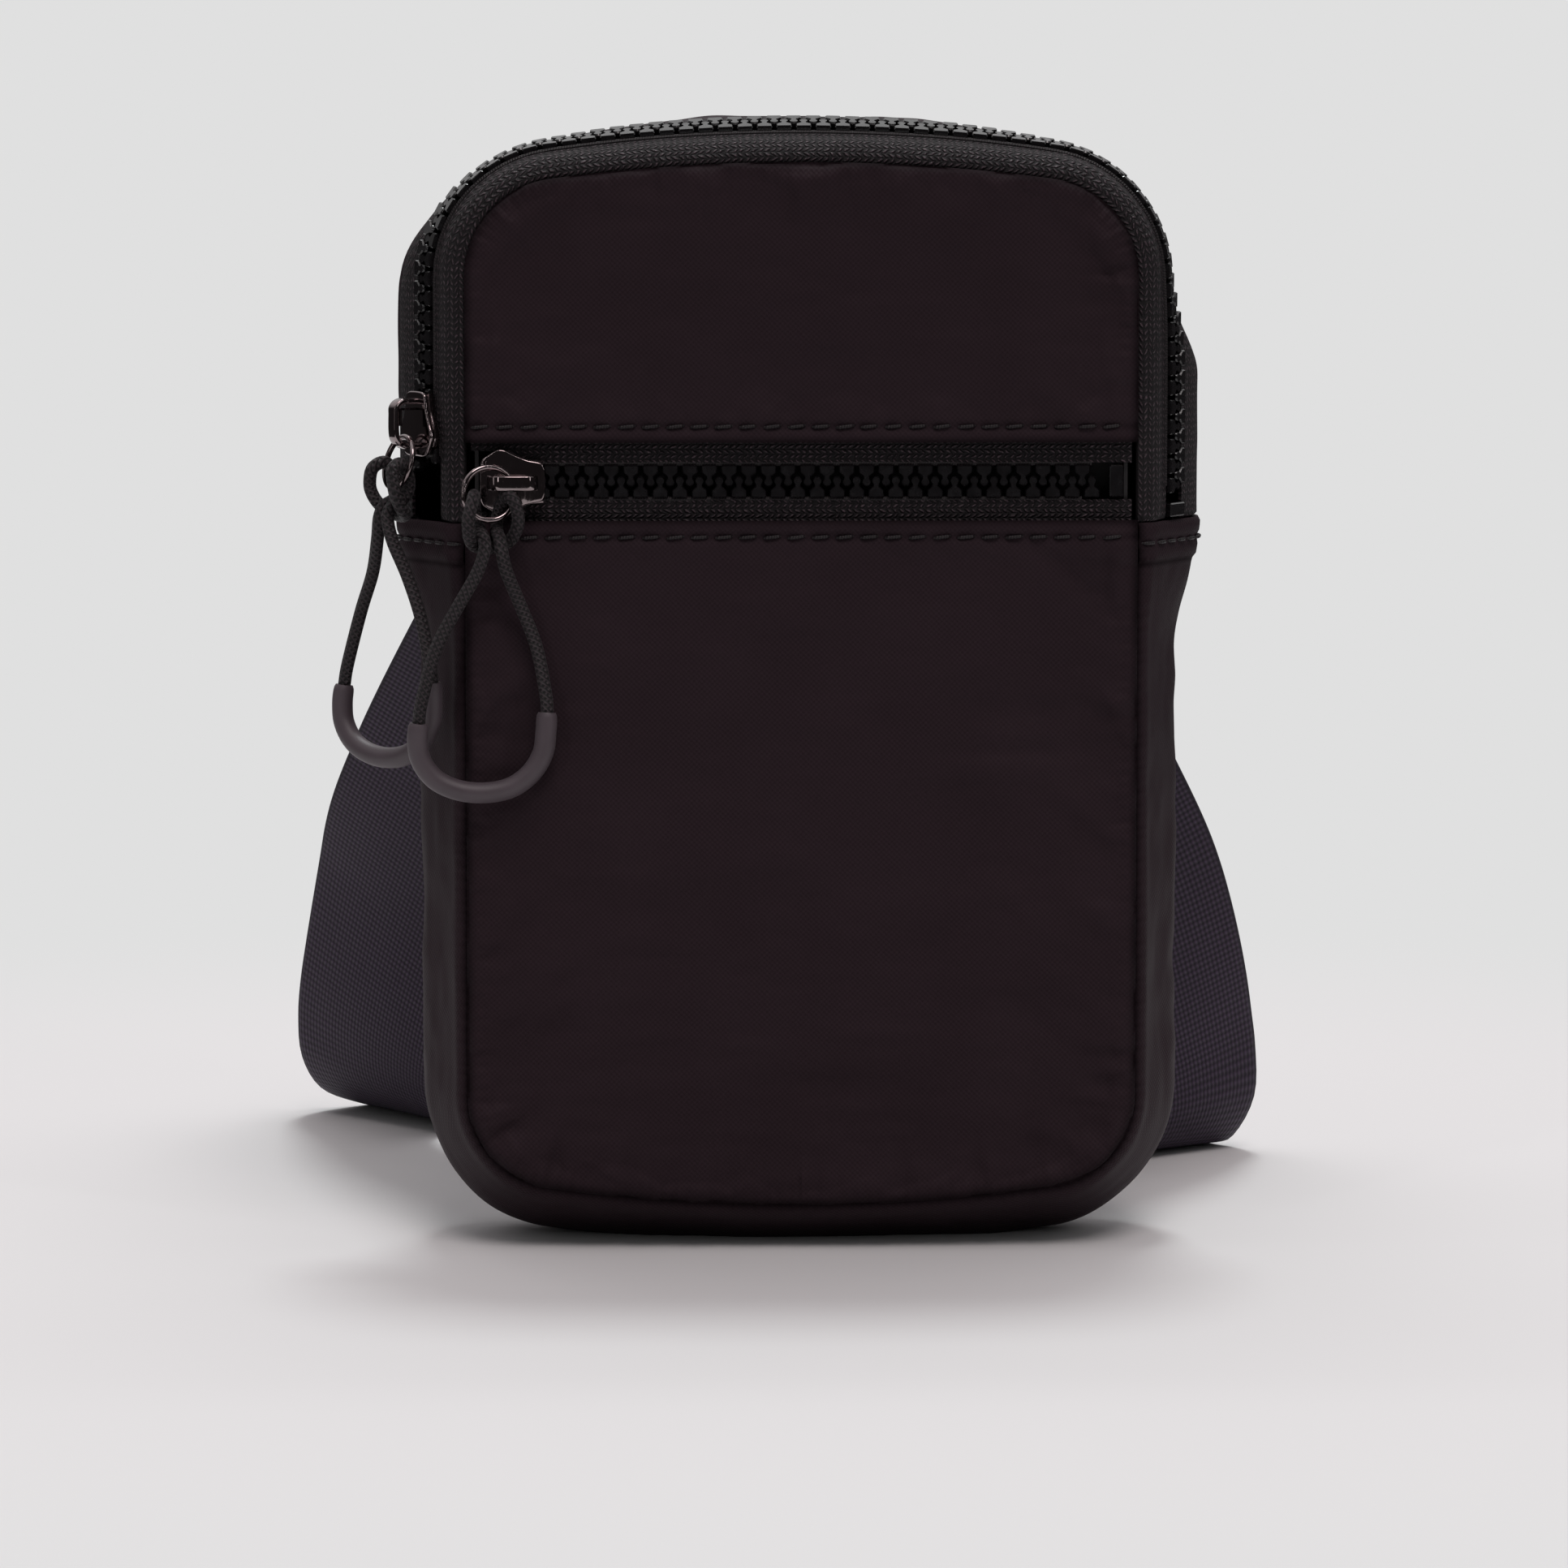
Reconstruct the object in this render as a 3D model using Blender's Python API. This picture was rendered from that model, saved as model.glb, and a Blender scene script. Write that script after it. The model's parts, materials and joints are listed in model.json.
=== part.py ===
"""Crossbody wallet: a padded nylon pouch with two moulded-tooth zips, cord pulls and a webbing strap.

The front faces -Y, +X is the right-hand side seen from the front, and the pouch stands on z = 0.
All sizes are metres. Run it with: blender --background --python part.py
"""

import math

import bmesh
import bpy
from mathutils import Matrix, Vector

# General fits
FIT_GAP = 0.0003
RUN_GAP = 0.0003
CUT_OVERRUN = 0.002

# Pouch: the seam round the front panel, and how far the side wall rolls out from it
FRONT_WIDTH = 0.1084
FRONT_LOW = 0.0074
FRONT_HIGH = 0.1764
CORNER_TOP = 0.016
CORNER_BOTTOM = 0.015
CROWN_TOP = 0.0048
CROWN_BOTTOM = 0.0050
SEAM_DEPTH = 0.034
PANEL_THICK = 0.0018
PANEL_EDGE_ROUND = 0.0005
GUSSET_THICK = 0.0014
TAPE_THICK = 0.0006
HEM_DROP = 0.0577
HEM_HEIGHT = FRONT_HIGH - HEM_DROP
WAIST_DROP = 0.0220
WAIST_HEIGHT = HEM_HEIGHT - WAIST_DROP
LOWER_BULGE_share = 0.68
BOTTOM_SWELL_share = 0.17

# The zip draws the wall in over the top and most at the corners: how hard, as one over the farthest that it stands out
TOP_PULL = 132.0
TOP_PULL_DROP = 0.0428
RUN_PULL_DROP = 0.0252
TOP_PULL_RISE = 0.0260
CORNER_PULL = 58.0
CORNER_PULL_REACH = 0.0190
CORNER_PULL_INSET = 0.0047
CORNER_PULL_DROP = 0.0076

# Roll of the side wall, from the front seam backwards
SEAM_ANGLE = math.radians(62.0)
CHAIN_ANGLE = math.radians(30.0)
ROLL_LENGTH = 0.0050
CHAIN_SETBACK = 0.0108
FLAT_LENGTH = 0.0116
REAR_TAPE_WIDTH = 0.0076

# Moulded chain
TOOTH_PITCH = 0.00316
TOOTH_BASE_WIDTH = 0.0022
TOOTH_BASE_LENGTH = 0.0014
TOOTH_SHOULDER = 0.0005
TOOTH_NECK_WIDTH = 0.00095
TOOTH_HEAD_WIDTH = 0.0011
TOOTH_HALF_THICK = 0.00115
CHAIN_HALF_WIDTH = 0.0026
HEAD_REACH = 0.00075
BEAD_HALF_THICK = 0.0005
BEAD_WIDTH = 0.0006
END_STOP_LENGTH = 0.0022
TAPE_LEAD = 0.0014
PARTING_STATION_shares = (0.5, 0.27, 0.2, 0.1, 0.0, -0.1, -0.2)

# Slider
SLIDER_LENGTH = 0.0105
SLIDER_NARROW = 0.0068
SLIDER_WIDE = 0.0106
SLIDER_NOSE = 0.0066
WIDE_AHEAD = 0.0017
PLATE_THICK = 0.0009
DIAMOND_HALF_WIDTH = 0.0009
DIAMOND_LENGTH = 0.0038
SLOT_HEIGHT = 0.0016
SLIDER_ROUND = 0.0002
CROWN_HALF_LENGTH = 0.0041
CROWN_WIDTH = 0.0024
CROWN_HEIGHT = 0.0043
CROWN_BAR = 0.0009
SPRING_THICK = 0.00035
SPRING_WIDTH = 0.0016
RING_RADIUS = 0.00425
RING_LIFT = 0.0018
WIRE_RADIUS = 0.00047
RING_STEPS = 20
WIRE_SIDES = 6

# Pull: a cord hitched on the ring, its two ends in a moulded grip
CORD_RADIUS = 0.0010
GRIP_RADIUS = 0.0017
SOCKET_CLEARANCE = 0.00034
SOCKET_DEPTH = 0.0032
CORD_STEP = 0.0022
GRIP_SIDES = 10

# Front pocket
POCKET_ZIP_RISE = 0.0065
POCKET_ZIP_HEIGHT = HEM_HEIGHT + POCKET_ZIP_RISE
POCKET_MOUTH = 0.0126
POCKET_TAPE_OVERLAP = 0.0042
POCKET_SLIDER_INSET = 0.0077
POCKET_SLIDER_X = POCKET_SLIDER_INSET - FRONT_WIDTH / 2
POCKET_TAPE_INSET = 0.0010
POCKET_DEPTH = 0.0056
POCKET_INSET = 0.0015
POCKET_RISE = 0.0148
POCKET_TOP = POCKET_ZIP_HEIGHT + POCKET_RISE
LINING_THICK = 0.0006
POCKET_RING_TILT = math.radians(18.0)
POCKET_RING_TURN = math.radians(24.0)

# Main zip slider
MAIN_SLIDER_RISE = 0.0155
MAIN_SLIDER_HEIGHT = HEM_HEIGHT + MAIN_SLIDER_RISE
MAIN_RING_TILT = math.radians(16.0)
MAIN_PULL_TWIST = math.radians(-19.0)

# Card pocket on the back wall
CARD_WIDTH = 0.0880
CARD_HEIGHT = 0.0600
CARD_LOW = 0.0400
CARD_GAP = 0.0012
CARD_HEM = 0.0020

# Strap
WEB_WIDTH = 0.0380
WEB_THICK = 0.0012
WEB_LAYER = 0.00078
STRAP_RING_WIRE = 0.0012
STRAP_RING_WIDTH = 0.0404
STRAP_RING_HEIGHT = 0.0130
STRAP_RING_CORNER = 0.0024
STRAP_RING_X = 0.0330
STRAP_RING_DROP = 0.0290
STRAP_RING_TOP = FRONT_HIGH - STRAP_RING_DROP
TAB_WIDTH = 0.0340
TAB_THICK = 0.0009
TAB_LENGTH = 0.0150
TAB_PINCH = 0.0060
TAB_SLACK = 0.0005
WEB_SPREAD_LENGTH = 0.0060
SEWN_TAIL = 0.0280
GLIDE_AT = 0.2536
GLIDE_TAIL = 0.0240
GLIDE_LENGTH = 0.0240
GLIDE_SIDE_BAR = 0.0024
GLIDE_END_BAR = 0.0034
GLIDE_MID_BAR = 0.0030
GLIDE_THICK = 0.0020
GLIDE_STANDOFF = 0.0034
GLIDE_SLOT_CLEARANCE = 0.0010
GLIDE_ROUND = 0.0004
WEB_STEP = 0.0062
WEB_COLUMNS = 4

# The strap's middle line from the left ring to the right ring, with the direction of its width
STRAP_ROUTE = [
    ((-0.0330, 0.0258, 0.1258), (1.000, 0.000, 0.000)),
    ((-0.0332, 0.0318, 0.1178), (0.997, -0.040, 0.000)),
    ((-0.0443, 0.0520, 0.0960), (0.955, -0.260, -0.100)),
    ((-0.0612, 0.0840, 0.0625), (0.850, -0.510, -0.130)),
    ((-0.0696, 0.1036, 0.0407), (0.740, -0.650, -0.120)),
    ((-0.0749, 0.1155, 0.0180), (0.650, -0.740, -0.070)),
    ((-0.0735, 0.1220, 0.0062), (0.610, -0.780, -0.020)),
    ((-0.0660, 0.1295, 0.0017), (0.590, -0.810, 0.000)),
    ((-0.0560, 0.1355, 0.0032), (0.570, -0.800, 0.180)),
    ((-0.0430, 0.1395, 0.0110), (0.400, -0.620, 0.670)),
    ((-0.0290, 0.1408, 0.0200), (0.080, -0.160, 0.985)),
    ((-0.0150, 0.1380, 0.0226), (0.000, 0.000, 1.000)),
    ((0.0010, 0.1330, 0.0228), (0.000, 0.000, 1.000)),
    ((0.0170, 0.1280, 0.0226), (0.000, 0.000, 1.000)),
    ((0.0300, 0.1190, 0.0198), (-0.080, -0.060, 0.990)),
    ((0.0425, 0.1060, 0.0110), (-0.560, -0.420, 0.710)),
    ((0.0540, 0.0930, 0.0042), (-0.760, -0.600, 0.240)),
    ((0.0620, 0.0822, 0.0017), (-0.776, -0.630, 0.000)),
    ((0.0668, 0.0770, 0.0062), (-0.790, -0.610, -0.020)),
    ((0.0664, 0.0738, 0.0180), (-0.830, -0.550, -0.070)),
    ((0.0578, 0.0616, 0.0470), (-0.930, -0.350, -0.100)),
    ((0.0436, 0.0458, 0.0765), (-0.980, -0.170, -0.080)),
    ((0.0361, 0.0342, 0.1040), (-0.998, -0.050, 0.000)),
    ((0.0332, 0.0290, 0.1178), (-1.000, 0.000, 0.000)),
    ((0.0330, 0.0250, 0.1252), (-1.000, 0.000, 0.000)),
]

# Half of the cord pull, seen from its front: across, outwards from the pouch and up, from the ring's wire
HITCH_ROUTE = [
    (0.0014, 0.0017, -0.0048),
    (0.0013, 0.0008, -0.0029),
    (0.0014, -0.0010, -0.0019),
    (0.0017, -0.0020, -0.0002),
    (0.0021, -0.00175, 0.0018),
    (0.0026, -0.0001, 0.0040),
    (0.0034, 0.0018, 0.0031),
    (0.0041, 0.0020, 0.0006),
    (0.0040, 0.0015, -0.0013),
    (0.0034, 0.0003, -0.0031),
    (0.0021, -0.0012, -0.0042),
    (0.0000, -0.0017, -0.0046),
]
RIGHT_LEG = [
    (0.0088, 0.0, -0.0340),
    (0.0090, 0.0, -0.0310),
    (0.0088, 0.0, -0.0280),
    (0.0074, 0.0, -0.0205),
    (0.0049, 0.0004, -0.0140),
    (0.0024, 0.0014, -0.0085),
]
LEFT_LEG = [
    (-0.0118, 0.0, -0.0356),
    (-0.0116, 0.0, -0.0326),
    (-0.0111, 0.0, -0.0290),
    (-0.0088, 0.0, -0.0205),
    (-0.0055, 0.0004, -0.0140),
    (-0.0026, 0.0014, -0.0085),
]
GRIP_ROUTE = [
    (-0.0116, 0.0, -0.0326),
    (-0.0118, 0.0, -0.0356),
    (-0.0112, 0.0, -0.0388),
    (-0.0090, 0.0, -0.0417),
    (-0.0055, 0.0, -0.0434),
    (-0.0013, 0.0, -0.0439),
    (0.0030, 0.0, -0.0431),
    (0.0063, 0.0, -0.0408),
    (0.0083, 0.0, -0.0375),
    (0.0088, 0.0, -0.0340),
    (0.0090, 0.0, -0.0310),
]


# Materials

def material(name, colour, roughness, metallic=0.0):
    """A plain Principled material with the piece's own colour."""
    made = bpy.data.materials.new(name)
    made.use_nodes = True
    shader = made.node_tree.nodes["Principled BSDF"]
    shader.inputs["Base Color"].default_value = (*colour, 1.0)
    shader.inputs["Roughness"].default_value = roughness
    shader.inputs["Metallic"].default_value = metallic
    return made


NYLON = (0.020, 0.016, 0.018)
TAPE = (0.012, 0.011, 0.012)
TEETH = (0.014, 0.013, 0.014)
GUNMETAL = (0.16, 0.14, 0.14)
RUBBER = (0.022, 0.020, 0.022)
WEBBING = (0.024, 0.020, 0.028)
LINING = (0.030, 0.028, 0.030)


# Meshes

def add_object(name, mesh, finish):
    """Links a mesh as an object with its own copy of a finish."""
    made = bpy.data.objects.new(name, mesh)
    bpy.context.scene.collection.objects.link(made)
    made.data.materials.append(material(name, *finish))
    return made


def add_mesh(name, points, faces, finish, smooth=False):
    """An object from points and faces, with its faces turned outwards."""
    mesh = bpy.data.meshes.new(name)
    mesh.from_pydata([tuple(p) for p in points], [], faces)
    work = bmesh.new()
    work.from_mesh(mesh)
    bmesh.ops.recalc_face_normals(work, faces=work.faces)
    work.to_mesh(mesh)
    work.free()
    if smooth:
        mesh.shade_smooth()
        mesh.set_sharp_from_angle(angle=math.radians(40.0))
    return add_object(name, mesh, finish)


def loft(name, sections, finish, closed=False, smooth=True):
    """A body through matching closed sections, capped at both ends unless the run closes on itself."""
    count = len(sections[0])
    points = [p for section in sections for p in section]
    faces = []
    runs = len(sections) if closed else len(sections) - 1
    for i in range(runs):
        here = i * count
        there = (i + 1) % len(sections) * count
        for j in range(count):
            k = (j + 1) % count
            faces.append((here + j, here + k, there + k, there + j))
    if not closed:
        faces.append(tuple(range(count)))
        faces.append(tuple(range(len(points) - count, len(points))))
    return add_mesh(name, points, faces, finish, smooth)


def prism(name, outline, low, high, place, finish):
    """A flat outline pushed from low to high along the third axis of place."""
    sections = [[place @ Vector((a, b, level)) for a, b in outline] for level in (low, high)]
    return loft(name, sections, finish, smooth=False)


def cutter(made):
    """Marks an object as a cutting tool that isn't part of the model."""
    made.hide_render = True
    made.display_type = "WIRE"
    return made


def cut(body, tool):
    """Takes a tool's shape out of a body."""
    step = body.modifiers.new(tool.name, "BOOLEAN")
    step.operation = "DIFFERENCE"
    step.solver = "EXACT"
    step.object = cutter(tool)


def round_edges(body, width):
    """Breaks a body's sharp edges."""
    step = body.modifiers.new("edges", "BEVEL")
    step.width = width
    step.segments = 1
    step.limit_method = "ANGLE"
    step.angle_limit = math.radians(50.0)


def smooth_path(points, step, closed=False):
    """Points about a step apart on a Catmull-Rom curve through hand-set points."""
    points = [Vector(p) for p in points]
    count = len(points)
    found = []
    for i in range(count if closed else count - 1):
        if closed:
            before, start, end, after = (points[(i + k - 1) % count] for k in range(4))
        else:
            start, end = points[i], points[i + 1]
            before = points[i - 1] if i else start * 2 - end
            after = points[i + 2] if i + 2 < count else end * 2 - start
        pieces = max(1, round((end - start).length / step))
        for j in range(pieces):
            t = j / pieces
            found.append(
                0.5
                * (
                    start * 2
                    + (end - before) * t
                    + (before * 2 - start * 5 + end * 4 - after) * t * t
                    + (start * 3 - before - end * 3 + after) * t * t * t
                )
            )
    if not closed:
        found.append(points[-1])
    return found


def tube_sections(path, radii, sides, closed=False):
    """Round sections square to a path, turned as little as possible from one to the next."""
    count = len(path)
    sections = []
    across = None
    for i, point in enumerate(path):
        before = path[i - 1] if i or closed else point
        after = path[(i + 1) % count] if i + 1 < count or closed else point
        along = (after - before).normalized()
        if across is None:
            across = along.orthogonal().normalized()
        across = (across - along * across.dot(along)).normalized()
        other = along.cross(across)
        turns = [2 * math.pi * k / sides for k in range(sides)]
        sections.append([point + (across * math.cos(t) + other * math.sin(t)) * radii[i] for t in turns])
    return sections


def cord_curve(name, path, radius, finish):
    """A round cord as a bevelled curve with filled ends."""
    curve = bpy.data.curves.new(name, "CURVE")
    curve.dimensions = "3D"
    spline = curve.splines.new("POLY")
    spline.points.add(len(path) - 1)
    for i, point in enumerate(path):
        spline.points[i].co = (*point, 1.0)
    curve.bevel_depth = radius
    curve.bevel_resolution = 2
    curve.use_fill_caps = True
    return add_object(name, curve, finish)


# The pouch's outline and the roll of its side wall

def edge_crown(half, radius, level, crown, up):
    """A crowned edge with two round corners: a function of x, the corner's centre and its end angle."""
    def height(x):
        return level - up * crown * (x / half) ** 2

    slope = 0.0
    for _ in range(4):
        join = half - radius + radius * math.sin(slope)
        slope = math.atan(2 * crown * join / half**2)
    centre = height(join) - up * radius * math.cos(slope)
    return height, join, centre, slope


def outline(grow=0.0, corner_steps=7, edge_steps=10):
    """The front seam's outline from the bottom middle over the right side: points and outward normals."""
    half = FRONT_WIDTH / 2
    quarter = math.pi / 2
    low, low_join, low_centre, low_slope = edge_crown(half, CORNER_BOTTOM, FRONT_LOW, CROWN_BOTTOM, -1)
    high, high_join, high_centre, high_slope = edge_crown(half, CORNER_TOP, FRONT_HIGH, CROWN_TOP, 1)
    right = []
    for i in range(edge_steps // 2):
        x = low_join * i / (edge_steps // 2)
        slope = math.atan(2 * CROWN_BOTTOM * x / half**2)
        right.append((x, low(x), math.sin(slope), -math.cos(slope)))
    for i in range(corner_steps + 1):
        turn = (-quarter + low_slope) * (1 - i / corner_steps)
        c, s = math.cos(turn), math.sin(turn)
        right.append((half - CORNER_BOTTOM * (1 - c), low_centre + CORNER_BOTTOM * s, c, s))
    for i in range(corner_steps + 1):
        turn = (quarter - high_slope) * i / corner_steps
        c, s = math.cos(turn), math.sin(turn)
        right.append((half - CORNER_TOP * (1 - c), high_centre + CORNER_TOP * s, c, s))
    for i in range(edge_steps // 2 + 1):
        x = high_join * (1 - (i + 1) / (edge_steps // 2 + 1))
        slope = math.atan(2 * CROWN_TOP * x / half**2)
        right.append((x, high(x), math.sin(slope), math.cos(slope)))
    left = [(-x, z, -nx, nz) for x, z, nx, nz in reversed(right[1:-1])]
    return [(x + nx * grow, z + nz * grow, nx, nz) for x, z, nx, nz in right + left]


def rail(low, extra=(), **steps):
    """Stations of the outline from a height on the right side over the top to the same height on the left."""
    half = FRONT_WIDTH / 2
    top = [s for s in outline(**steps) if s[1] > FRONT_HIGH - 2 * CORNER_TOP]
    shoulders = spaced(FRONT_HIGH - TOP_PULL_DROP, top[0][1], 4)[:-1]
    right = [(half, z, 1.0, 0.0) for z in [low, *shoulders]]
    left = [(-half, z, -1.0, 0.0) for z in sorted([low, *shoulders, *extra], reverse=True)]
    return right + top + left


def under_rail(high, extra=()):
    """Stations of the outline below a height, from the left side round the bottom to the right."""
    half = FRONT_WIDTH / 2
    kept = outline(edge_steps=12)
    low_part = [s for s in kept if s[1] < FRONT_LOW + 2 * CORNER_BOTTOM]
    right = [s for s in low_part if s[0] >= 0]
    left = [s for s in low_part if s[0] < 0]
    left_top = [(-half, z, -1.0, 0.0) for z in sorted([high, *extra], reverse=True)]
    right_top = [(half, z, 1.0, 0.0) for z in sorted([high, *extra])]
    return left_top + left + right + right_top


class Roll:
    """The side wall's section from the front seam to the back seam: a bend, a flat for the chain and an arc."""

    def __init__(self):
        self.front = -SEAM_DEPTH / 2
        self.flat_start = self.bend(Vector((0.0, self.front)), SEAM_ANGLE, CHAIN_ANGLE, ROLL_LENGTH, ROLL_LENGTH)
        along = Vector((math.sin(CHAIN_ANGLE), math.cos(CHAIN_ANGLE)))
        self.flat_end = self.flat_start + along * FLAT_LENGTH
        chord = Vector((0.0, SEAM_DEPTH / 2)) - self.flat_end
        turn = 2 * (CHAIN_ANGLE - math.atan2(chord.x, chord.y))
        self.back_angle = CHAIN_ANGLE - turn
        self.back_length = chord.length / (2 * math.sin(turn / 2)) * turn
        self.length = ROLL_LENGTH + FLAT_LENGTH + self.back_length

    def bend(self, start, first, last, whole, part):
        """The point a part of the way along an arc whose direction turns from first to last."""
        now = first + (last - first) * part / whole
        mean = (first + now) / 2
        half_turn = (first - now) / 2
        chord = part if abs(half_turn) < 1e-9 else part * math.sin(half_turn) / half_turn
        return start + Vector((math.sin(mean), math.cos(mean))) * chord

    def at(self, arc):
        """How far out and how far back the wall is at an arc length, and its direction there."""
        if arc <= ROLL_LENGTH:
            angle = SEAM_ANGLE + (CHAIN_ANGLE - SEAM_ANGLE) * arc / ROLL_LENGTH
            point = self.bend(Vector((0.0, self.front)), SEAM_ANGLE, CHAIN_ANGLE, ROLL_LENGTH, arc)
        elif arc <= ROLL_LENGTH + FLAT_LENGTH:
            angle = CHAIN_ANGLE
            point = self.flat_start.lerp(self.flat_end, (arc - ROLL_LENGTH) / FLAT_LENGTH)
        else:
            part = arc - ROLL_LENGTH - FLAT_LENGTH
            angle = CHAIN_ANGLE + (self.back_angle - CHAIN_ANGLE) * part / self.back_length
            point = self.bend(self.flat_end, CHAIN_ANGLE, self.back_angle, self.back_length, part)
        return point.x, point.y, angle


ROLL = Roll()


def smooth_step(value):
    part = min(1.0, max(0.0, value))
    return part * part * (3 - 2 * part)


def bulge_share(station):
    """How much of the full roll the wall has: less below the waist, a little more underneath."""
    part = smooth_step((station[1] - WAIST_HEIGHT) / (HEM_HEIGHT - WAIST_HEIGHT))
    under = max(-station[3], 0.0) ** 4
    return LOWER_BULGE_share + (1 - LOWER_BULGE_share) * part + BOTTOM_SWELL_share * under


def wall_pull(station):
    """How hard the wall is drawn in: not at the hem, most at the top, later where the slider runs."""
    x, z, _, _ = station
    drop = RUN_PULL_DROP if x < 0 else TOP_PULL_DROP
    above = smooth_step((z - FRONT_HIGH + drop) / TOP_PULL_RISE)
    aside = abs(x) - FRONT_WIDTH / 2 + CORNER_PULL_INSET
    down = z - FRONT_HIGH + CORNER_PULL_DROP
    near = math.hypot(aside, down) / CORNER_PULL_REACH
    return TOP_PULL * above + CORNER_PULL * math.exp(-near * near)


def stand_out(out, station):
    """How far out the wall stands where it would stand out freely, and how much of its slope is left."""
    free = out * bulge_share(station)
    held = (max(free, 0.0) * wall_pull(station)) ** 4
    return free / (1 + held) ** 0.25, bulge_share(station) / (1 + held) ** 1.25


def wall_section(station, arcs, thick):
    """One closed section of the side wall between the given arc lengths."""
    x, z, nx, nz = station
    outer = []
    inner = []
    for arc in arcs:
        out, back, angle = ROLL.at(arc)
        out, _ = stand_out(out, station)
        deeper = out - thick * math.cos(angle)
        outer.append(Vector((x + nx * out, back, max(z + nz * out, 0.0))))
        inner.append(Vector((x + nx * deeper, back + thick * math.sin(angle), max(z + nz * deeper, thick))))
    return outer + inner[::-1]


def spaced(first, last, pieces):
    """Evenly spaced values from first to last."""
    return [first + (last - first) * i / pieces for i in range(pieces + 1)]


# How far the rows part at and below the main slider

ROW_PARTING = HEAD_REACH + DIAMOND_HALF_WIDTH + FIT_GAP


def parting(ahead):
    """How far a row stands off the chain's middle, a distance ahead of the slider's middle."""
    return ROW_PARTING * smooth_step((ahead + SLIDER_LENGTH * 0.12) / (SLIDER_LENGTH * 0.42))


def main_parting(z, lead=0.0):
    return parting(MAIN_SLIDER_HEIGHT - z + lead)


def pocket_parting(x, lead=0.0):
    return parting(POCKET_SLIDER_X - x + lead)


# Pouch pieces

def build_panels():
    """The two front panels, either side of the pocket's mouth, and the back panel."""
    front = -SEAM_DEPTH / 2 - FIT_GAP
    whole = [(x, z) for x, z, _, _ in outline()]
    half = FRONT_WIDTH / 2
    mouth_low = POCKET_ZIP_HEIGHT - POCKET_MOUTH / 2
    mouth_high = POCKET_ZIP_HEIGHT + POCKET_MOUTH / 2
    upper = [(half, mouth_high)] + [p for p in whole if p[1] > mouth_high] + [(-half, mouth_high)]
    lower_right = [p for p in whole if p[1] < mouth_low and p[0] >= 0]
    lower_left = [p for p in whole if p[1] < mouth_low and p[0] < 0]
    lower = lower_right + [(half, mouth_low), (-half, mouth_low)] + lower_left
    facing = Matrix(((1, 0, 0), (0, 0, 1), (0, 1, 0))).to_4x4()
    for name, shape, start in (
        ("front_upper_panel", upper, front - PANEL_THICK),
        ("front_lower_panel", lower, front - PANEL_THICK),
        ("back_panel", whole, -front),
    ):
        panel = prism(name, shape, start, start + PANEL_THICK, facing, (NYLON, 0.55))
        round_edges(panel, PANEL_EDGE_ROUND)


def build_gussets():
    """The fabric wall round the bottom and the strip behind the upper zip."""
    arcs = spaced(0.0, ROLL.length, 9)
    waist = spaced(WAIST_HEIGHT, HEM_HEIGHT, 3)[:-1]
    top = HEM_HEIGHT - FIT_GAP
    loft("lower_gusset", [wall_section(s, arcs, GUSSET_THICK) for s in under_rail(top, waist)], (NYLON, 0.55))
    start = CHAIN_SETBACK + CHAIN_HALF_WIDTH + REAR_TAPE_WIDTH + FIT_GAP
    arcs = spaced(start, ROLL.length, 5)
    stations = rail(HEM_HEIGHT)
    loft("upper_rear_gusset", [wall_section(s, arcs, GUSSET_THICK) for s in stations], (NYLON, 0.55))


def build_main_tapes():
    """The two tapes of the main zip, drawn apart round the slider and below it."""
    reach = SLIDER_LENGTH
    extra = [MAIN_SLIDER_HEIGHT + reach * share for share in PARTING_STATION_shares]
    stations = rail(HEM_HEIGHT, extra)
    edge = CHAIN_HALF_WIDTH + BEAD_WIDTH + FIT_GAP
    front = []
    rear = []
    for station in stations:
        apart = main_parting(station[1], TAPE_LEAD) if station[0] < 0 else 0.0
        _, share = stand_out(ROLL.at(CHAIN_SETBACK)[0], station)
        spread = (edge + apart) / math.hypot(share * math.sin(CHAIN_ANGLE), math.cos(CHAIN_ANGLE))
        near = CHAIN_SETBACK - spread
        far = CHAIN_SETBACK + spread
        end = CHAIN_SETBACK + CHAIN_HALF_WIDTH + REAR_TAPE_WIDTH
        front.append(wall_section(station, spaced(0.0, near, 4), TAPE_THICK))
        rear.append(wall_section(station, spaced(far, end, 3), TAPE_THICK))
    loft("main_tape_front", front, (TAPE, 0.8))
    loft("main_tape_rear", rear, (TAPE, 0.8))


def build_pocket():
    """The pocket's two tapes behind the panels' edges, and the lining tray that holds what goes in."""
    back = -SEAM_DEPTH / 2
    half = FRONT_WIDTH / 2 - POCKET_TAPE_INSET
    edge = CHAIN_HALF_WIDTH + BEAD_WIDTH + FIT_GAP
    outer = POCKET_MOUTH / 2 + POCKET_TAPE_OVERLAP
    reach = SLIDER_LENGTH
    ahead = [POCKET_SLIDER_X + reach * share for share in PARTING_STATION_shares]
    places = [half, *ahead, -half]
    for name, side in (("pocket_tape_upper", 1), ("pocket_tape_lower", -1)):
        sections = []
        for x in places:
            inner = POCKET_ZIP_HEIGHT + side * (edge + pocket_parting(x, TAPE_LEAD))
            border = POCKET_ZIP_HEIGHT + side * outer
            sections.append(
                [
                    Vector((x, back, inner)),
                    Vector((x, back, border)),
                    Vector((x, back + TAPE_THICK, border)),
                    Vector((x, back + TAPE_THICK, inner)),
                ]
            )
        loft(name, sections, (TAPE, 0.8), smooth=False)
    build_pocket_lining(back + TAPE_THICK + FIT_GAP)


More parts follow.
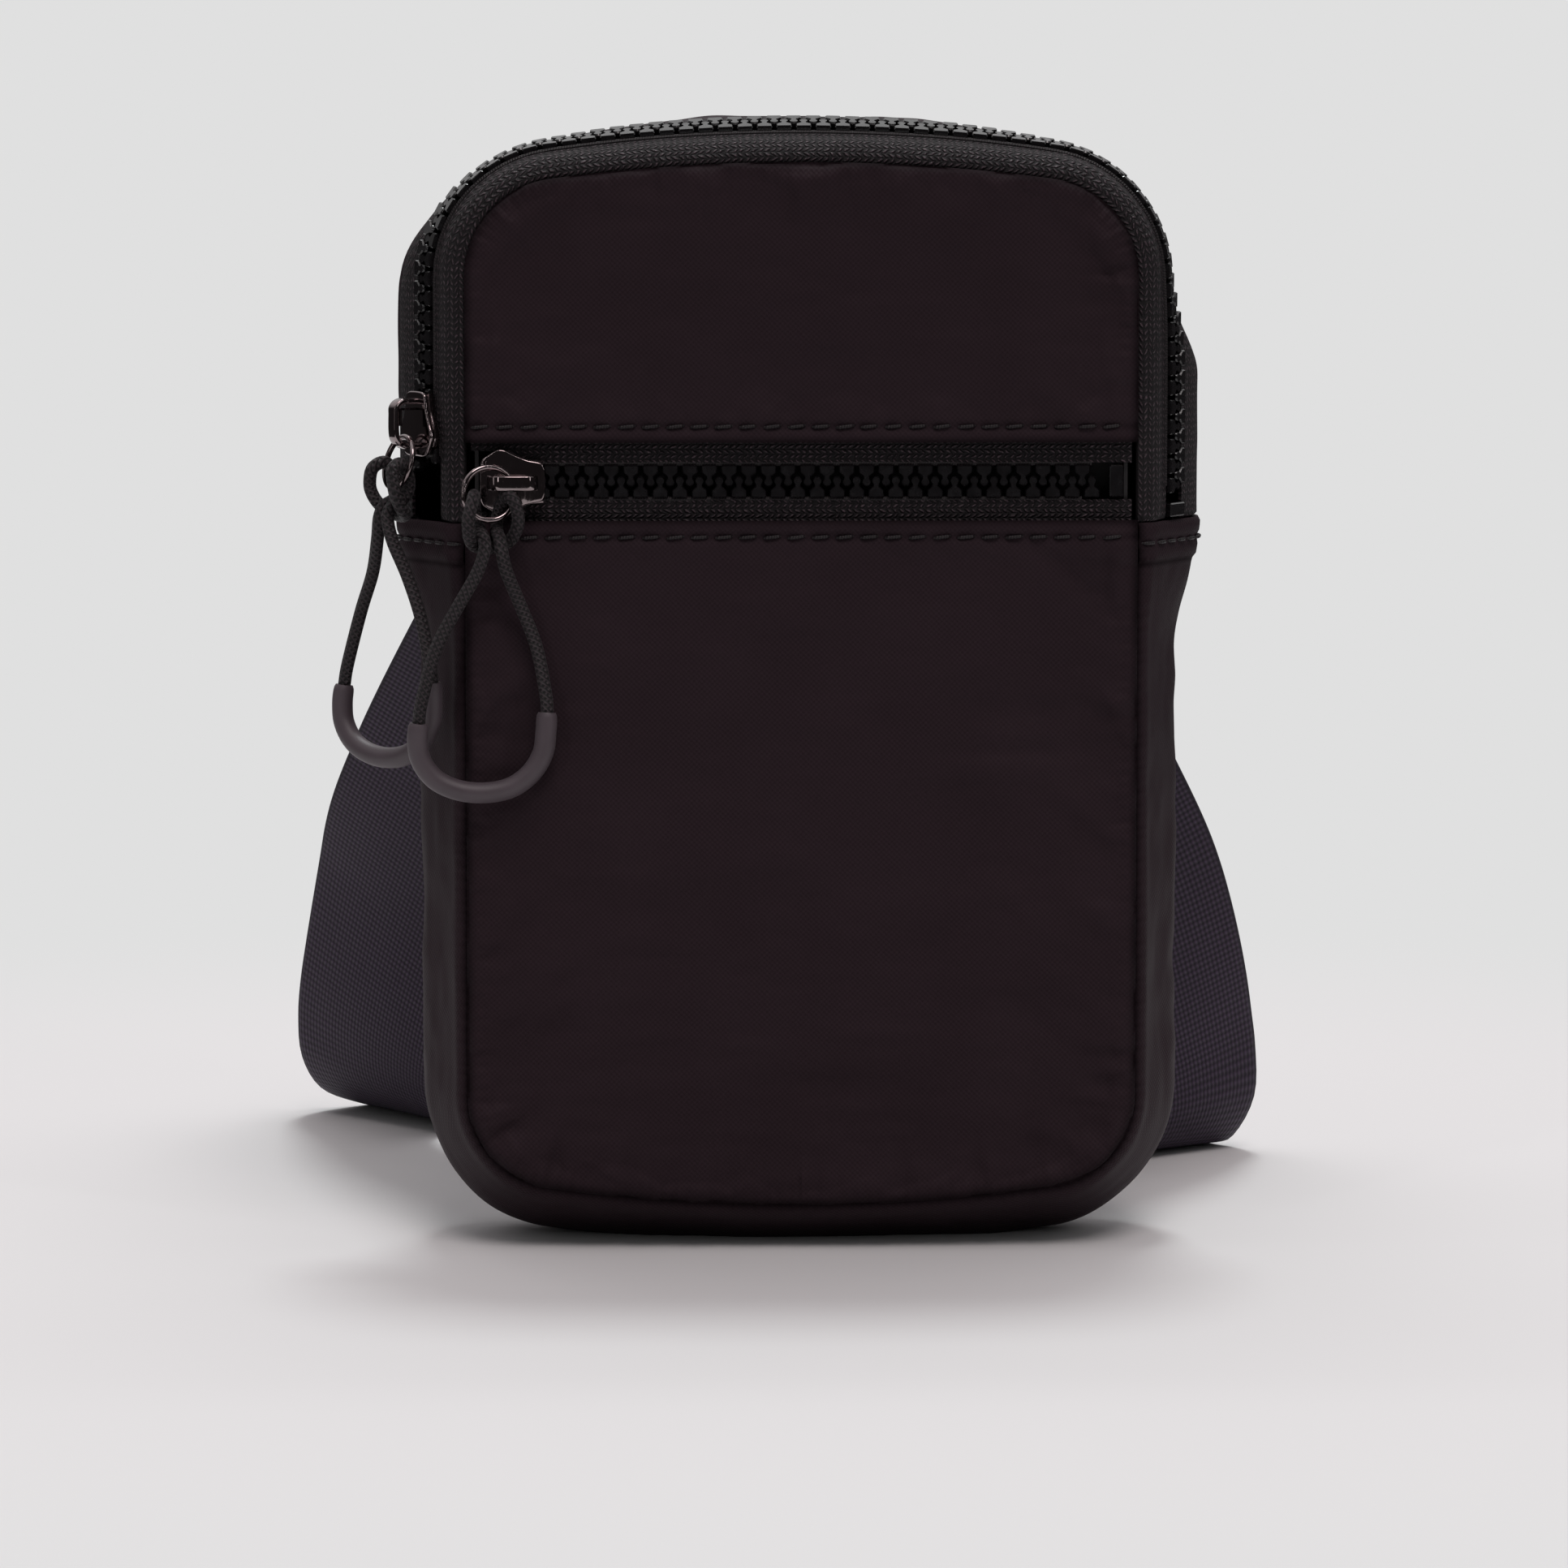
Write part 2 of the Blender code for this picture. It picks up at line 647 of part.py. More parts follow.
def clipped_outline(inset, top):
    """The seam's outline drawn in and cut off level at a height."""
    half = FRONT_WIDTH / 2 - inset
    whole = [(x, z) for x, z, _, _ in outline(-inset) if z < FRONT_LOW + 2 * CORNER_BOTTOM]
    right = [p for p in whole if p[0] >= 0]
    left = [p for p in whole if p[0] < 0]
    return right + [(half, top), (-half, top)] + left


def build_pocket_lining(rim):
    """A shallow open tray: the pocket bag's back and its gathered sides."""
    inside = clipped_outline(POCKET_INSET + LINING_THICK, POCKET_TOP - LINING_THICK)
    outside = clipped_outline(POCKET_INSET, POCKET_TOP)
    floor = rim + POCKET_DEPTH - FIT_GAP
    levels = [(inside, floor), (inside, rim), (outside, rim), (outside, floor + LINING_THICK)]
    sections = [[Vector((x, y, z)) for x, z in shape] for shape, y in levels]
    loft("pocket_lining", sections, (LINING, 0.7), smooth=False)


def build_card_pocket():
    """A flat pocket sewn to the inside of the back panel, open at the top."""
    wall = SEAM_DEPTH / 2 - FIT_GAP
    half = CARD_WIDTH / 2
    high = CARD_LOW + CARD_HEIGHT
    profile = [
        (wall, CARD_LOW),
        (wall, CARD_LOW + CARD_HEM),
        (wall - CARD_GAP, CARD_LOW + CARD_HEM + CARD_GAP),
        (wall - CARD_GAP, high),
        (wall - CARD_GAP - LINING_THICK, high),
        (wall - CARD_GAP - LINING_THICK, CARD_LOW + CARD_HEM),
        (wall - LINING_THICK, CARD_LOW),
    ]
    sections = [[Vector((x, y, z)) for y, z in profile] for x in (-half, half)]
    loft("card_pocket", sections, (LINING, 0.7), smooth=False)


# Zip teeth

def tooth_outline():
    """A tooth from above: base, shoulder, neck and flared head, along and across the chain."""
    base = -CHAIN_HALF_WIDTH
    half = TOOTH_BASE_WIDTH / 2
    neck = TOOTH_NECK_WIDTH / 2
    head = TOOTH_HEAD_WIDTH / 2
    shoulder = base + TOOTH_BASE_LENGTH
    right = [
        (half, base),
        (half, shoulder),
        (neck, shoulder + TOOTH_SHOULDER),
        (head, HEAD_REACH),
    ]
    return [(-a, b) for a, b in right] + right[::-1]


def tooth_row(name, frames):
    """One row of interlocking teeth moulded on its tape's bead, a body along the given tooth frames.

    A frame is the tooth's place on the chain's middle line with its along, across and outward directions.
    """
    shape = tooth_outline()
    base = -CHAIN_HALF_WIDTH
    half = TOOTH_BASE_WIDTH / 2
    bead = [(base, BEAD_HALF_THICK), (base, -BEAD_HALF_THICK)]
    bead += [(base - BEAD_WIDTH, -BEAD_HALF_THICK), (base - BEAD_WIDTH, BEAD_HALF_THICK)]
    count = len(shape)
    points = []
    faces = []
    if (frames[1][0] - frames[0][0]).dot(frames[0][1]) < 0:
        frames = frames[::-1]

    def put(frame, a, b, n):
        origin, along, across, out = frame
        points.append(origin + along * a + across * b + out * n)
        return len(points) - 1

    def face(*corners):
        faces.append(corners)

    before = None
    for frame in frames:
        top = [put(frame, a, b, TOOTH_HALF_THICK) for a, b in shape]
        low = [put(frame, a, b, -TOOTH_HALF_THICK) for a, b in shape]
        left = [put(frame, -half, b, n) for b, n in bead]
        right = [put(frame, half, b, n) for b, n in bead]
        face(*top)
        face(*reversed(low))
        for j in range(1, count - 2):
            face(top[j], low[j], low[j + 1], top[j + 1])
        face(top[0], left[0], left[1], low[0], low[1], top[1])
        face(top[count - 2], low[count - 2], low[count - 1], right[1], right[0], top[count - 1])
        face(top[0], top[count - 1], right[0], left[0])
        face(left[1], right[1], low[count - 1], low[0])
        for j in range(1, 4):
            k = (j + 1) % 4
            face(left[j], left[k], right[k], right[j])
        if before:
            for j in range(4):
                k = (j + 1) % 4
                face(before[j], before[k], left[k], left[j])
        else:
            face(*left)
        before = right
    face(*reversed(before))
    return add_mesh(name, points, faces, (TEETH, 0.35))


class ChainPath:
    """The middle line of the main chain over the pouch, measured along its length."""

    def __init__(self):
        out, back, angle = ROLL.at(CHAIN_SETBACK)
        self.out = out
        self.deep = TAPE_THICK / 2 * math.cos(angle)
        self.back = back + TAPE_THICK / 2 * math.sin(angle)
        self.stations = rail(HEM_HEIGHT, corner_steps=20, edge_steps=40)
        self.lean = math.tan(angle)
        self.length = [0.0]
        for a, b in zip(self.stations, self.stations[1:]):
            self.length.append(self.length[-1] + (self.middle(b) - self.middle(a)).length)

    def middle(self, station):
        x, z, nx, nz = station
        out = stand_out(self.out, station)[0] - self.deep
        return Vector((x + nx * out, self.back, z + nz * out))

    def at(self, distance):
        """The chain's frame at a distance from its right-hand end."""
        i = 0
        while i < len(self.length) - 2 and self.length[i + 1] < distance:
            i += 1
        t = (distance - self.length[i]) / (self.length[i + 1] - self.length[i])
        station = [a + (b - a) * t for a, b in zip(self.stations[i], self.stations[i + 1])]
        normal = Vector((station[2], 0.0, station[3])).normalized()
        middle = self.middle((station[0], station[1], normal.x, normal.z))
        lean = math.atan(self.lean * stand_out(self.out, station)[1])
        back = Vector((0.0, 1.0, 0.0))
        across = normal * math.sin(lean) + back * math.cos(lean)
        out = normal * math.cos(lean) - back * math.sin(lean)
        return middle, across.cross(out), across, out


def build_main_teeth(path):
    """The front and rear rows of the main chain, half a pitch apart."""
    first = END_STOP_LENGTH + TOOTH_PITCH
    room = path.length[-1] - first - END_STOP_LENGTH - TOOTH_PITCH
    count = int(room / TOOTH_PITCH)
    for name, side, lead in (("main_teeth_front", 1, 0.0), ("main_teeth_rear", -1, TOOTH_PITCH / 2)):
        frames = []
        for i in range(count):
            middle, along, across, out = path.at(first + lead + i * TOOTH_PITCH)
            apart = main_parting(middle.z) if middle.x < 0 else 0.0
            middle = middle - across * side * apart
            frames.append((middle, along * side, across * side, out))
        tooth_row(name, frames)


def build_pocket_teeth(level):
    """The upper and lower rows of the pocket chain."""
    half = FRONT_WIDTH / 2 - POCKET_INSET - LINING_THICK
    first = half - END_STOP_LENGTH - TOOTH_PITCH
    count = int((first + half - END_STOP_LENGTH - TOOTH_PITCH) / TOOTH_PITCH)
    out = Vector((0.0, -1.0, 0.0))
    for name, side, lead in (("pocket_teeth_upper", 1, 0.0), ("pocket_teeth_lower", -1, TOOTH_PITCH / 2)):
        frames = []
        for i in range(count):
            x = first - lead - i * TOOTH_PITCH
            z = POCKET_ZIP_HEIGHT + side * pocket_parting(x)
            across = Vector((0.0, 0.0, -side))
            frames.append((Vector((x, level, z)), across.cross(out), across, out))
        tooth_row(name, frames)


def frame_matrix(origin, along, across, out):
    """A placing matrix from an origin and three axes."""
    return Matrix.Translation(origin) @ Matrix((along, across, out)).transposed().to_4x4()


def build_end_stop(name, place):
    """The moulded block that joins both rows at the chain's closed end."""
    half = CHAIN_HALF_WIDTH
    length = END_STOP_LENGTH / 2
    shape = [(-length, -half), (length, -half), (length, half), (-length, half)]
    block = prism(name, shape, -TOOTH_HALF_THICK, TOOTH_HALF_THICK, place, (TEETH, 0.35))
    round_edges(block, SLIDER_ROUND)


# Sliders

def slider_levels():
    """Half the slider's inner height, and half its outer height."""
    inner = TOOTH_HALF_THICK + RUN_GAP
    return inner, inner + PLATE_THICK


def build_slider(prefix, place):
    """A slider body: two plates round a Y-shaped channel, joined by the wedge that parts the rows."""
    inner, outer = slider_levels()
    half = SLIDER_LENGTH / 2
    side = [
        (-half, SLIDER_NARROW / 2),
        (-half * 0.5, SLIDER_NARROW / 2),
        (WIDE_AHEAD, SLIDER_WIDE / 2),
        (half * 0.62, SLIDER_WIDE / 2),
        (half, SLIDER_NOSE / 2),
    ]
    shape = [(a, -b) for a, b in side] + side[::-1]
    body = prism(prefix + "_slider_body", shape, -outer, outer, place, (GUNMETAL, 0.25, 1.0))
    throat = CHAIN_HALF_WIDTH + RUN_GAP
    mouth = CHAIN_HALF_WIDTH + ROW_PARTING + RUN_GAP
    far = half + CUT_OVERRUN
    wedge = half - DIAMOND_LENGTH
    for turn in (1, -1):
        lane = [
            (-far, -throat * 0.2 * turn),
            (-far, throat * turn),
            (-half * 0.5, throat * turn),
            (half * 0.3, mouth * turn),
            (far, mouth * turn),
            (far, DIAMOND_HALF_WIDTH * 0.8 * turn),
            (half * 0.55, DIAMOND_HALF_WIDTH * turn),
            (wedge, -throat * 0.02 * turn),
        ]
        cut(body, prism(f"{prefix}_lane_{turn}", lane, -inner, inner, place, (GUNMETAL, 0.25, 1.0)))
        slot_start = throat * 0.75
        wide = SLIDER_WIDE
        slot = [(-far, slot_start * turn), (-far, wide * turn), (far, wide * turn), (far, slot_start * turn)]
        tool = prism(f"{prefix}_slot_{turn}", slot, -SLOT_HEIGHT / 2, SLOT_HEIGHT / 2, place, (GUNMETAL, 0.25, 1.0))
        cut(body, tool)


def build_crown(prefix, place):
    """The bridge over the slider that holds the ring, and the lock spring under it."""
    _, outer = slider_levels()
    low = outer + FIT_GAP
    top = outer + CROWN_HEIGHT
    half = CROWN_HALF_LENGTH
    bar = CROWN_BAR
    shape = [
        (-half, low),
        (-half, top - bar * 2),
        (-half + bar * 1.2, top),
        (half - bar * 1.6, top),
        (half, top - bar * 2.6),
        (half, low),
        (half - bar, low),
        (half - bar, top - bar * 2.9),
        (half - bar * 2.1, top - bar),
        (-half + bar * 1.6, top - bar),
        (-half + bar, top - bar * 1.7),
        (-half + bar, low),
    ]
    sideways = place @ Matrix(((1, 0, 0, 0), (0, 0, 1, 0), (0, 1, 0, 0), (0, 0, 0, 1)))
    width = CROWN_WIDTH / 2
    crown = prism(prefix + "_slider_crown", shape, -width, width, sideways, (GUNMETAL, 0.25, 1.0))
    round_edges(crown, SLIDER_ROUND)
    under = top - bar - FIT_GAP
    rear = -half + bar * 1.7
    thick = SPRING_THICK
    leaf = [
        (rear, low),
        (rear, under),
        (rear + bar * 3.2, under),
        (rear + bar * 3.2, under - thick),
        (rear + thick, under - thick),
        (rear + thick, low),
    ]
    width = SPRING_WIDTH / 2
    prism(prefix + "_lock_spring", leaf, -width, width, sideways, (GUNMETAL, 0.35, 1.0))


def build_ring(prefix, place):
    """The wire ring, round its own centre, in the plane of its first two axes."""
    turns = [2 * math.pi * i / RING_STEPS for i in range(RING_STEPS)]
    path = [place @ Vector((RING_RADIUS * math.cos(t), RING_RADIUS * math.sin(t), 0.0)) for t in turns]
    sections = tube_sections(path, [WIRE_RADIUS] * RING_STEPS, WIRE_SIDES, closed=True)
    loft(prefix + "_pull_ring", sections, (GUNMETAL, 0.2, 1.0), closed=True)


def pull_point(place, twist, point):
    """A point of the pull: across, outwards and up, turned more the lower it hangs."""
    across, outward, up = point
    lowest = min(p[2] for p in GRIP_ROUTE)
    turn = twist * smooth_step(up / lowest)
    c, s = math.cos(turn), math.sin(turn)
    return place @ Vector((across * c - outward * s, across * s + outward * c, up))


def build_pull(prefix, place, twist):
    """The hitched cord and the grip that holds its two ends."""
    right = [(x, y, z) for x, y, z in HITCH_ROUTE]
    left = [(-x, y, z) for x, y, z in reversed(HITCH_ROUTE[:-1])]
    route = RIGHT_LEG + right + left + LEFT_LEG[::-1]
    path = smooth_path([pull_point(place, twist, p) for p in route], CORD_STEP)
    cord_curve(prefix + "_pull_cord", path, CORD_RADIUS, (TAPE, 0.8))
    path = smooth_path([pull_point(place, twist, p) for p in GRIP_ROUTE], CORD_STEP)
    build_grip(prefix + "_pull_grip", path)


def walk(path, depth):
    """The point a distance along a path from its start."""
    for a, b in zip(path, path[1:]):
        span = (b - a).length
        if depth <= span:
            return a.lerp(b, depth / span)
        depth -= span
    return path[-1]


def build_grip(name, path):
    """A U-shaped moulded tube with a socket in each end."""
    bore = CORD_RADIUS + SOCKET_CLEARANCE
    deep = SOCKET_DEPTH + FIT_GAP
    depths = spaced(deep, 0.0, 2)
    start = [walk(path, d) for d in depths]
    end = [walk(path[::-1], d) for d in reversed(depths)]
    first = tube_sections([walk(path, d) for d in spaced(0.0, deep, 2)], [bore] * 3, GRIP_SIDES)[::-1]
    body = tube_sections(path, [GRIP_RADIUS] * len(path), GRIP_SIDES)
    last = tube_sections(end, [bore] * 3, GRIP_SIDES)
    first = align(first, start, body[0], path[0], bore)
    last = align(last, end, body[-1], path[-1], bore)
    loft(name, first + body + last, (RUBBER, 0.5))


def align(sections, centres, outer, centre, bore):
    """Bore sections whose points face the matching points of the outer section."""
    spokes = [(p - centre).normalized() for p in outer]
    found = []
    for middle, section in zip(centres, sections):
        normal = (section[0] - middle).cross(section[1] - middle).normalized()
        flat = [(s - normal * s.dot(normal)).normalized() for s in spokes]
        found.append([middle + s * bore for s in flat])
    return found


# Strap

class StrapLine:
    """The strap's middle line with its width and face directions, measured from the left ring."""

    def __init__(self):
        drop = STRAP_RING_HEIGHT + STRAP_RING_WIRE * 2
        level = STRAP_RING_TOP - drop
        away = strap_ring_y()
        first = ((-STRAP_RING_X, away, level), (1.0, 0.0, 0.0))
        last = ((STRAP_RING_X, away, level), (-1.0, 0.0, 0.0))
        route = [first, *STRAP_ROUTE, last]
        self.points = smooth_path([p for p, _ in route], WEB_STEP / 2)
        counts = [max(1, round((Vector(b[0]) - Vector(a[0])).length / (WEB_STEP / 2))) for a, b in zip(route, route[1:])]
        self.widths = []
        for (_, a), (_, b), count in zip(route, route[1:], counts):
            self.widths += [Vector(a).lerp(Vector(b), i / count) for i in range(count)]
        self.widths.append(Vector(last[1]))
        self.length = [0.0]
        for a, b in zip(self.points, self.points[1:]):
            self.length.append(self.length[-1] + (b - a).length)

    def at(self, distance):
        """The middle, the forward, width and face directions at a distance."""
        i = 0
        while i < len(self.length) - 2 and self.length[i + 1] < distance:
            i += 1
        t = (distance - self.length[i]) / (self.length[i + 1] - self.length[i])
        middle = self.points[i] + (self.points[i + 1] - self.points[i]) * t
        count = len(self.points)
        before = self.points[max(0, i - 1)]
        after = self.points[min(count - 1, i + 2)]
        along = (after - before).normalized()
        wide = self.widths[i].lerp(self.widths[i + 1], t)
        wide = (wide - along * wide.dot(along)).normalized()
        return middle, along, wide, along.cross(wide)


def strap_ring_y():
    """How far back the strap rings' wires stand: behind the back panel and one layer of webbing."""
    panel = SEAM_DEPTH / 2 + FIT_GAP + PANEL_THICK
    return panel + FIT_GAP * 2 + WEB_THICK + FIT_GAP + STRAP_RING_WIRE


def ring_spread(distance):
    """How far a layer stands off the middle line near a ring's bar, where it goes round the wire."""
    wrap = STRAP_RING_WIRE + FIT_GAP + WEB_THICK / 2
    return WEB_LAYER + (wrap - WEB_LAYER) * math.exp(-distance / WEB_SPREAD_LENGTH)


def half_turn(distance, radius, start, end, pieces=8):
    """Places round a bar, as a distance and a stand-off from the middle line."""
    return [
        (distance + radius * math.cos(t), radius * math.sin(t))
        for t in (start + (end - start) * i / pieces for i in range(pieces + 1))
    ]


def strap_places(length):
    """The webbing's course as distances along the middle line and stand-offs from it, end to end."""
    wrap = STRAP_RING_WIRE + FIT_GAP + WEB_THICK / 2
    plate = GLIDE_STANDOFF
    beside = GLIDE_MID_BAR / 2 + FIT_GAP + WEB_THICK / 2
    around = GLIDE_THICK / 2 + FIT_GAP + WEB_THICK / 2
    layer = WEB_THICK + FIT_GAP
    tail = -WEB_LAYER - layer
    quarter = math.pi / 2
    bar_turn = [
        (GLIDE_AT + beside * a, plate + around * b)
        for a, b in ((-0.5, -1.15), (-1.0, -0.6), (-1.0, 0.4), (-0.65, 1.0), (0.65, 1.0), (1.0, 0.4), (1.1, -0.5))
    ]
    run = spaced(GLIDE_AT + GLIDE_LENGTH * 0.75, length - WEB_STEP / 4, int((length - GLIDE_AT) / WEB_STEP))
    loose = [s for s in run if s < GLIDE_AT + GLIDE_LENGTH / 2 + GLIDE_TAIL]
    places = [(s, tail) for s in reversed(loose)]
    places += [
        (GLIDE_AT + GLIDE_LENGTH / 2, tail),
        (GLIDE_AT + GLIDE_LENGTH * 0.25, tail),
        (GLIDE_AT + beside * 0.6, plate - around * 1.9),
        *bar_turn,
        (GLIDE_AT + GLIDE_LENGTH * 0.18, plate - around * 1.4),
        (GLIDE_AT + GLIDE_LENGTH * 0.28, -WEB_LAYER + FIT_GAP),
        (GLIDE_AT + GLIDE_LENGTH * 0.38, -WEB_LAYER),
        (GLIDE_AT + GLIDE_LENGTH / 2, -WEB_LAYER),
    ]
    places += [(s, -ring_spread(length - s)) for s in run]
    places += half_turn(length, wrap, -quarter, quarter)
    places += [(s, ring_spread(length - s)) for s in reversed(run)]
    places.append((GLIDE_AT + GLIDE_LENGTH / 2, WEB_LAYER))
    over = plate + around + layer
    crossing = [
        (GLIDE_LENGTH * 0.40, WEB_LAYER),
        (GLIDE_LENGTH * 0.30, plate - around * 0.75),
        (GLIDE_LENGTH * 0.22, plate + around * 0.6),
        (GLIDE_LENGTH * 0.15, over - layer * 0.4),
        (GLIDE_LENGTH * 0.08, over),
    ]
    places += [(GLIDE_AT + s, n) for s, n in crossing]
    places += [(GLIDE_AT - s, n) for s, n in reversed(crossing)]
    near = GLIDE_AT - GLIDE_LENGTH / 2
    sewn = spaced(WEB_STEP / 4, SEWN_TAIL, int(SEWN_TAIL / WEB_STEP))
    run = sewn + spaced(SEWN_TAIL, near, int((near - SEWN_TAIL) / WEB_STEP))[1:]
    places += [(s, ring_spread(s)) for s in reversed(run)]
    places += [(-s, n) for s, n in half_turn(0.0, wrap, quarter, -quarter)]
    places += [(s, -ring_spread(s)) for s in sewn]
    return places


def strap_point(line, distance, off):
    """The strap's point and width direction at a place, also past the two rings."""
    end = line.length[-1]
    inside = min(max(distance, 0.0), end)
    middle, along, wide, face = line.at(inside)
    return middle + along * (distance - inside) + face * off, wide


def build_strap(line):
    """One length of webbing: round both rings, and sewn round the adjuster's middle bar."""
    places = strap_places(line.length[-1])
    placed = [strap_point(line, s, n) for s, n in places]
    points = []
    for i, (point, wide) in enumerate(placed):
        before = placed[max(0, i - 1)][0]
        after = placed[min(len(placed) - 1, i + 1)][0]
        face = (after - before).cross(wide).normalized() * (WEB_THICK / 2)
        across = [wide * (WEB_WIDTH * (j / WEB_COLUMNS - 0.5)) for j in range(WEB_COLUMNS + 1)]
        row = [point + a - face for a in across] + [point + a + face for a in reversed(across)]
        points += [Vector((p.x, p.y, max(p.z, 0.0))) for p in row]
    count = 2 * (WEB_COLUMNS + 1)
    faces = [tuple(range(count)), tuple(range(len(points) - count, len(points)))]
    for i in range(len(placed) - 1):
        forward = places[i + 1][0] > places[i][0]
        faces += ribbon_faces(i * count, count, forward)
    add_mesh("strap_webbing", points, faces, (WEBBING, 0.6), smooth=True)


def ribbon_faces(start, count, forward):
    """Triangles between two rows round a ribbon, split along the same diagonals on both of its faces."""
    faces = []
    for j in range(count):
        k = (j + 1) % count
        a, b, c, d = start + j, start + k, start + count + k, start + count + j
        upper = j >= count // 2
        if upper != forward:
            faces += [(a, b, c), (a, c, d)]
        else:
            faces += [(a, b, d), (b, c, d)]
    return faces


def build_adjuster(line):
    """A three-bar adjuster plate that the webbing is threaded through."""
    middle, along, wide, face = line.at(GLIDE_AT)
    place = frame_matrix(middle + face * GLIDE_STANDOFF, along, wide, face)
    half_long = GLIDE_LENGTH / 2
    slot_wide = WEB_WIDTH / 2 + GLIDE_SLOT_CLEARANCE
    half_wide = slot_wide + GLIDE_SIDE_BAR
    shape = [(-half_long, -half_wide), (half_long, -half_wide), (half_long, half_wide), (-half_long, half_wide)]
    thick = GLIDE_THICK / 2
    plate = prism("strap_adjuster", shape, -thick, thick, place, (GUNMETAL, 0.3, 1.0))
    for turn in (1, -1):
        near = GLIDE_MID_BAR / 2 * turn
        far = (half_long - GLIDE_END_BAR) * turn
        slot = [(near, -slot_wide), (far, -slot_wide), (far, slot_wide), (near, slot_wide)]
        deep = thick + CUT_OVERRUN
        cut(plate, prism(f"adjuster_slot_{turn}", slot, -deep, deep, place, (GUNMETAL, 0.3, 1.0)))
    round_edges(plate, GLIDE_ROUND)


def build_strap_ring(name, side):
    """A rectangular wire ring with round corners, hung by its top bar."""
    radius = STRAP_RING_WIRE
    half = STRAP_RING_WIDTH / 2 + radius
    tall = STRAP_RING_HEIGHT + 2 * radius
    corner = STRAP_RING_CORNER
    y = strap_ring_y()
    path = []
    quarter = math.pi / 2
    corners = ((half, 0.0, 0), (-half, 0.0, 1), (-half, -tall, 2), (half, -tall, 3))
    for x, z, turn in corners:
        cx = x - math.copysign(corner, x)
        cz = z - corner if z == 0.0 else z + corner
        for i in range(4):
            t = quarter * (turn + i / 3)
            place = (side * STRAP_RING_X + cx + corner * math.cos(t), y, STRAP_RING_TOP + cz + corner * math.sin(t))
            path.append(Vector(place))
    loft(name, tube_sections(path, [radius] * len(path), 8, closed=True), (GUNMETAL, 0.25, 1.0), closed=True)


def build_strap_tab(name, side):
    """A fabric tab folded round the ring's top bar and sewn flat to the back panel."""
    y = strap_ring_y()
    mid = STRAP_RING_WIRE + TAB_SLACK + TAB_THICK / 2
    quarter = math.pi / 2
    steps = [quarter * 2 * i / 8 for i in range(9)]
    flat = SEAM_DEPTH / 2 + FIT_GAP + PANEL_THICK + FIT_GAP + TAB_THICK / 2
    course = [(flat, STRAP_RING_TOP + TAB_LENGTH), (flat, STRAP_RING_TOP + TAB_PINCH)]
    course += [(y - mid * math.cos(t), STRAP_RING_TOP - mid * math.sin(t)) for t in steps]
    over = flat + TAB_THICK + FIT_GAP
    course += [(over, STRAP_RING_TOP + TAB_PINCH), (over, STRAP_RING_TOP + TAB_LENGTH)]
    left = []
    right = []
    for i, (py, pz) in enumerate(course):
        before = Vector(course[max(0, i - 1)])
        after = Vector(course[min(len(course) - 1, i + 1)])
        along = (after - before).normalized()
        aside = Vector((-along.y, along.x)) * TAB_THICK / 2
        left.append((py + aside.x, pz + aside.y))
        right.append((py - aside.x, pz - aside.y))
    profile = left + right[::-1]
    middle = side * STRAP_RING_X
    sections = [[Vector((middle + x, a, b)) for a, b in profile] for x in (-TAB_WIDTH / 2, TAB_WIDTH / 2)]
    loft(name, sections, (NYLON, 0.55), smooth=False)


# Placing the two zips' sliders, rings and pulls

def build_main_zip():
    """Chain, slider, ring and pull of the main zip, on the left side wall."""
    path = ChainPath()
    build_main_teeth(path)
    build_end_stop("main_end_stop", frame_matrix(*path.at(END_STOP_LENGTH / 2 + FIT_GAP)))
    side = path.at(path.length[-1] - (MAIN_SLIDER_HEIGHT - HEM_HEIGHT))
    _, _, across, out = side
    down = Vector((0.0, 0.0, -1.0))
    middle = side[0]
    place = frame_matrix(middle, down, out.cross(down), out)
    build_slider("main", place)
    build_crown("main", place)
    _, outer = slider_levels()
    ahead = CROWN_HALF_LENGTH - CROWN_BAR - FIT_GAP * 2 - WIRE_RADIUS
    hinge = place @ Vector((ahead, 0.0, outer + RING_LIFT))
    lean = Matrix.Rotation(-MAIN_RING_TILT, 4, "Y")
    ring = Matrix.Translation(hinge) @ place.to_3x3().to_4x4() @ lean @ Matrix.Translation((RING_RADIUS, 0.0, 0.0))
    build_ring("main", ring)
    lowest = ring @ Vector((RING_RADIUS, 0.0, 0.0))
    sideways = across if across.x > 0 else -across
    pull = frame_matrix(lowest, sideways, out, Vector((0.0, 0.0, 1.0)))
    build_pull("main", pull, MAIN_PULL_TWIST)
    report_hinge("main_ring", hinge, place.to_3x3() @ Vector((0.0, 1.0, 0.0)))
    report_hinge("main_pull", lowest, sideways)


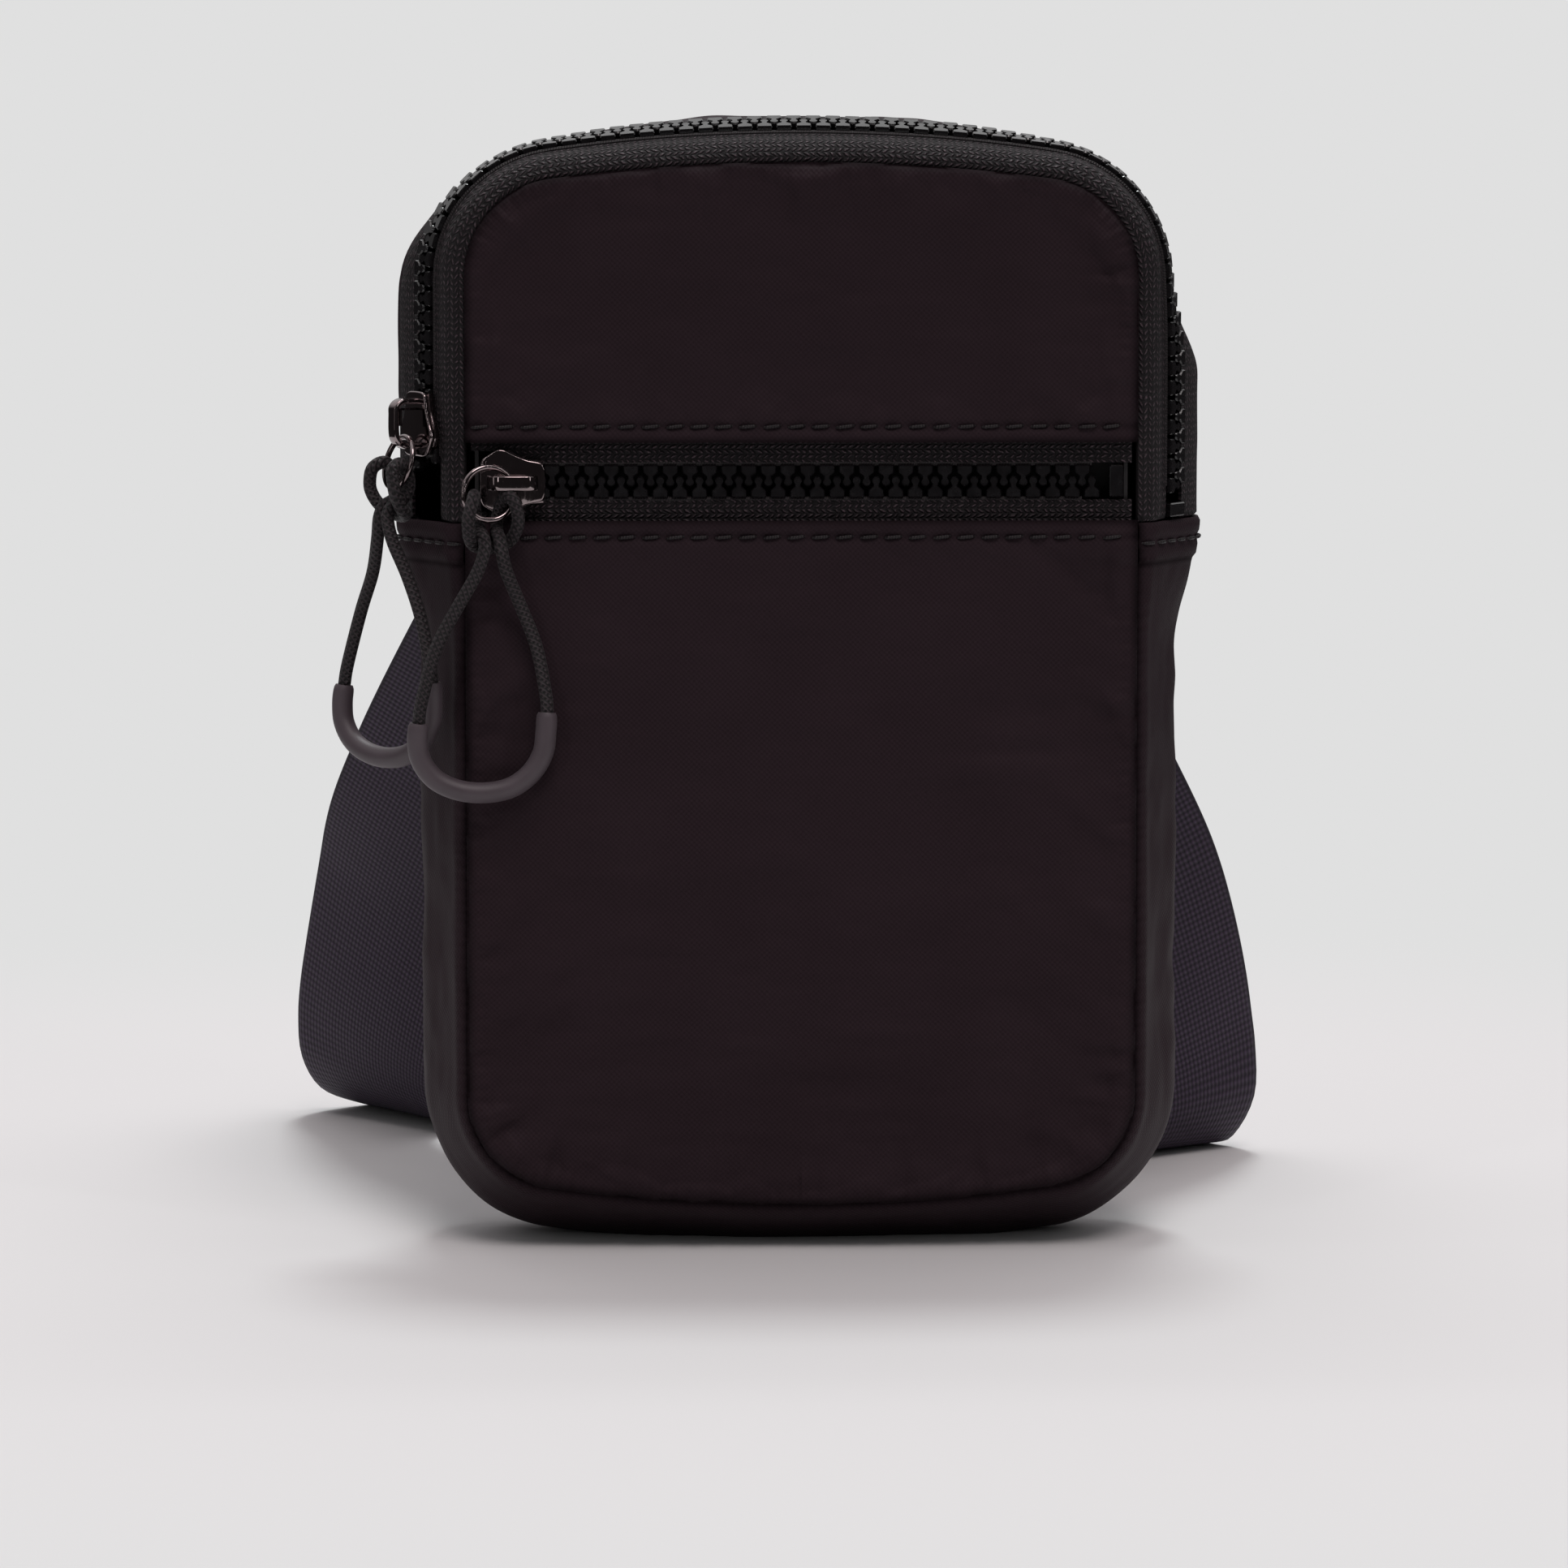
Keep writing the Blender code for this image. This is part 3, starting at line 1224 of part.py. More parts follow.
def build_pocket_zip():
    """Chain, slider, ring and pull of the pocket zip, on the front."""
    level = -SEAM_DEPTH / 2 + TAPE_THICK / 2
    build_pocket_teeth(level)
    half = FRONT_WIDTH / 2 - POCKET_INSET - LINING_THICK
    out = Vector((0.0, -1.0, 0.0))
    left = Vector((-1.0, 0.0, 0.0))
    stop = Vector((half - END_STOP_LENGTH / 2 - FIT_GAP, level, POCKET_ZIP_HEIGHT))
    build_end_stop("pocket_end_stop", frame_matrix(stop, left, out.cross(left), out))
    middle = Vector((POCKET_SLIDER_X, level, POCKET_ZIP_HEIGHT))
    place = frame_matrix(middle, left, out.cross(left), out)
    build_slider("pocket", place)
    build_crown("pocket", place)
    _, outer = slider_levels()
    hinge = place @ Vector((0.0, 0.0, outer + RING_LIFT))
    towards = Vector((-math.cos(POCKET_RING_TURN), 0.0, -math.sin(POCKET_RING_TURN)))
    axis = out.cross(towards)
    lifted = towards * math.cos(POCKET_RING_TILT) + out * math.sin(POCKET_RING_TILT)
    ring = frame_matrix(hinge + lifted * RING_RADIUS, lifted, axis, lifted.cross(axis))
    build_ring("pocket", ring)
    drop = Vector((0.0, 0.0, -1.0))
    drop = (drop - ring.col[2].xyz * drop.dot(ring.col[2].xyz)).normalized()
    lowest = ring.translation + drop * RING_RADIUS
    up = Vector((0.0, 0.0, 1.0))
    wire = up.cross(ring.col[2].xyz).normalized()
    if wire.x < 0:
        wire = -wire
    turned = math.atan2(wire.y, wire.x)
    build_pull("pocket", frame_matrix(lowest, wire, wire.cross(up), up), turned)
    report_hinge("pocket_ring", hinge, axis)
    report_hinge("pocket_pull", lowest, wire)


def report_hinge(name, point, axis):
    """Prints where a pull hinges, for whoever sets up its motion."""
    print(name, [round(v, 6) for v in point], [round(v, 6) for v in axis])


def main():
    for made in list(bpy.data.objects):
        bpy.data.objects.remove(made)
    build_panels()
    build_gussets()
    build_main_tapes()
    build_pocket()
    build_card_pocket()
    build_main_zip()
    build_pocket_zip()
    line = StrapLine()
    build_strap(line)
    build_adjuster(line)
    for side, word in ((-1, "left"), (1, "right")):
        build_strap_ring(f"strap_ring_{word}", side)
        build_strap_tab(f"strap_tab_{word}", side)
    middle, along, _, _ = line.at(GLIDE_AT)
    report_hinge("adjuster", middle, along)
    print("strap line", round(line.length[-1], 4))


main()
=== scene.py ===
"""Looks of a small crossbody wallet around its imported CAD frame: fabric, zips, metal, cords and webbing."""

import json
import logging
import math
from dataclasses import dataclass, field
from enum import Enum
from functools import cache, cached_property, partial
from typing import Callable, Iterable, Optional, Sequence

import bmesh
import bpy
import numpy as np
from mathutils import Matrix, Vector

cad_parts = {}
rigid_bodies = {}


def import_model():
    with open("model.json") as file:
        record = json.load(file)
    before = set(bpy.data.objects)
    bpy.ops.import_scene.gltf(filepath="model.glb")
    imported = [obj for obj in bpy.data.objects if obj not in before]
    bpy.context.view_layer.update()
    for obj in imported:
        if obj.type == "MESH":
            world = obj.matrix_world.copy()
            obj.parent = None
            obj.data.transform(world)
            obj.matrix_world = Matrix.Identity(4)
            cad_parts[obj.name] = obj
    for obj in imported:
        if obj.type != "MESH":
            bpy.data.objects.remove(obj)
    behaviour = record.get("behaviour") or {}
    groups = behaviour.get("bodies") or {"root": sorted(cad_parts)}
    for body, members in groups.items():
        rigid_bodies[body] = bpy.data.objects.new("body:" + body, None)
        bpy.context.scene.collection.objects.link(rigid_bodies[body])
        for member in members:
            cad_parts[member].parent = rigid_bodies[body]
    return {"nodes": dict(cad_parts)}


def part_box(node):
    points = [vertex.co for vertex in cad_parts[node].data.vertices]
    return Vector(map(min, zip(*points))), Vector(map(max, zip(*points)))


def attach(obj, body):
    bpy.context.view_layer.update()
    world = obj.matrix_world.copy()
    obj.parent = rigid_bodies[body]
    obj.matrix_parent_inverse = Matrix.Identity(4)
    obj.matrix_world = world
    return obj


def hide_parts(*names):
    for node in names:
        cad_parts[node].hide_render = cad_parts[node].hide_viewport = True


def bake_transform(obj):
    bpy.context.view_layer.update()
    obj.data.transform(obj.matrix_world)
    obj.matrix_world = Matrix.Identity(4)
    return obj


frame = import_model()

log = logging.getLogger("wallet")
MM = 0.001
SEED = 11
SEAM_STEP = 0.8 * MM
FRONT = (0.0, -1.0, 0.0)
UP = (0.0, 0.0, 1.0)
DOWN = (0.0, 0.0, -1.0)


# ---------------------------------------------------------------- small mathematics

def smooth_step(value: np.ndarray | float) -> np.ndarray | float:
    """Eases a number or array, clamped to 0..1, from 0 to 1."""
    part = np.clip(value, 0.0, 1.0)
    return part * part * (3 - 2 * part)


def bump(distance: np.ndarray | float, reach: float) -> np.ndarray | float:
    """A bell of height 1 at distance 0 that falls to about a third at its reach."""
    return np.exp(-((np.asarray(distance) / reach) ** 2))


class ValueNoise:
    """Smooth seeded noise in two dimensions, for dents and uneven seams."""

    CELLS = 64

    def __init__(self, seed: int) -> None:
        """Fills the lattice from a fixed seed."""
        self.lattice = np.random.default_rng(seed).uniform(-1.0, 1.0, (self.CELLS, self.CELLS))

    def at(self, u: np.ndarray | float, v: np.ndarray | float) -> np.ndarray:
        """Samples the noise.

        Args:
            u: First coordinate in cells.
            v: Second coordinate in cells.

        Returns:
            Values from -1 to 1.
        """
        u, v = np.broadcast_arrays(np.asarray(u, float), np.asarray(v, float))
        iu, iv = np.floor(u).astype(int), np.floor(v).astype(int)
        fu, fv = smooth_step(u - iu), smooth_step(v - iv)

        def row(up: int) -> np.ndarray:
            """The noise on the lattice line below or above."""
            near, far = (self.lattice[(iu + a) % self.CELLS, (iv + up) % self.CELLS] for a in (0, 1))
            return near * (1 - fu) + far * fu

        return row(0) * (1 - fv) + row(1) * fv

    def layered(self, u: np.ndarray, v: np.ndarray) -> np.ndarray:
        """Sums three layers of noise, each twice as fine and half as strong, to about -1 to 1."""
        return sum(self.at(u * 2**k + 7.3 * k, v * 2**k + 3.1 * k) / 2**k for k in range(3)) / 1.75


def unit(vectors: np.ndarray) -> np.ndarray:
    """The vectors along an array's last axis, each made one long."""
    return vectors / np.maximum(np.linalg.norm(vectors, axis=-1, keepdims=True), 1e-12)


def run_of(points: np.ndarray) -> np.ndarray:
    """How far along a polyline each of its points lies."""
    return np.concatenate([[0.0], np.cumsum(np.linalg.norm(np.diff(points, axis=0), axis=1))])


def at_run(points: np.ndarray, length: np.ndarray, wanted: np.ndarray) -> np.ndarray:
    """The rows of a polyline at wanted distances along it.

    Args:
        points: Its rows, with any number of columns.
        length: How far along each row lies.
        wanted: The distances.

    Returns:
        Rows with the same columns.
    """
    return np.stack([np.interp(wanted, length, column) for column in points.T], axis=1)


def resample(points: np.ndarray, step: float) -> np.ndarray:
    """Rows about a step apart along a polyline whose first three columns are the place."""
    length = run_of(points[:, :3])
    return at_run(points, length, np.linspace(0.0, length[-1], max(2, int(round(length[-1] / step)) + 1)))


def cubic(
    before: np.ndarray, start: np.ndarray, end: np.ndarray, after: np.ndarray, t: np.ndarray | float
) -> np.ndarray:
    """A place on the smooth curve through four points.

    Args:
        before: The point before the span.
        start: The span's first point.
        end: The span's last point.
        after: The point after the span.
        t: How far through the span, 0 to 1.

    Returns:
        The place.
    """
    return 0.5 * (
        start * 2 + (end - before) * t + (before * 2 - start * 5 + end * 4 - after) * t**2
        + (start * 3 - before - end * 3 + after) * t**3
    )


def catmull_rom(points: Sequence, step: float) -> np.ndarray:
    """Rows about a step apart on the smooth open curve that the CAD's cords and strap follow.

    Args:
        points: Given points. Columns past the third one change evenly along each span.
        step: Wanted distance between rows, in metres.

    Returns:
        The rows.
    """
    given = np.asarray(points, float)
    given = np.concatenate([[given[0] * 2 - given[1]], given, [given[-1] * 2 - given[-2]]])
    found = []
    for before, start, end, after in zip(given, given[1:], given[2:], given[3:]):
        pieces = max(1, round(float(np.linalg.norm((end - start)[:3])) / step))
        for t in np.arange(pieces) / pieces:
            row = cubic(before, start, end, after, t)
            row[3:] = start[3:] + (end[3:] - start[3:]) * t
            found.append(row)
    return np.array(found + [given[-2]])


def finer(grid: np.ndarray, factor: int) -> np.ndarray:
    """A grid's smooth refinement, by the cubic curve through its points both ways.

    Args:
        grid: Places or other values, rows by columns by parts.
        factor: How many steps each step becomes.

    Returns:
        The finer grid.
    """
    for axis in (0, 1):
        values = np.moveaxis(grid, axis, 0)
        last = len(values) - 1
        at = np.linspace(0, last, last * factor + 1)
        i = np.minimum(at.astype(int), last - 1)
        t = (at - i).reshape((-1,) + (1,) * (values.ndim - 1))
        around = (values[np.clip(i + k, 0, last)] for k in (-1, 0, 1, 2))
        grid = np.moveaxis(cubic(*around, t), 0, axis)
    return grid


# ---------------------------------------------------------------- colours, nodes and finishes

def linear(code: str) -> tuple:
    """Turns an sRGB hex colour such as "#2a2427" into the linear colour that shaders take."""
    parts = [int(code[i : i + 2], 16) / 255 for i in (1, 3, 5)]
    return (*[c / 12.92 if c <= 0.04045 else ((c + 0.055) / 1.055) ** 2.4 for c in parts], 1.0)


def add_node(
    tree: bpy.types.NodeTree,
    kind: str,
    *inputs: object,
    named: Optional[dict] = None,
    out: int | str = 0,
    **settings: object,
) -> bpy.types.NodeSocket:
    """Adds one node with its settings and links.

    Args:
        tree: The node tree.
        kind: Its type name, for a shader node without "ShaderNode", with its operation where it has one.
        inputs: Values or output sockets in the node's own order; None leaves one as it is.
        named: Values or output sockets by input name or number.
        out: Name or number of the output that the caller wants.
        settings: The node's own properties.

    Returns:
        The output's socket, or the node if it has none.
    """
    kind, _, operation = kind.partition(" ")
    node = tree.nodes.new(kind if "Node" in kind else "ShaderNode" + kind)
    if operation:
        node.operation = operation
    for name, value in settings.items():
        setattr(node, name, value)
    for name, value in [*enumerate(inputs), *(named or {}).items()]:
        if isinstance(value, bpy.types.NodeSocket):
            tree.links.new(value, node.inputs[name])
        elif value is not None:
            node.inputs[name].default_value = value
    return node.outputs[out] if node.outputs else node


@dataclass(frozen=True)
class Finish:
    """A finish, whose fields are its colours and real sizes and whose pattern says what varies over it.

    FIXED holds what is the same all over the surface, and is set on the shader's own sockets.
    """

    name: str
    dark: str

    FIXED = {}

    @cache
    def material(self) -> bpy.types.Material:
        """Makes the material on first use.

        Returns:
            The material.
        """
        made = bpy.data.materials.new(self.name)
        made.use_nodes = True
        made.node_tree.nodes.clear()
        node = partial(add_node, made.node_tree)
        place = node("TexCoord", out="Object")
        tones, roughness, relief = self.pattern(node, place)
        colour, normal = linear(self.dark), None
        for share, tone in tones:
            colour = node("Mix", named={0: share, 6: colour, 7: linear(tone)}, out=2, data_type="RGBA")
        for height, depth, strength in relief:
            heights = {"Height": height, "Distance": depth, "Strength": strength, "Normal": normal}
            normal = node("Bump", named=heights)
        surface = {"Base Color": colour, "Roughness": roughness, "Normal": normal, **self.FIXED}
        node("OutputMaterial", self.covered(node, place, node("BsdfPrincipled", named=surface)))
        return made

    def pattern(self, node: Callable, place: bpy.types.NodeSocket) -> tuple:
        """Adds the nodes of what varies over the surface.

        Args:
            node: Adds a node to the material's tree.
            place: The place on the object.

        Returns:
            Lighter or darker tones with how much of each shows, the roughness, and the relief as height, depth
            in metres and strength, from coarse to fine.
        """
        raise NotImplementedError

    def covered(
        self, node: Callable, place: bpy.types.NodeSocket, surface: bpy.types.NodeSocket
    ) -> bpy.types.NodeSocket:
        """What lies over the surface: nothing, unless a finish says so.

        Args:
            node: Adds a node to the material's tree.
            place: The place on the object.
            surface: The shader so far.

        Returns:
            The shader.
        """
        return surface

    @staticmethod
    def metres(node: Callable) -> tuple:
        """Metres along and across the cloth, from the piece's UV."""
        parts = node("SeparateXYZ", node("UVMap", uv_map="metres")).node.outputs
        return parts[0], parts[1]


@dataclass(frozen=True)
class WovenNylon(Finish):
    """Plain-woven nylon taffeta over thin foam, piece-dyed: a fine grid of threads with a soft satin sheen."""

    name: str = "woven_nylon"
    dark: str = "#231b1e"
    light: str = "#372c31"
    # the colour of the painted shade in the seams and folds
    seam: str = "#060405"
    thread: float = 0.42 * MM
    height: float = 0.06 * MM
    roughness: float = 0.54

    FIXED = {"Specular IOR Level": 0.05, "Specular Tint": linear("#f0d4e0")}

    def pattern(self, node: Callable, place: bpy.types.NodeSocket) -> tuple:
        """Threads over and under, slubs, cloudy dye, and painted shade in the folds and seams.

        Args:
            node: Adds a node to the material's tree.
            place: The place on the object.

        Returns:
            Tones, roughness and relief.
        """
        along, across = self.metres(node)
        # the real threads are finer than a pixel, so they are drawn about twice as coarse
        waves = [node("Math SINE", node("Math MULTIPLY", way, math.pi / self.thread)) for way in (along, across)]
        weave = node("Math MULTIPLY_ADD", node("Math MULTIPLY", *waves), 0.5, 0.5)
        cloudy = node("TexNoise", place, None, 55.0, 4.0)
        # a slub is a thick place in one weft thread, long and thin
        line = node("CombineXYZ", node("Math MULTIPLY", along, 90.0), node("Math MULTIPLY", across, 1500.0))
        slub = node("TexNoise", line, None, 1.0, 2.0)
        shade = node("Math MULTIPLY_ADD", cloudy, 0.45, node("Math MULTIPLY", weave, 0.35))
        # painted shade: the seam colour is mixed in where the cloth lies in seams and folds, read from a point
        # attribute of the mesh that also roughens the cloth there
        painted_shade = node("Attribute", out="Fac", attribute_name="painted_shade")
        rough = node("Math MULTIPLY_ADD", cloudy, 0.14, self.roughness - 0.07)
        rough = node("Math MULTIPLY_ADD", painted_shade, 0.4, rough)
        crease = node("TexNoise", place, None, 260.0, 3.0)
        tones = [(shade, self.light), (node("Math MULTIPLY", painted_shade, 0.8), self.seam)]
        return tones, rough, [(crease, 0.16 * MM, 0.5), (slub, 0.03 * MM, 0.5), (weave, self.height, 0.8)]


@dataclass(frozen=True)
class KnitTape(Finish):
    """Warp-knitted polyester zip tape: matte rows of small loops, with painted glints on the loops' crowns."""

    name: str = "knit_tape"
    dark: str = "#110c0f"
    # the colour of the painted glints
    light: str = "#5a4a51"
    loop: float = 1.05 * MM
    wale: float = 0.80 * MM
    height: float = 0.42 * MM

    FIXED = {"Specular IOR Level": 0.28}

    def pattern(self, node: Callable, place: bpy.types.NodeSocket) -> tuple:
        """Rows of loops that lean from wale to wale, with a yarn grain and painted glints on the loops.

        Args:
            node: Adds a node to the material's tree.
            place: The place on the object.

        Returns:
            Tones, roughness and relief.
        """
        along, across = self.metres(node)
        wale = node("Math MULTIPLY", across, 1 / self.wale)
        lean = node("Math MULTIPLY", node("Math PINGPONG", wale, 1.0), 0.75)
        wander = node("Math MULTIPLY", node("TexNoise", place, None, 900.0, 1.0), 0.9)
        course = node("Math ADD", node("Math ADD", node("Math MULTIPLY", along, 1 / self.loop), lean), wander)
        loops = node("Math MULTIPLY_ADD", node("Math SINE", node("Math MULTIPLY", course, 2 * math.pi)), 0.5, 0.5)
        ribs = node("Math ABSOLUTE", node("Math SINE", node("Math MULTIPLY", wale, math.pi)))
        knit = node("Math MULTIPLY", loops, node("Math POWER", ribs, 0.6))
        grain = node("TexNoise", place, None, 3000.0, 2.0)
        # painted highlight: where the loops and the grain stand high, the colour is mixed towards the light tone as
        # glints, and the roughness drops
        points = node("MapRange", node("Math MULTIPLY", knit, grain), 0.26, 0.66)
        rough = node("Math MULTIPLY_ADD", points, -0.42, 0.74)
        return [(points, self.light)], rough, [(grain, 0.12 * MM, 0.9), (knit, self.height, 0.9)]


@dataclass(frozen=True)
class WaffleWebbing(Finish):
    """Woven polyester webbing with a small waffle weave: raised dots in offset rows and a plain bound edge."""

    name: str = "waffle_webbing"
    dark: str = "#170f1b"
    light: str = "#4a3b50"
    pitch_across: float = 0.86 * MM
    pitch_along: float = 1.10 * MM
    height: float = 0.22 * MM
    half_width: float = 19.0 * MM
    edge: float = 1.1 * MM

    FIXED = {"Specular IOR Level": 0.25, "Sheen Weight": 0.08, "Sheen Tint": linear("#b9b2c4")}

    def pattern(self, node: Callable, place: bpy.types.NodeSocket) -> tuple:
        """Two slanting waves that cross in dots, a yarn grain, faded places and the plain selvedge.

        Args:
            node: Adds a node to the material's tree.
            place: The place on the object.

        Returns:
            Tones, roughness and relief.
        """
        along, across = self.metres(node)
        a = node("Math MULTIPLY", along, math.pi / self.pitch_along)
        b = node("Math MULTIPLY", across, math.pi / self.pitch_across)
        waves = [node("Math SINE", node("Math " + way, a, b)) for way in ("ADD", "SUBTRACT")]
        dots = node("Math MULTIPLY_ADD", node("Math MULTIPLY", *waves), 0.5, 0.5)
        away = node("Math ABSOLUTE", across)
        dots = node("Math MULTIPLY", dots, node("MapRange", away, self.half_width, self.half_width - self.edge))
        yarn = node("TexNoise", place, None, 2400.0, 2.0)
        faded = node("Math MULTIPLY_ADD", node("TexNoise", place, None, 45.0, 3.0), 0.6, 0.5)
        shade = node("Math MULTIPLY", node("Math POWER", dots, 1.6), faded)
        return [(shade, self.light)], 0.62, [(yarn, 0.05 * MM, 0.7), (dots, self.height, 0.9)]


@dataclass(frozen=True)
class BraidedCord(Finish):
    """Round braided polyester cord: a herringbone of yarn bundles that cross on two spirals."""

    name: str = "braided_cord"
    dark: str = "#070506"
    light: str = "#382f33"
    bundles: float = 5.0
    pitch: float = 5.2 * MM
    girth: float = 6.28 * MM

    FIXED = {"Specular IOR Level": 0.3, "Sheen Weight": 0.05}

    def pattern(self, node: Callable, place: bpy.types.NodeSocket) -> tuple:
        """Two spirals as triangle waves whose slopes meet in a herringbone, under a fuzz of fibres.

        Args:
            node: Adds a node to the material's tree.
            place: The place on the object.

        Returns:
            Tones, roughness and relief.
        """
        along, around = self.metres(node)
        a = node("Math MULTIPLY", along, self.bundles / self.pitch)
        b = node("Math MULTIPLY", around, self.bundles / self.girth)
        both = node("Math ADD", a, b)
        spirals = [node("Math PINGPONG", way, 0.5) for way in (both, node("Math SUBTRACT", a, b))]
        over = node("Math GREATER_THAN", node("Math SINE", node("Math MULTIPLY", both, 2 * math.pi)), 0.0)
        relief = node("Math MULTIPLY", node("Mix", over, None, *spirals, data_type="FLOAT"), 2.0)
        fuzz = node("TexNoise", place, None, 5200.0, 2.0)
        bundles = node("MapRange", relief, 0.3, 0.9)
        return [(bundles, self.light)], 0.6, [(fuzz, 0.04 * MM, 0.6), (relief, 0.26 * MM, 0.9)]


@dataclass(frozen=True)
class SewingThread(Finish):
    """Bonded nylon sewing thread, three plies twisted: slanting bands along each stitch."""

    name: str = "sewing_thread"
    dark: str = "#080607"
    light: str = "#261f22"
    ply: float = 0.45 * MM

    FIXED = {"Specular IOR Level": 0.3}

    def pattern(self, node: Callable, place: bpy.types.NodeSocket) -> tuple:
        """The twist of the plies along the stitch.

        Args:
            node: Adds a node to the material's tree.
            place: The place on the object.

        Returns:
            Tones, roughness and relief.
        """
        along, around = self.metres(node)
        slant = node("Math MULTIPLY", around, 1800.0)
        wave = node("Math ADD", node("Math MULTIPLY", along, 2 * math.pi / self.ply), slant)
        twist = node("Math MULTIPLY_ADD", node("Math SINE", wave), 0.5, 0.5)
        return [(twist, self.light)], 0.5, [(twist, 0.06 * MM, 0.9)]


@dataclass(frozen=True)
class MouldedAcetal(Finish):
    """Injection-moulded acetal teeth: satin black with a slight mould texture and glossy worn crowns."""

    name: str = "moulded_acetal"
    dark: str = "#080607"
    light: str = "#100d10"
    roughness: float = 0.24

    FIXED = {"Coat Weight": 0.3, "Coat Roughness": 0.10}

    def pattern(self, node: Callable, place: bpy.types.NodeSocket) -> tuple:
        """Faint flow marks in the satin skin.

        Args:
            node: Adds a node to the material's tree.
            place: The place on the object.

        Returns:
            Tones, roughness and relief.
        """
        flow = node("TexNoise", place, None, 700.0, 3.0)
        rough = node("Math MULTIPLY_ADD", flow, 0.16, self.roughness - 0.06)
        return [(flow, self.light)], rough, [(node("TexNoise", place, None, 4000.0, 2.0), 0.02 * MM, 0.5)]


@dataclass(frozen=True)
class BlackNickel(Finish):
    """Die-cast zinc plated in polished black nickel: dark mirror with warm highlights and fine rub marks."""

    name: str = "black_nickel"
    dark: str = "#968a8b"
    light: str = "#7c6f70"
    roughness: float = 0.07

    FIXED = {"Metallic": 1.0}

    def pattern(self, node: Callable, place: bpy.types.NodeSocket) -> tuple:
        """Cloudy polish and small scratches, all one way.

        Args:
            node: Adds a node to the material's tree.
            place: The place on the object.

        Returns:
            Tones, roughness and relief.
        """
        cloudy = node("TexNoise", place, None, 420.0, 4.0)
        stretched = node("VectorMath MULTIPLY", place, (9000.0, 700.0, 700.0))
        scratches = node("MapRange", node("TexNoise", stretched, None, 1.0, 2.0), 0.60, 0.75)
        rough = node("Math MULTIPLY_ADD", cloudy, 0.08, self.roughness - 0.04)
        rough = node("Math MULTIPLY_ADD", scratches, 0.12, rough)
        return [(cloudy, self.light)], rough, [(scratches, 0.01 * MM, 0.4)]


@dataclass(frozen=True)
class MatteRubber(Finish):
    """Moulded silicone rubber grip: matte with a soft bloom and a very fine spark-eroded texture."""

    name: str = "matte_rubber"
    dark: str = "#3f363b"
    light: str = "#51474d"

    FIXED = {"Sheen Weight": 0.04}

    def pattern(self, node: Callable, place: bpy.types.NodeSocket) -> tuple:
        """The eroded texture and an uneven bloom.

        Args:
            node: Adds a node to the material's tree.
            place: The place on the object.

        Returns:
            Tones, roughness and relief.
        """
        bloom = node("TexNoise", place, None, 180.0, 3.0)
        rough = node("Math MULTIPLY_ADD", bloom, 0.12, 0.44)
        return [(bloom, self.light)], rough, [(node("TexNoise", place, None, 6500.0, 2.0), 0.03 * MM, 0.7)]


@dataclass(frozen=True)
class PolyesterLining(Finish):
    """Lightweight polyester lining, plain woven and calendered: thin, smooth and a little shiny."""

    name: str = "polyester_lining"
    dark: str = "#1c191a"
    light: str = "#242022"

    def pattern(self, node: Callable, place: bpy.types.NodeSocket) -> tuple:
        """The lining's faint crumple.

        Args:
            node: Adds a node to the material's tree.
            place: The place on the object.

        Returns:
            Tones, roughness and relief.
        """
        crumple = node("TexNoise", place, None, 120.0, 4.0)
        return [(crumple, self.light)], 0.5, [(crumple, 0.5 * MM, 0.4)]


@dataclass(frozen=True)
class PaperFloor(Finish):
    """Matte studio paper, pale and even, that only shows the object's shadow."""

    name: str = "studio_paper"
    dark: str = "#dcdcdc"
    tone: str = "#e0e0e0"
    near: float = 0.17
    far: float = 0.42

    FIXED = {"Specular IOR Level": 0.1}

    def pattern(self, node: Callable, place: bpy.types.NodeSocket) -> tuple:
        """Nothing varies over the paper.

        Args:
            node: Adds a node to the material's tree.
            place: The place on the object.

        Returns:
            Tones, roughness and relief.
        """
        return [], 0.95, []

    def covered(
        self, node: Callable, place: bpy.types.NodeSocket, surface: bpy.types.NodeSocket
    ) -> bpy.types.NodeSocket:
        """Gives the paper the background's own even tone past the shadow, so no edge shows.

        Args:
            node: Adds a node to the material's tree.
            place: The place on the object.
            surface: The shader so far.

        Returns:
            The shader.
        """
        away = node("VectorMath DISTANCE", place, (0.0, Stage.back, 0.0), out="Value")
        share = node("MapRange", away, self.near, self.far, interpolation_type="SMOOTHSTEP")
        return node("MixShader", share, surface, node("Emission", linear(self.tone)))


NYLON, TAPE, WEBBING, CORD = WovenNylon(), KnitTape(), WaffleWebbing(), BraidedCord()
THREAD, ACETAL, NICKEL, RUBBER = SewingThread(), MouldedAcetal(), BlackNickel(), MatteRubber()
LINING, PAPER = PolyesterLining(), PaperFloor()


# ---------------------------------------------------------------- meshes

def linked(name: str, data: bpy.types.ID) -> bpy.types.Object:
    """A new object in the scene that shows the data.

    Args:
        name: The object's name.
        data: Its mesh, camera or lamp.

    Returns:
        The object.
    """
    made = bpy.data.objects.new(name, data)
    bpy.context.scene.collection.objects.link(made)
    return made


def new_object(name: str, mesh: bpy.types.Mesh, finish: Finish, smooth_angle: float = 40.0) -> bpy.types.Object:
    """Links a mesh as an object with its finish.

    Args:
        name: The object's name.
        mesh: The mesh, in place.
        finish: Its finish.
        smooth_angle: Edges sharper than this stay sharp, in degrees.

    Returns:
        The object.
    """
    mesh.materials.clear()
    mesh.materials.append(finish.material())
    mesh.shade_smooth()
    mesh.set_sharp_from_angle(angle=math.radians(smooth_angle))
    return linked(name, mesh)


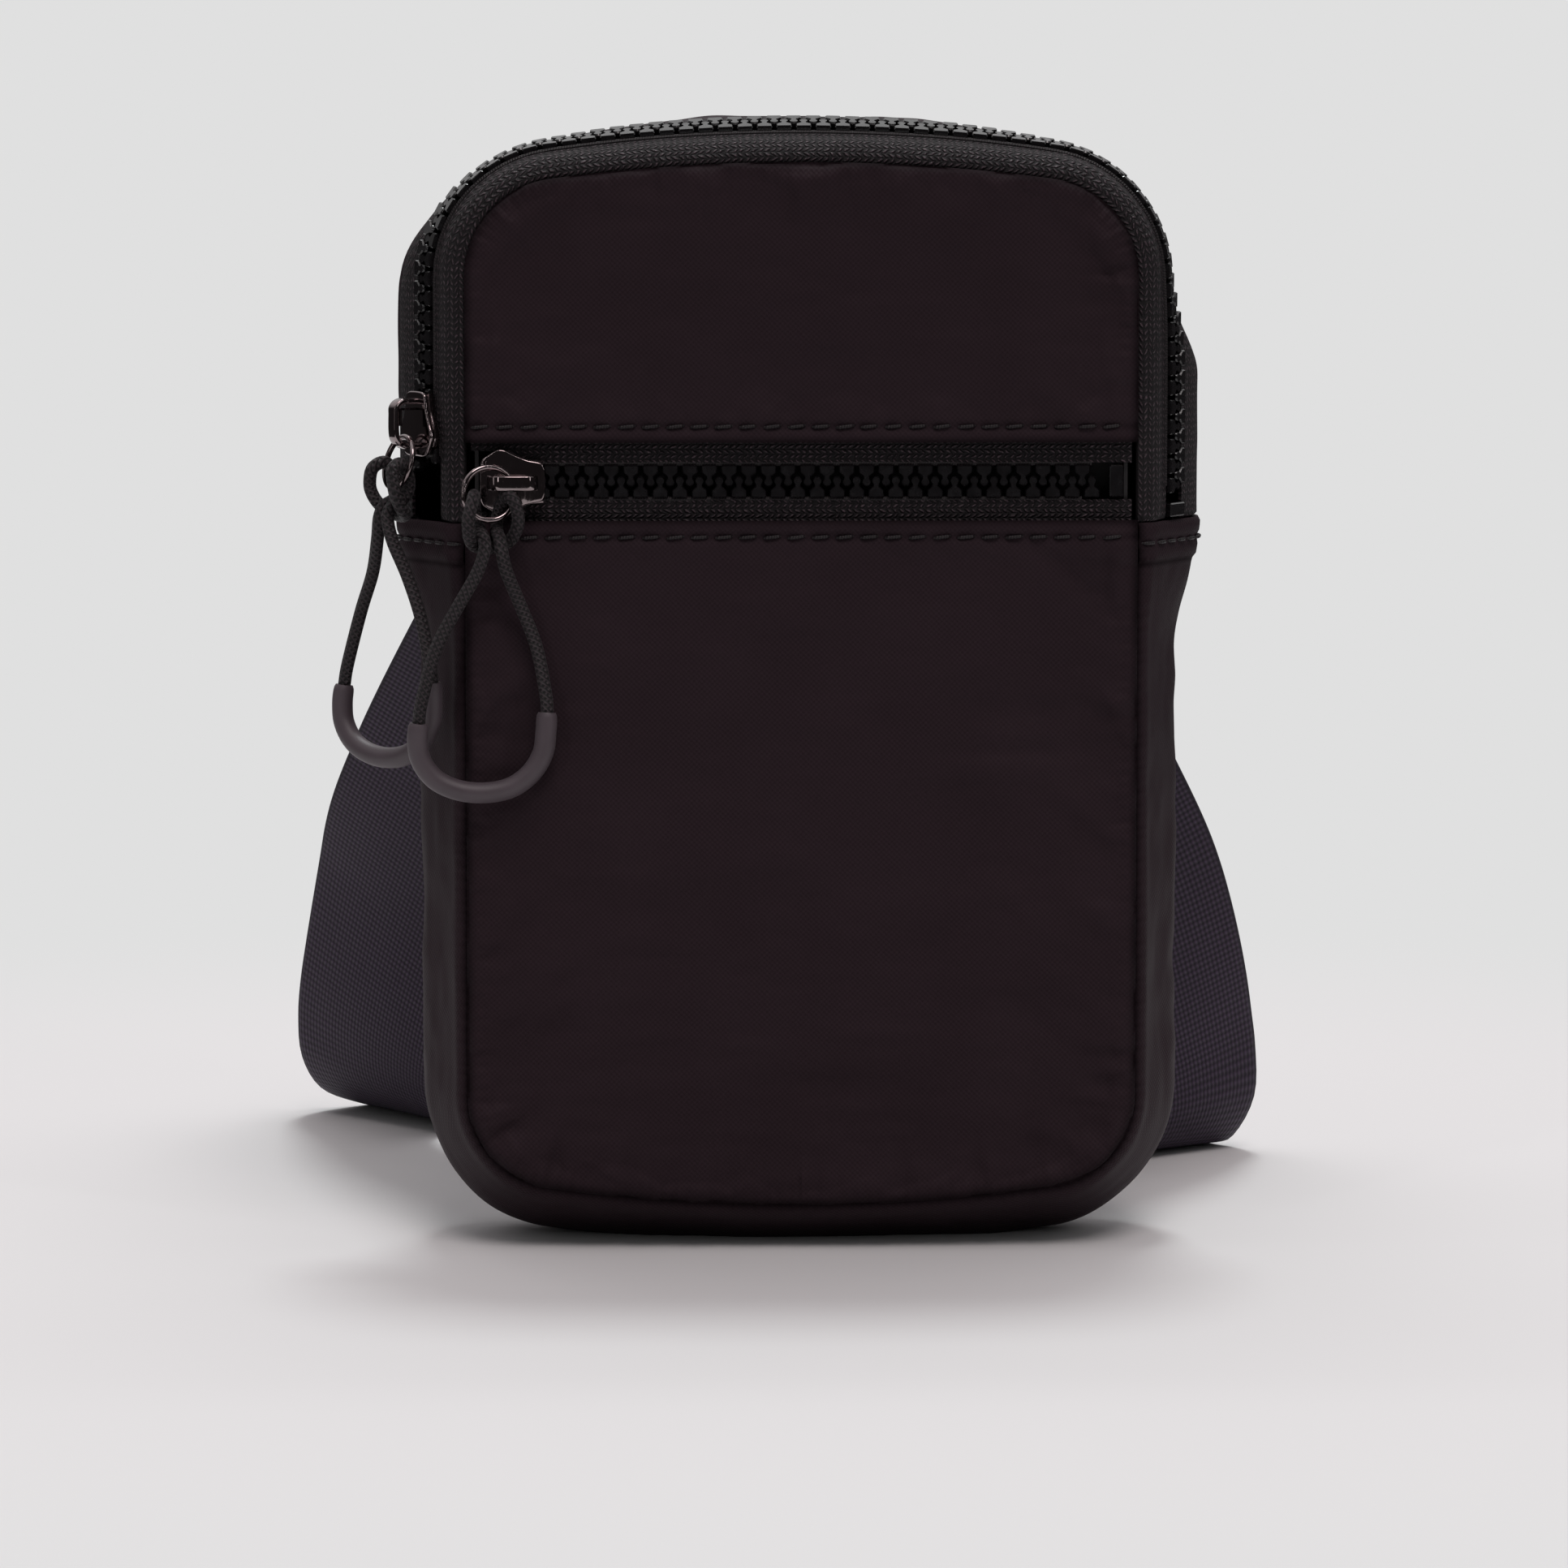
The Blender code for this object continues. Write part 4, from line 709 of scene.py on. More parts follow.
def mesh_of(name: str, points: np.ndarray, faces: Iterable, metres: Optional[np.ndarray] = None) -> bpy.types.Mesh:
    """A mesh from points and faces, with the cloth's metres as its UV.

    Args:
        name: The mesh's name.
        points: Places as rows.
        faces: Point numbers of each face.
        metres: For each face corner, metres along and across the cloth.

    Returns:
        The mesh, its faces turned outwards.
    """
    mesh = bpy.data.meshes.new(name)
    mesh.from_pydata(np.asarray(points, float).tolist(), [], [tuple(int(i) for i in f) for f in faces])
    if metres is not None:
        layer = mesh.uv_layers.new(name="metres")
        layer.data.foreach_set("uv", np.asarray(metres, np.float32).ravel())
    work = bmesh.new()
    work.from_mesh(mesh)
    bmesh.ops.recalc_face_normals(work, faces=work.faces)
    work.to_mesh(mesh)
    work.free()
    return mesh


def grid_faces(rows: int, columns: int, first: int = 0) -> np.ndarray:
    """Quads of a grid of points, whose first point has the number first.

    Args:
        rows: How many rows of points.
        columns: How many points in a row.
        first: The first point's number.

    Returns:
        Four point numbers for each face.
    """
    number = np.arange(rows * columns).reshape(rows, columns) + first
    corners = [number[:-1, :-1], number[:-1, 1:], number[1:, 1:], number[1:, :-1]]
    return np.stack(corners, axis=-1).reshape(-1, 4)


def tube_faces(rings: int, count: int, closed: bool = False) -> list:
    """Faces from ring to ring of points, with a cap at each end unless the tube closes on itself.

    Args:
        rings: How many rings.
        count: Points in a ring.
        closed: Whether the last ring joins the first.

    Returns:
        Point numbers of each face.
    """
    number = np.arange(rings * count).reshape(rings, count)
    here = number if closed else number[:-1]
    there = np.roll(number, -1, 0) if closed else number[1:]
    quads = np.stack([here, np.roll(here, -1, 1), np.roll(there, -1, 1), there], axis=-1).reshape(-1, 4)
    return [tuple(f) for f in quads] + ([] if closed else [tuple(number[0][::-1]), tuple(number[-1])])


def cloth_body(
    name: str, outer: np.ndarray, inner: np.ndarray, metres: np.ndarray, finish: Finish, painted_shade: np.ndarray | float = 0.0
) -> bpy.types.Object:
    """A sheet of cloth with its real thickness: an outer and an inner skin joined round the border.

    Args:
        name: The object's name.
        outer: Outer skin as a grid of places.
        inner: Inner skin, the same grid.
        metres: For each grid point, metres along and across the cloth.
        finish: Its finish.
        painted_shade: For each grid point, how much painted shade it gets where it lies in the seams or folds, 0 to 1.

    Returns:
        The object.
    """
    rows, columns = outer.shape[:2]
    count = rows * columns
    number = np.arange(count).reshape(rows, columns)
    front = grid_faces(rows, columns)
    back = grid_faces(rows, columns, count)[:, ::-1]
    ring = np.concatenate([number[0, :-1], number[:-1, -1], number[-1, :0:-1], number[:0:-1, 0]])
    after = np.roll(ring, -1)
    faces = np.concatenate([front, back, np.stack([after, ring, ring + count, after + count], axis=-1)])
    uv = np.concatenate([metres.reshape(-1, 2)] * 2)[faces.reshape(-1)]
    mesh = mesh_of(name, np.concatenate([outer.reshape(-1, 3), inner.reshape(-1, 3)]), faces, uv)
    # painted shade: the mask goes on both skins as a point attribute, which the nylon's shader reads
    depth = np.broadcast_to(np.asarray(painted_shade, np.float32), (rows, columns))
    mesh.attributes.new("painted_shade", "FLOAT", "POINT").data.foreach_set("value", np.tile(depth.ravel(), 2))
    return new_object(name, mesh, finish, 55.0)


def frames_along(path: np.ndarray, closed: bool, first: Optional[Sequence[float]] = None) -> tuple:
    """Frames along a path that turn as little as possible.

    Args:
        path: Places as rows.
        closed: Whether the path joins its own start.
        first: Wanted direction across at the start.

    Returns:
        Directions across and up, as rows.
    """
    along = unit(np.roll(path, -1, 0) - np.roll(path, 1, 0) if closed else np.gradient(path, axis=0))
    across = np.zeros_like(path)
    now = np.asarray(Vector(along[0]).orthogonal() if first is None else first, float)
    for i, direction in enumerate(along):
        now = now - direction * now.dot(direction)
        now = across[i] = now / np.linalg.norm(now)
    if closed:
        # spread the leftover turn over the loop, so that it closes without a step
        last = across[-1] - along[0] * across[-1].dot(along[0])
        last = last / np.linalg.norm(last)
        turn = math.atan2(np.cross(last, across[0]).dot(along[0]), float(last.dot(across[0])))
        angles = turn * np.arange(len(path))[:, None] / len(path)
        across = across * np.cos(angles) + np.cross(along, across) * np.sin(angles)
    return across, np.cross(along, across)


def sweep(
    name: str,
    path: np.ndarray,
    profile: np.ndarray,
    finish: Finish,
    closed: bool = False,
    first: Optional[Sequence[float]] = None,
    scales: np.ndarray | float = 1.0,
    angle: float = 40.0,
) -> bpy.types.Object:
    """Sweeps a closed profile along a path.

    Args:
        name: The object's name.
        path: Places as rows.
        profile: The profile's points, across and up, in order round it.
        finish: Its finish.
        closed: Whether the path joins its own start.
        first: Wanted direction of the profile's across at the start.
        scales: The profile's size, everywhere or at each place.
        angle: Edges sharper than this stay sharp, in degrees.

    Returns:
        The object.
    """
    across, up = frames_along(path, closed, first)
    sizes = np.broadcast_to(scales, len(path))[:, None, None]
    wide, tall = profile[None, :, :1] * sizes, profile[None, :, 1:] * sizes
    rings = path[:, None] + across[:, None] * wide + up[:, None] * tall
    count = len(profile)
    length = run_of(np.concatenate([path, path[:1] if closed else path[-1:]]))
    girth = run_of(np.concatenate([profile, profile[:1]]))
    i, j = np.meshgrid(np.arange(len(path) if closed else len(path) - 1), np.arange(count), indexing="ij")
    corners = [np.stack([length[i + a], girth[j + b]], -1) for a, b in ((0, 0), (0, 1), (1, 1), (1, 0))]
    uv = np.stack(corners, axis=2).reshape(-1, 2)
    if not closed:
        uv = np.concatenate([uv, profile, profile])
    mesh = mesh_of(name, rings.reshape(-1, 3), tube_faces(len(path), count, closed), uv)
    return new_object(name, mesh, finish, angle)


def circle(radius: float, sides: int) -> np.ndarray:
    """A round profile with a radius in metres and a number of sides."""
    turn = np.linspace(0, 2 * math.pi, sides, endpoint=False)
    return np.stack([np.cos(turn), np.sin(turn)], -1) * radius


def rounded_box(width: float, height: float, radius: float, steps: int) -> np.ndarray:
    """A rectangular profile with round corners.

    Args:
        width: Full width in metres.
        height: Full height in metres.
        radius: Corner radius in metres.
        steps: Points on each corner, less one.

    Returns:
        The points.
    """
    points = []
    for sx, sy, start in ((1, 1, 0.0), (-1, 1, 0.5), (-1, -1, 1.0), (1, -1, 1.5)):
        for t in math.pi * (start + 0.5 * np.arange(steps + 1) / steps):
            x, y = sx * (width / 2 - radius), sy * (height / 2 - radius)
            points.append((x + radius * math.cos(t), y + radius * math.sin(t)))
    return np.array(points)


def plate(
    name: str, outline: np.ndarray, low: float, high: float, place: Matrix, bevel: float, finish: Finish
) -> bpy.types.Object:
    """A flat plate with softly bevelled edges.

    Args:
        name: The object's name.
        outline: The plate's outline along and across.
        low: Lower level in metres.
        high: Upper level in metres.
        place: Where the plate's axes lie.
        bevel: Edge radius in metres.
        finish: Its finish.

    Returns:
        The object.
    """
    count = len(outline)
    points = [place @ Vector((a, b, level)) for level in (low, high) for a, b in outline]
    faces = [tuple(range(count)), tuple(range(count, 2 * count))]
    faces += [(j, (j + 1) % count, count + (j + 1) % count, count + j) for j in range(count)]
    piece = new_object(name, mesh_of(name, np.array(points), faces), finish, 30.0)
    edge = piece.modifiers.new("bevel", "BEVEL")
    edge.width, edge.segments, edge.limit_method, edge.angle_limit = bevel, 3, "ANGLE", math.radians(35)
    flat = piece.data
    bpy.context.view_layer.update()
    mesh = bpy.data.meshes.new_from_object(piece.evaluated_get(bpy.context.evaluated_depsgraph_get()))
    piece.modifiers.clear()
    piece.data = mesh
    bpy.data.meshes.remove(flat)
    return piece


def ring_body(name: str, levels: Sequence[np.ndarray], finish: Finish) -> bpy.types.Object:
    """A closed body through rings of equally many points.

    Args:
        name: The object's name.
        levels: The rings.
        finish: Its finish.

    Returns:
        The object.
    """
    faces = tube_faces(len(levels), len(levels[0]))
    points = np.concatenate(levels)
    uv = np.array([points[i][[0, 2]] for f in faces for i in f])
    return new_object(name, mesh_of(name, points, faces, uv), finish, 50.0)


def joined(name: str, parts: Sequence[bpy.types.Object]) -> bpy.types.Object:
    """Makes one object of several, with all their materials.

    Args:
        name: The new object's name.
        parts: The objects, each of one material, which are used up.

    Returns:
        The joined object.
    """
    work = bmesh.new()
    finishes: list = []
    for part in parts:
        coat = part.data.materials[0]
        if coat not in finishes:
            finishes.append(coat)
        first = len(work.faces)
        work.from_mesh(part.data)
        work.faces.ensure_lookup_table()
        for face in work.faces[first:]:
            face.material_index = finishes.index(coat)
    mesh = bpy.data.meshes.new(name)
    work.to_mesh(mesh)
    work.free()
    for coat in finishes:
        mesh.materials.append(coat)
    for part in parts:
        bpy.data.objects.remove(part)
    return linked(name, mesh)


def put_on(piece: bpy.types.Object, body: str, slot: str, *replaced: str) -> bpy.types.Object:
    """Fastens a piece to its CAD body.

    Args:
        piece: The object.
        body: The CAD body that it rides on.
        slot: The record's material slot; not used.
        replaced: CAD nodes that it stands for.

    Returns:
        The same object.
    """
    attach(piece, body)
    if replaced:
        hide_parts(*replaced)
    return piece


# ---------------------------------------------------------------- the pouch's shape, as the CAD has it

@dataclass(frozen=True)
class PouchShape:
    """The pouch's seam outline and side wall, the same as the CAD's."""

    width: float = 108.4 * MM
    low: float = 7.4 * MM
    high: float = 176.4 * MM
    corner_top: float = 16.0 * MM
    corner_bottom: float = 15.0 * MM
    crown_top: float = 4.8 * MM
    crown_bottom: float = 5.0 * MM
    depth: float = 34.0 * MM
    panel: float = 1.8 * MM
    gap: float = 0.3 * MM
    hem: float = 118.7 * MM
    waist: float = 96.7 * MM
    lower_bulge: float = 0.68
    bottom_swell: float = 0.17
    pull_top: float = 132.0
    pull_drop: float = 42.8 * MM
    run_drop: float = 25.2 * MM
    pull_rise: float = 26.0 * MM
    pull_corner: float = 58.0
    corner_reach: float = 19.0 * MM
    corner_inset: float = 4.7 * MM
    corner_drop: float = 7.6 * MM
    seam_angle: float = math.radians(62.0)
    chain_angle: float = math.radians(30.0)
    roll: float = 5.0 * MM
    flat: float = 11.6 * MM
    zip_level: float = 125.2 * MM
    mouth: float = 12.6 * MM
    hem_lap: float = 2.6 * MM

    @property
    def half(self) -> float:
        """Half the seam's width."""
        return self.width / 2

    @property
    def face(self) -> float:
        """How far forward the front panels' CAD faces stand."""
        return self.depth / 2 + self.gap + self.panel

    def outline(self, spacing: float) -> np.ndarray:
        """The closed seam line from the bottom middle over the right side, evenly spaced.

        Args:
            spacing: Wanted distance between points, in metres.

        Returns:
            Rows of x, 0, z and the outward normal's x and z.
        """
        right = []
        for sign, level, radius, crown in (
            (-1, self.low, self.corner_bottom, self.crown_bottom),
            (1, self.high, self.corner_top, self.crown_top),
        ):
            slope = 0.0
            for _ in range(4):
                join = self.half - radius + radius * math.sin(slope)
                slope = math.atan(2 * crown * join / self.half**2)
            centre = level - sign * crown * (join / self.half) ** 2 - sign * radius * math.cos(slope)
            edge = []
            for x in np.linspace(0, join, 40, endpoint=False):
                lean = math.atan(2 * crown * x / self.half**2)
                height = level - sign * crown * (x / self.half) ** 2
                edge.append((x, 0.0, height, math.sin(lean), sign * math.cos(lean)))
            for turn in np.linspace(math.pi / 2 - slope, 0, 25):
                c, s = math.cos(turn), math.sin(turn) * sign
                edge.append((self.half - radius * (1 - c), 0.0, centre + radius * s, c, s))
            right += edge if sign < 0 else edge[::-1]
        left = [(-x, y, z, -nx, nz) for x, y, z, nx, nz in reversed(right[1:-1])]
        found = resample(np.array(right + left + right[:1]), spacing)
        found[:, 3:] = unit(found[:, 3:])
        return found

    def above(self, height: float, spacing: float) -> np.ndarray:
        """The seam line from a height on the right over the top to the same height on the left.

        Args:
            height: The lowest place.
            spacing: Wanted distance between points, in metres.

        Returns:
            Rows as from outline().
        """
        whole = self.outline(spacing / 2)
        return self._ended(whole[whole[:, 2] > height + spacing / 2], 1, height, spacing)

    def below(self, height: float, spacing: float) -> np.ndarray:
        """The seam line from a height on the left round the bottom to the same height on the right.

        Args:
            height: The highest place.
            spacing: Wanted distance between points, in metres.

        Returns:
            Rows as from outline().
        """
        whole = self.outline(spacing / 2)[:-1]
        whole = np.roll(whole, -int(np.argmax(whole[:, 2])), 0)
        return self._ended(whole[whole[:, 2] < height - spacing / 2], -1, height, spacing)

    def _ended(self, kept: np.ndarray, side: int, height: float, spacing: float) -> np.ndarray:
        """Ends a part of the seam line level on both sides.

        Args:
            kept: The part's rows.
            side: 1 where it starts on the right, -1 on the left.
            height: The level of its ends.
            spacing: Wanted distance between points, in metres.

        Returns:
            Evenly spaced rows.
        """
        first, last = ([s * self.half, 0.0, height, s, 0.0] for s in (side, -side))
        return resample(np.array([first, *kept.tolist(), last]), spacing)

    def _bend(self, start: np.ndarray, first: float, last: float, share: np.ndarray, whole: float) -> np.ndarray:
        """Places along an arc whose direction turns evenly.

        Args:
            start: The arc's start, out and back.
            first: Direction at its start, from straight back.
            last: Direction at its end.
            share: How far along, 0 to 1.
            whole: The arc's length.

        Returns:
            Rows of out and back.
        """
        now = first + (last - first) * share
        mean, half_turn = (first + now) / 2, (first - now) / 2
        chord = share * whole * np.sinc(half_turn / math.pi)
        return start + np.stack([np.sin(mean), np.cos(mean)], -1) * chord[..., None]

    @cached_property
    def _plan(self) -> tuple:
        """The free section's first three corners, how far its back part turns, and that part's length."""
        start = np.array([0.0, -self.depth / 2])
        rolled = self._bend(start, self.seam_angle, self.chain_angle, np.ones(1), self.roll)[0]
        ended = rolled + np.array([math.sin(self.chain_angle), math.cos(self.chain_angle)]) * self.flat
        chord = np.array([0.0, self.depth / 2]) - ended
        turn = 2 * (self.chain_angle - math.atan2(chord[0], chord[1]))
        return start, rolled, ended, turn, float(np.linalg.norm(chord)) / (2 * math.sin(turn / 2)) * turn

    @property
    def wall_length(self) -> float:
        """The wall's length from the front seam to the back seam."""
        return self.roll + self.flat + self._plan[-1]

    def section(self, arcs: np.ndarray) -> tuple:
        """The side wall's free section.

        Args:
            arcs: Distances along the wall from the front seam.

        Returns:
            Arrays of out, back and direction.
        """
        arcs = np.asarray(arcs, float)
        start, rolled, ended, turn, length = self._plan
        in_roll = np.clip(arcs / self.roll, 0, 1)
        front = self._bend(start, self.seam_angle, self.chain_angle, in_roll, self.roll)
        middle = rolled + (ended - rolled) * np.clip((arcs - self.roll) / self.flat, 0, 1)[..., None]
        part = np.clip((arcs - self.roll - self.flat) / length, 0, 1)
        back = self._bend(ended, self.chain_angle, self.chain_angle - turn, part, length)
        in_front, in_back = arcs <= self.roll, arcs > self.roll + self.flat
        place = np.where(in_front[..., None], front, np.where(in_back[..., None], back, middle))
        angle = self.seam_angle + (self.chain_angle - self.seam_angle) * in_roll - turn * part
        return place[..., 0], place[..., 1], angle

    def drawn_in(self, out: np.ndarray, stations: np.ndarray) -> tuple:
        """How far the wall stands out where the zip and the lower gusset draw it in.

        Args:
            out: How far it would stand out freely.
            stations: Seam line rows that match it.

        Returns:
            The distance, and how much of its slope is left.
        """
        x, z, nz = stations[..., 0], stations[..., 2], stations[..., 4]
        bulge = self.lower_bulge + (1 - self.lower_bulge) * smooth_step((z - self.waist) / (self.hem - self.waist))
        bulge = bulge + self.bottom_swell * np.maximum(-nz, 0.0) ** 4
        drop = np.where(x < 0, self.run_drop, self.pull_drop)
        above = smooth_step((z - self.high + drop) / self.pull_rise)
        inset, under = np.abs(x) - self.half + self.corner_inset, z - self.high + self.corner_drop
        pull = self.pull_top * above + self.pull_corner * bump(np.hypot(inset, under), self.corner_reach)
        free = out * bulge
        held = (np.maximum(free, 0.0) * pull) ** 4
        return free / (1 + held) ** 0.25, bulge / (1 + held) ** 1.25

    def wall(self, stations: np.ndarray, arcs: np.ndarray, lift: np.ndarray | float, floor: float = 0.0) -> np.ndarray:
        """Places on the side wall.

        Args:
            stations: Seam line rows.
            arcs: Distances from the front seam, one row for all stations or one for each.
            lift: How far off the wall, along its own normal.
            floor: The lowest height.

        Returns:
            A grid of places, stations by arcs.
        """
        arcs = np.broadcast_to(arcs, (len(stations), np.shape(arcs)[-1]))
        out, back, angle = self.section(arcs)
        out, share = self.drawn_in(out, stations[:, None, :])
        lean = np.arctan(np.tan(angle) * share)
        out = out + lift * np.cos(lean)
        x, z = (stations[:, None, a] + stations[:, None, b] * out for a, b in ((0, 3), (2, 4)))
        return np.stack([x, back - lift * np.sin(lean), np.maximum(z, floor)], -1)

    def tucked(self, stations: np.ndarray) -> np.ndarray:
        """How far the zip's side of the wall dips where it runs on under the hem and is sewn."""
        return smooth_step((self.hem + 0.4 * MM - stations[:, 2]) / (1.1 * MM))[:, None] * 1.5 * MM


SHAPE = PouchShape()


# ---------------------------------------------------------------- repeated small shapes

class Scatter:
    """Geometry Nodes tree that puts one item on every point of a mesh, turned by two of its attributes."""

    SOCKETS = {
        "Points": "Geometry", "Item": "Object", "Size": "Float", "Jitter": "Float", "Seed": "Int", "Finish": "Material",
    }

    def __init__(self) -> None:
        """Builds the tree once."""
        tree = self.tree = bpy.data.node_groups.new("scatter_item", "GeometryNodeTree")
        self.ids = {}
        for name, kind in self.SOCKETS.items():
            made = tree.interface.new_socket(name, in_out="INPUT", socket_type="NodeSocket" + kind)
            self.ids[name] = made.identifier
        tree.interface.new_socket("Result", in_out="OUTPUT", socket_type="NodeSocketGeometry")
        node = partial(add_node, tree)
        given = node("NodeGroupInput").node.outputs
        read = partial(node, "GeometryNodeInputNamedAttribute", out="Attribute", data_type="FLOAT_VECTOR")
        ways = [read(named={"Name": name}) for name in ("along", "out")]
        axes = node("FunctionNodeAxesToRotation", *ways, primary_axis="X", secondary_axis="Z")
        reach = {"Min": node("Math MULTIPLY", given["Jitter"], -1.0), "Max": given["Jitter"], "Seed": given["Seed"]}
        jitter = node("FunctionNodeRandomValue", named=reach, data_type="FLOAT_VECTOR")
        lean = node("FunctionNodeEulerToRotation", jitter)
        turned = node("FunctionNodeRotateRotation", axes, lean, rotation_space="LOCAL")
        item = node("GeometryNodeObjectInfo", given["Item"], out="Geometry")
        placed = {"Points": given["Points"], "Instance": item, "Rotation": turned, "Scale": given["Size"]}
        real = node("GeometryNodeRealizeInstances", node("GeometryNodeInstanceOnPoints", named=placed))
        coat = node("GeometryNodeSetMaterial", named={"Geometry": real, "Material": given["Finish"]})
        node("NodeGroupOutput", coat)

    def spread(
        self,
        name: str,
        item: bpy.types.Object,
        points: np.ndarray,
        along: np.ndarray,
        out: np.ndarray,
        finish: Finish,
        jitter: float,
        angle: float,
    ) -> bpy.types.Object:
        """Puts the item on each point and makes the result a plain object.

        Args:
            name: The object's name.
            item: The shape to repeat, its X along and its Z outwards.
            points: Places as rows.
            along: Each item's X direction.
            out: Each item's Z direction.
            finish: The items' finish.
            jitter: Most that an item is turned at random, in radians.
            angle: Edges sharper than this stay sharp, in degrees.

        Returns:
            The object.
        """
        base = bpy.data.meshes.new(name + "_points")
        base.from_pydata(np.asarray(points, float).tolist(), [], [])
        for key, value in (("along", along), ("out", out)):
            layer = base.attributes.new(key, "FLOAT_VECTOR", "POINT")
            layer.data.foreach_set("vector", np.asarray(value, np.float32).ravel())
        holder = linked(name + "_holder", base)
        made = holder.modifiers.new("scatter", "NODES")
        made.node_group = self.tree
        values = {"Item": item, "Size": 1.0, "Jitter": jitter, "Seed": SEED, "Finish": finish.material()}
        for key, value in values.items():
            made[self.ids[key]] = value
        base.update()
        bpy.context.view_layer.update()
        mesh = bpy.data.meshes.new_from_object(holder.evaluated_get(bpy.context.evaluated_depsgraph_get()))
        mesh.name = name
        bpy.data.objects.remove(holder)
        return new_object(name, mesh, finish, angle)


# ---------------------------------------------------------------- panels

def distance_to(border: np.ndarray, places: np.ndarray) -> np.ndarray:
    """Distance of each place in a grid of x, z to a closed border line.

    Args:
        border: The line's points.
        places: The places.

    Returns:
        The distances.
    """
    flat = places.reshape(-1, 2)
    best = np.full(len(flat), 1.0)
    for start, step in zip(border, np.roll(border, -1, 0) - border):
        t = np.clip(((flat - start) @ step) / max(step @ step, 1e-12), 0, 1)
        best = np.minimum(best, np.linalg.norm(flat - start - t[:, None] * step, axis=1))
    return best.reshape(places.shape[:2])


def grid_in(border: np.ndarray, corners: Sequence[int], rows: int, columns: int) -> np.ndarray:
    """Maps a square grid onto a closed border.

    Args:
        border: The border as rows of x, z.
        corners: Border point numbers of the grid's four corners, in order round it.
        rows: Grid rows, along the second and fourth side.
        columns: Grid columns.

    Returns:
        The grid of x, z.
    """
    sides = []
    for first, last, count in zip(corners, [*corners[1:], corners[0]], (columns, rows, columns, rows)):
        run = border[(first + np.arange((last - first) % len(border) + 1)) % len(border)]
        length = run_of(run)
        sides.append(at_run(run, length, np.linspace(0, length[-1], count)))
    bottom, right, top, left = sides[0], sides[1], sides[2][::-1], sides[3][::-1]
    u = np.linspace(0, 1, columns)[None, :, None]
    v = np.linspace(0, 1, rows)[:, None, None]
    return (
        (1 - v) * bottom[None] + v * top[None] + (1 - u) * left[:, None] + u * right[:, None]
        - (1 - u) * (1 - v) * bottom[0] - u * (1 - v) * bottom[-1] - (1 - u) * v * top[0] - u * v * top[-1]
    )


@dataclass(frozen=True)
class ClothFill:
    """The cloth simulation that fills a panel's sheet, held round its border, with its foam's push."""

    pressure: float
    grow: float = 0.012
    cap: float = 1.6 * MM
    frames: int = 20

    SETTINGS = {
        "quality": 6, "mass": 0.15, "tension_stiffness": 12, "compression_stiffness": 12, "shear_stiffness": 3,
        "bending_stiffness": 0.25, "vertex_group_mass": "border", "use_pressure": True,
    }

    def run(self, base: np.ndarray) -> np.ndarray:
        """Fills the sheet.

        Args:
            base: The start, as a grid of places.

        Returns:
            How far each point moved.
        """
        rows, columns = base.shape[:2]
        mesh = bpy.data.meshes.new("panel_cloth")
        mesh.from_pydata(base.reshape(-1, 3).tolist(), [], grid_faces(rows, columns)[:, ::-1].tolist())
        sheet = linked("panel_cloth", mesh)
        number = np.arange(rows * columns).reshape(rows, columns)
        edge = np.unique(np.concatenate([number[0], number[-1], number[:, 0], number[:, -1]]))
        sheet.vertex_groups.new(name="border").add([int(i) for i in edge], 1.0, "REPLACE")
        cloth = sheet.modifiers.new("cloth", "CLOTH")
        for name, value in self.SETTINGS.items():
            setattr(cloth.settings, name, value)
        cloth.settings.shrink_min = -self.grow
        cloth.settings.uniform_pressure_force = self.pressure
        cloth.settings.effector_weights.gravity = 0.0
        cloth.collision_settings.use_collision = False
        cloth.point_cache.frame_start = 1
        cloth.point_cache.frame_end = self.frames
        scene = bpy.context.scene
        for number in range(1, self.frames + 1):
            scene.frame_set(number)
        solid = sheet.evaluated_get(bpy.context.evaluated_depsgraph_get())
        found = np.zeros(rows * columns * 3, np.float32)
        solid.data.vertices.foreach_get("co", found)
        scene.frame_set(1)
        bpy.data.objects.remove(sheet)
        moved = found.reshape(rows, columns, 3).astype(float) - base
        size = np.linalg.norm(moved, axis=-1, keepdims=True)
        return moved * np.minimum(1.0, self.cap / np.maximum(size, 1e-9))


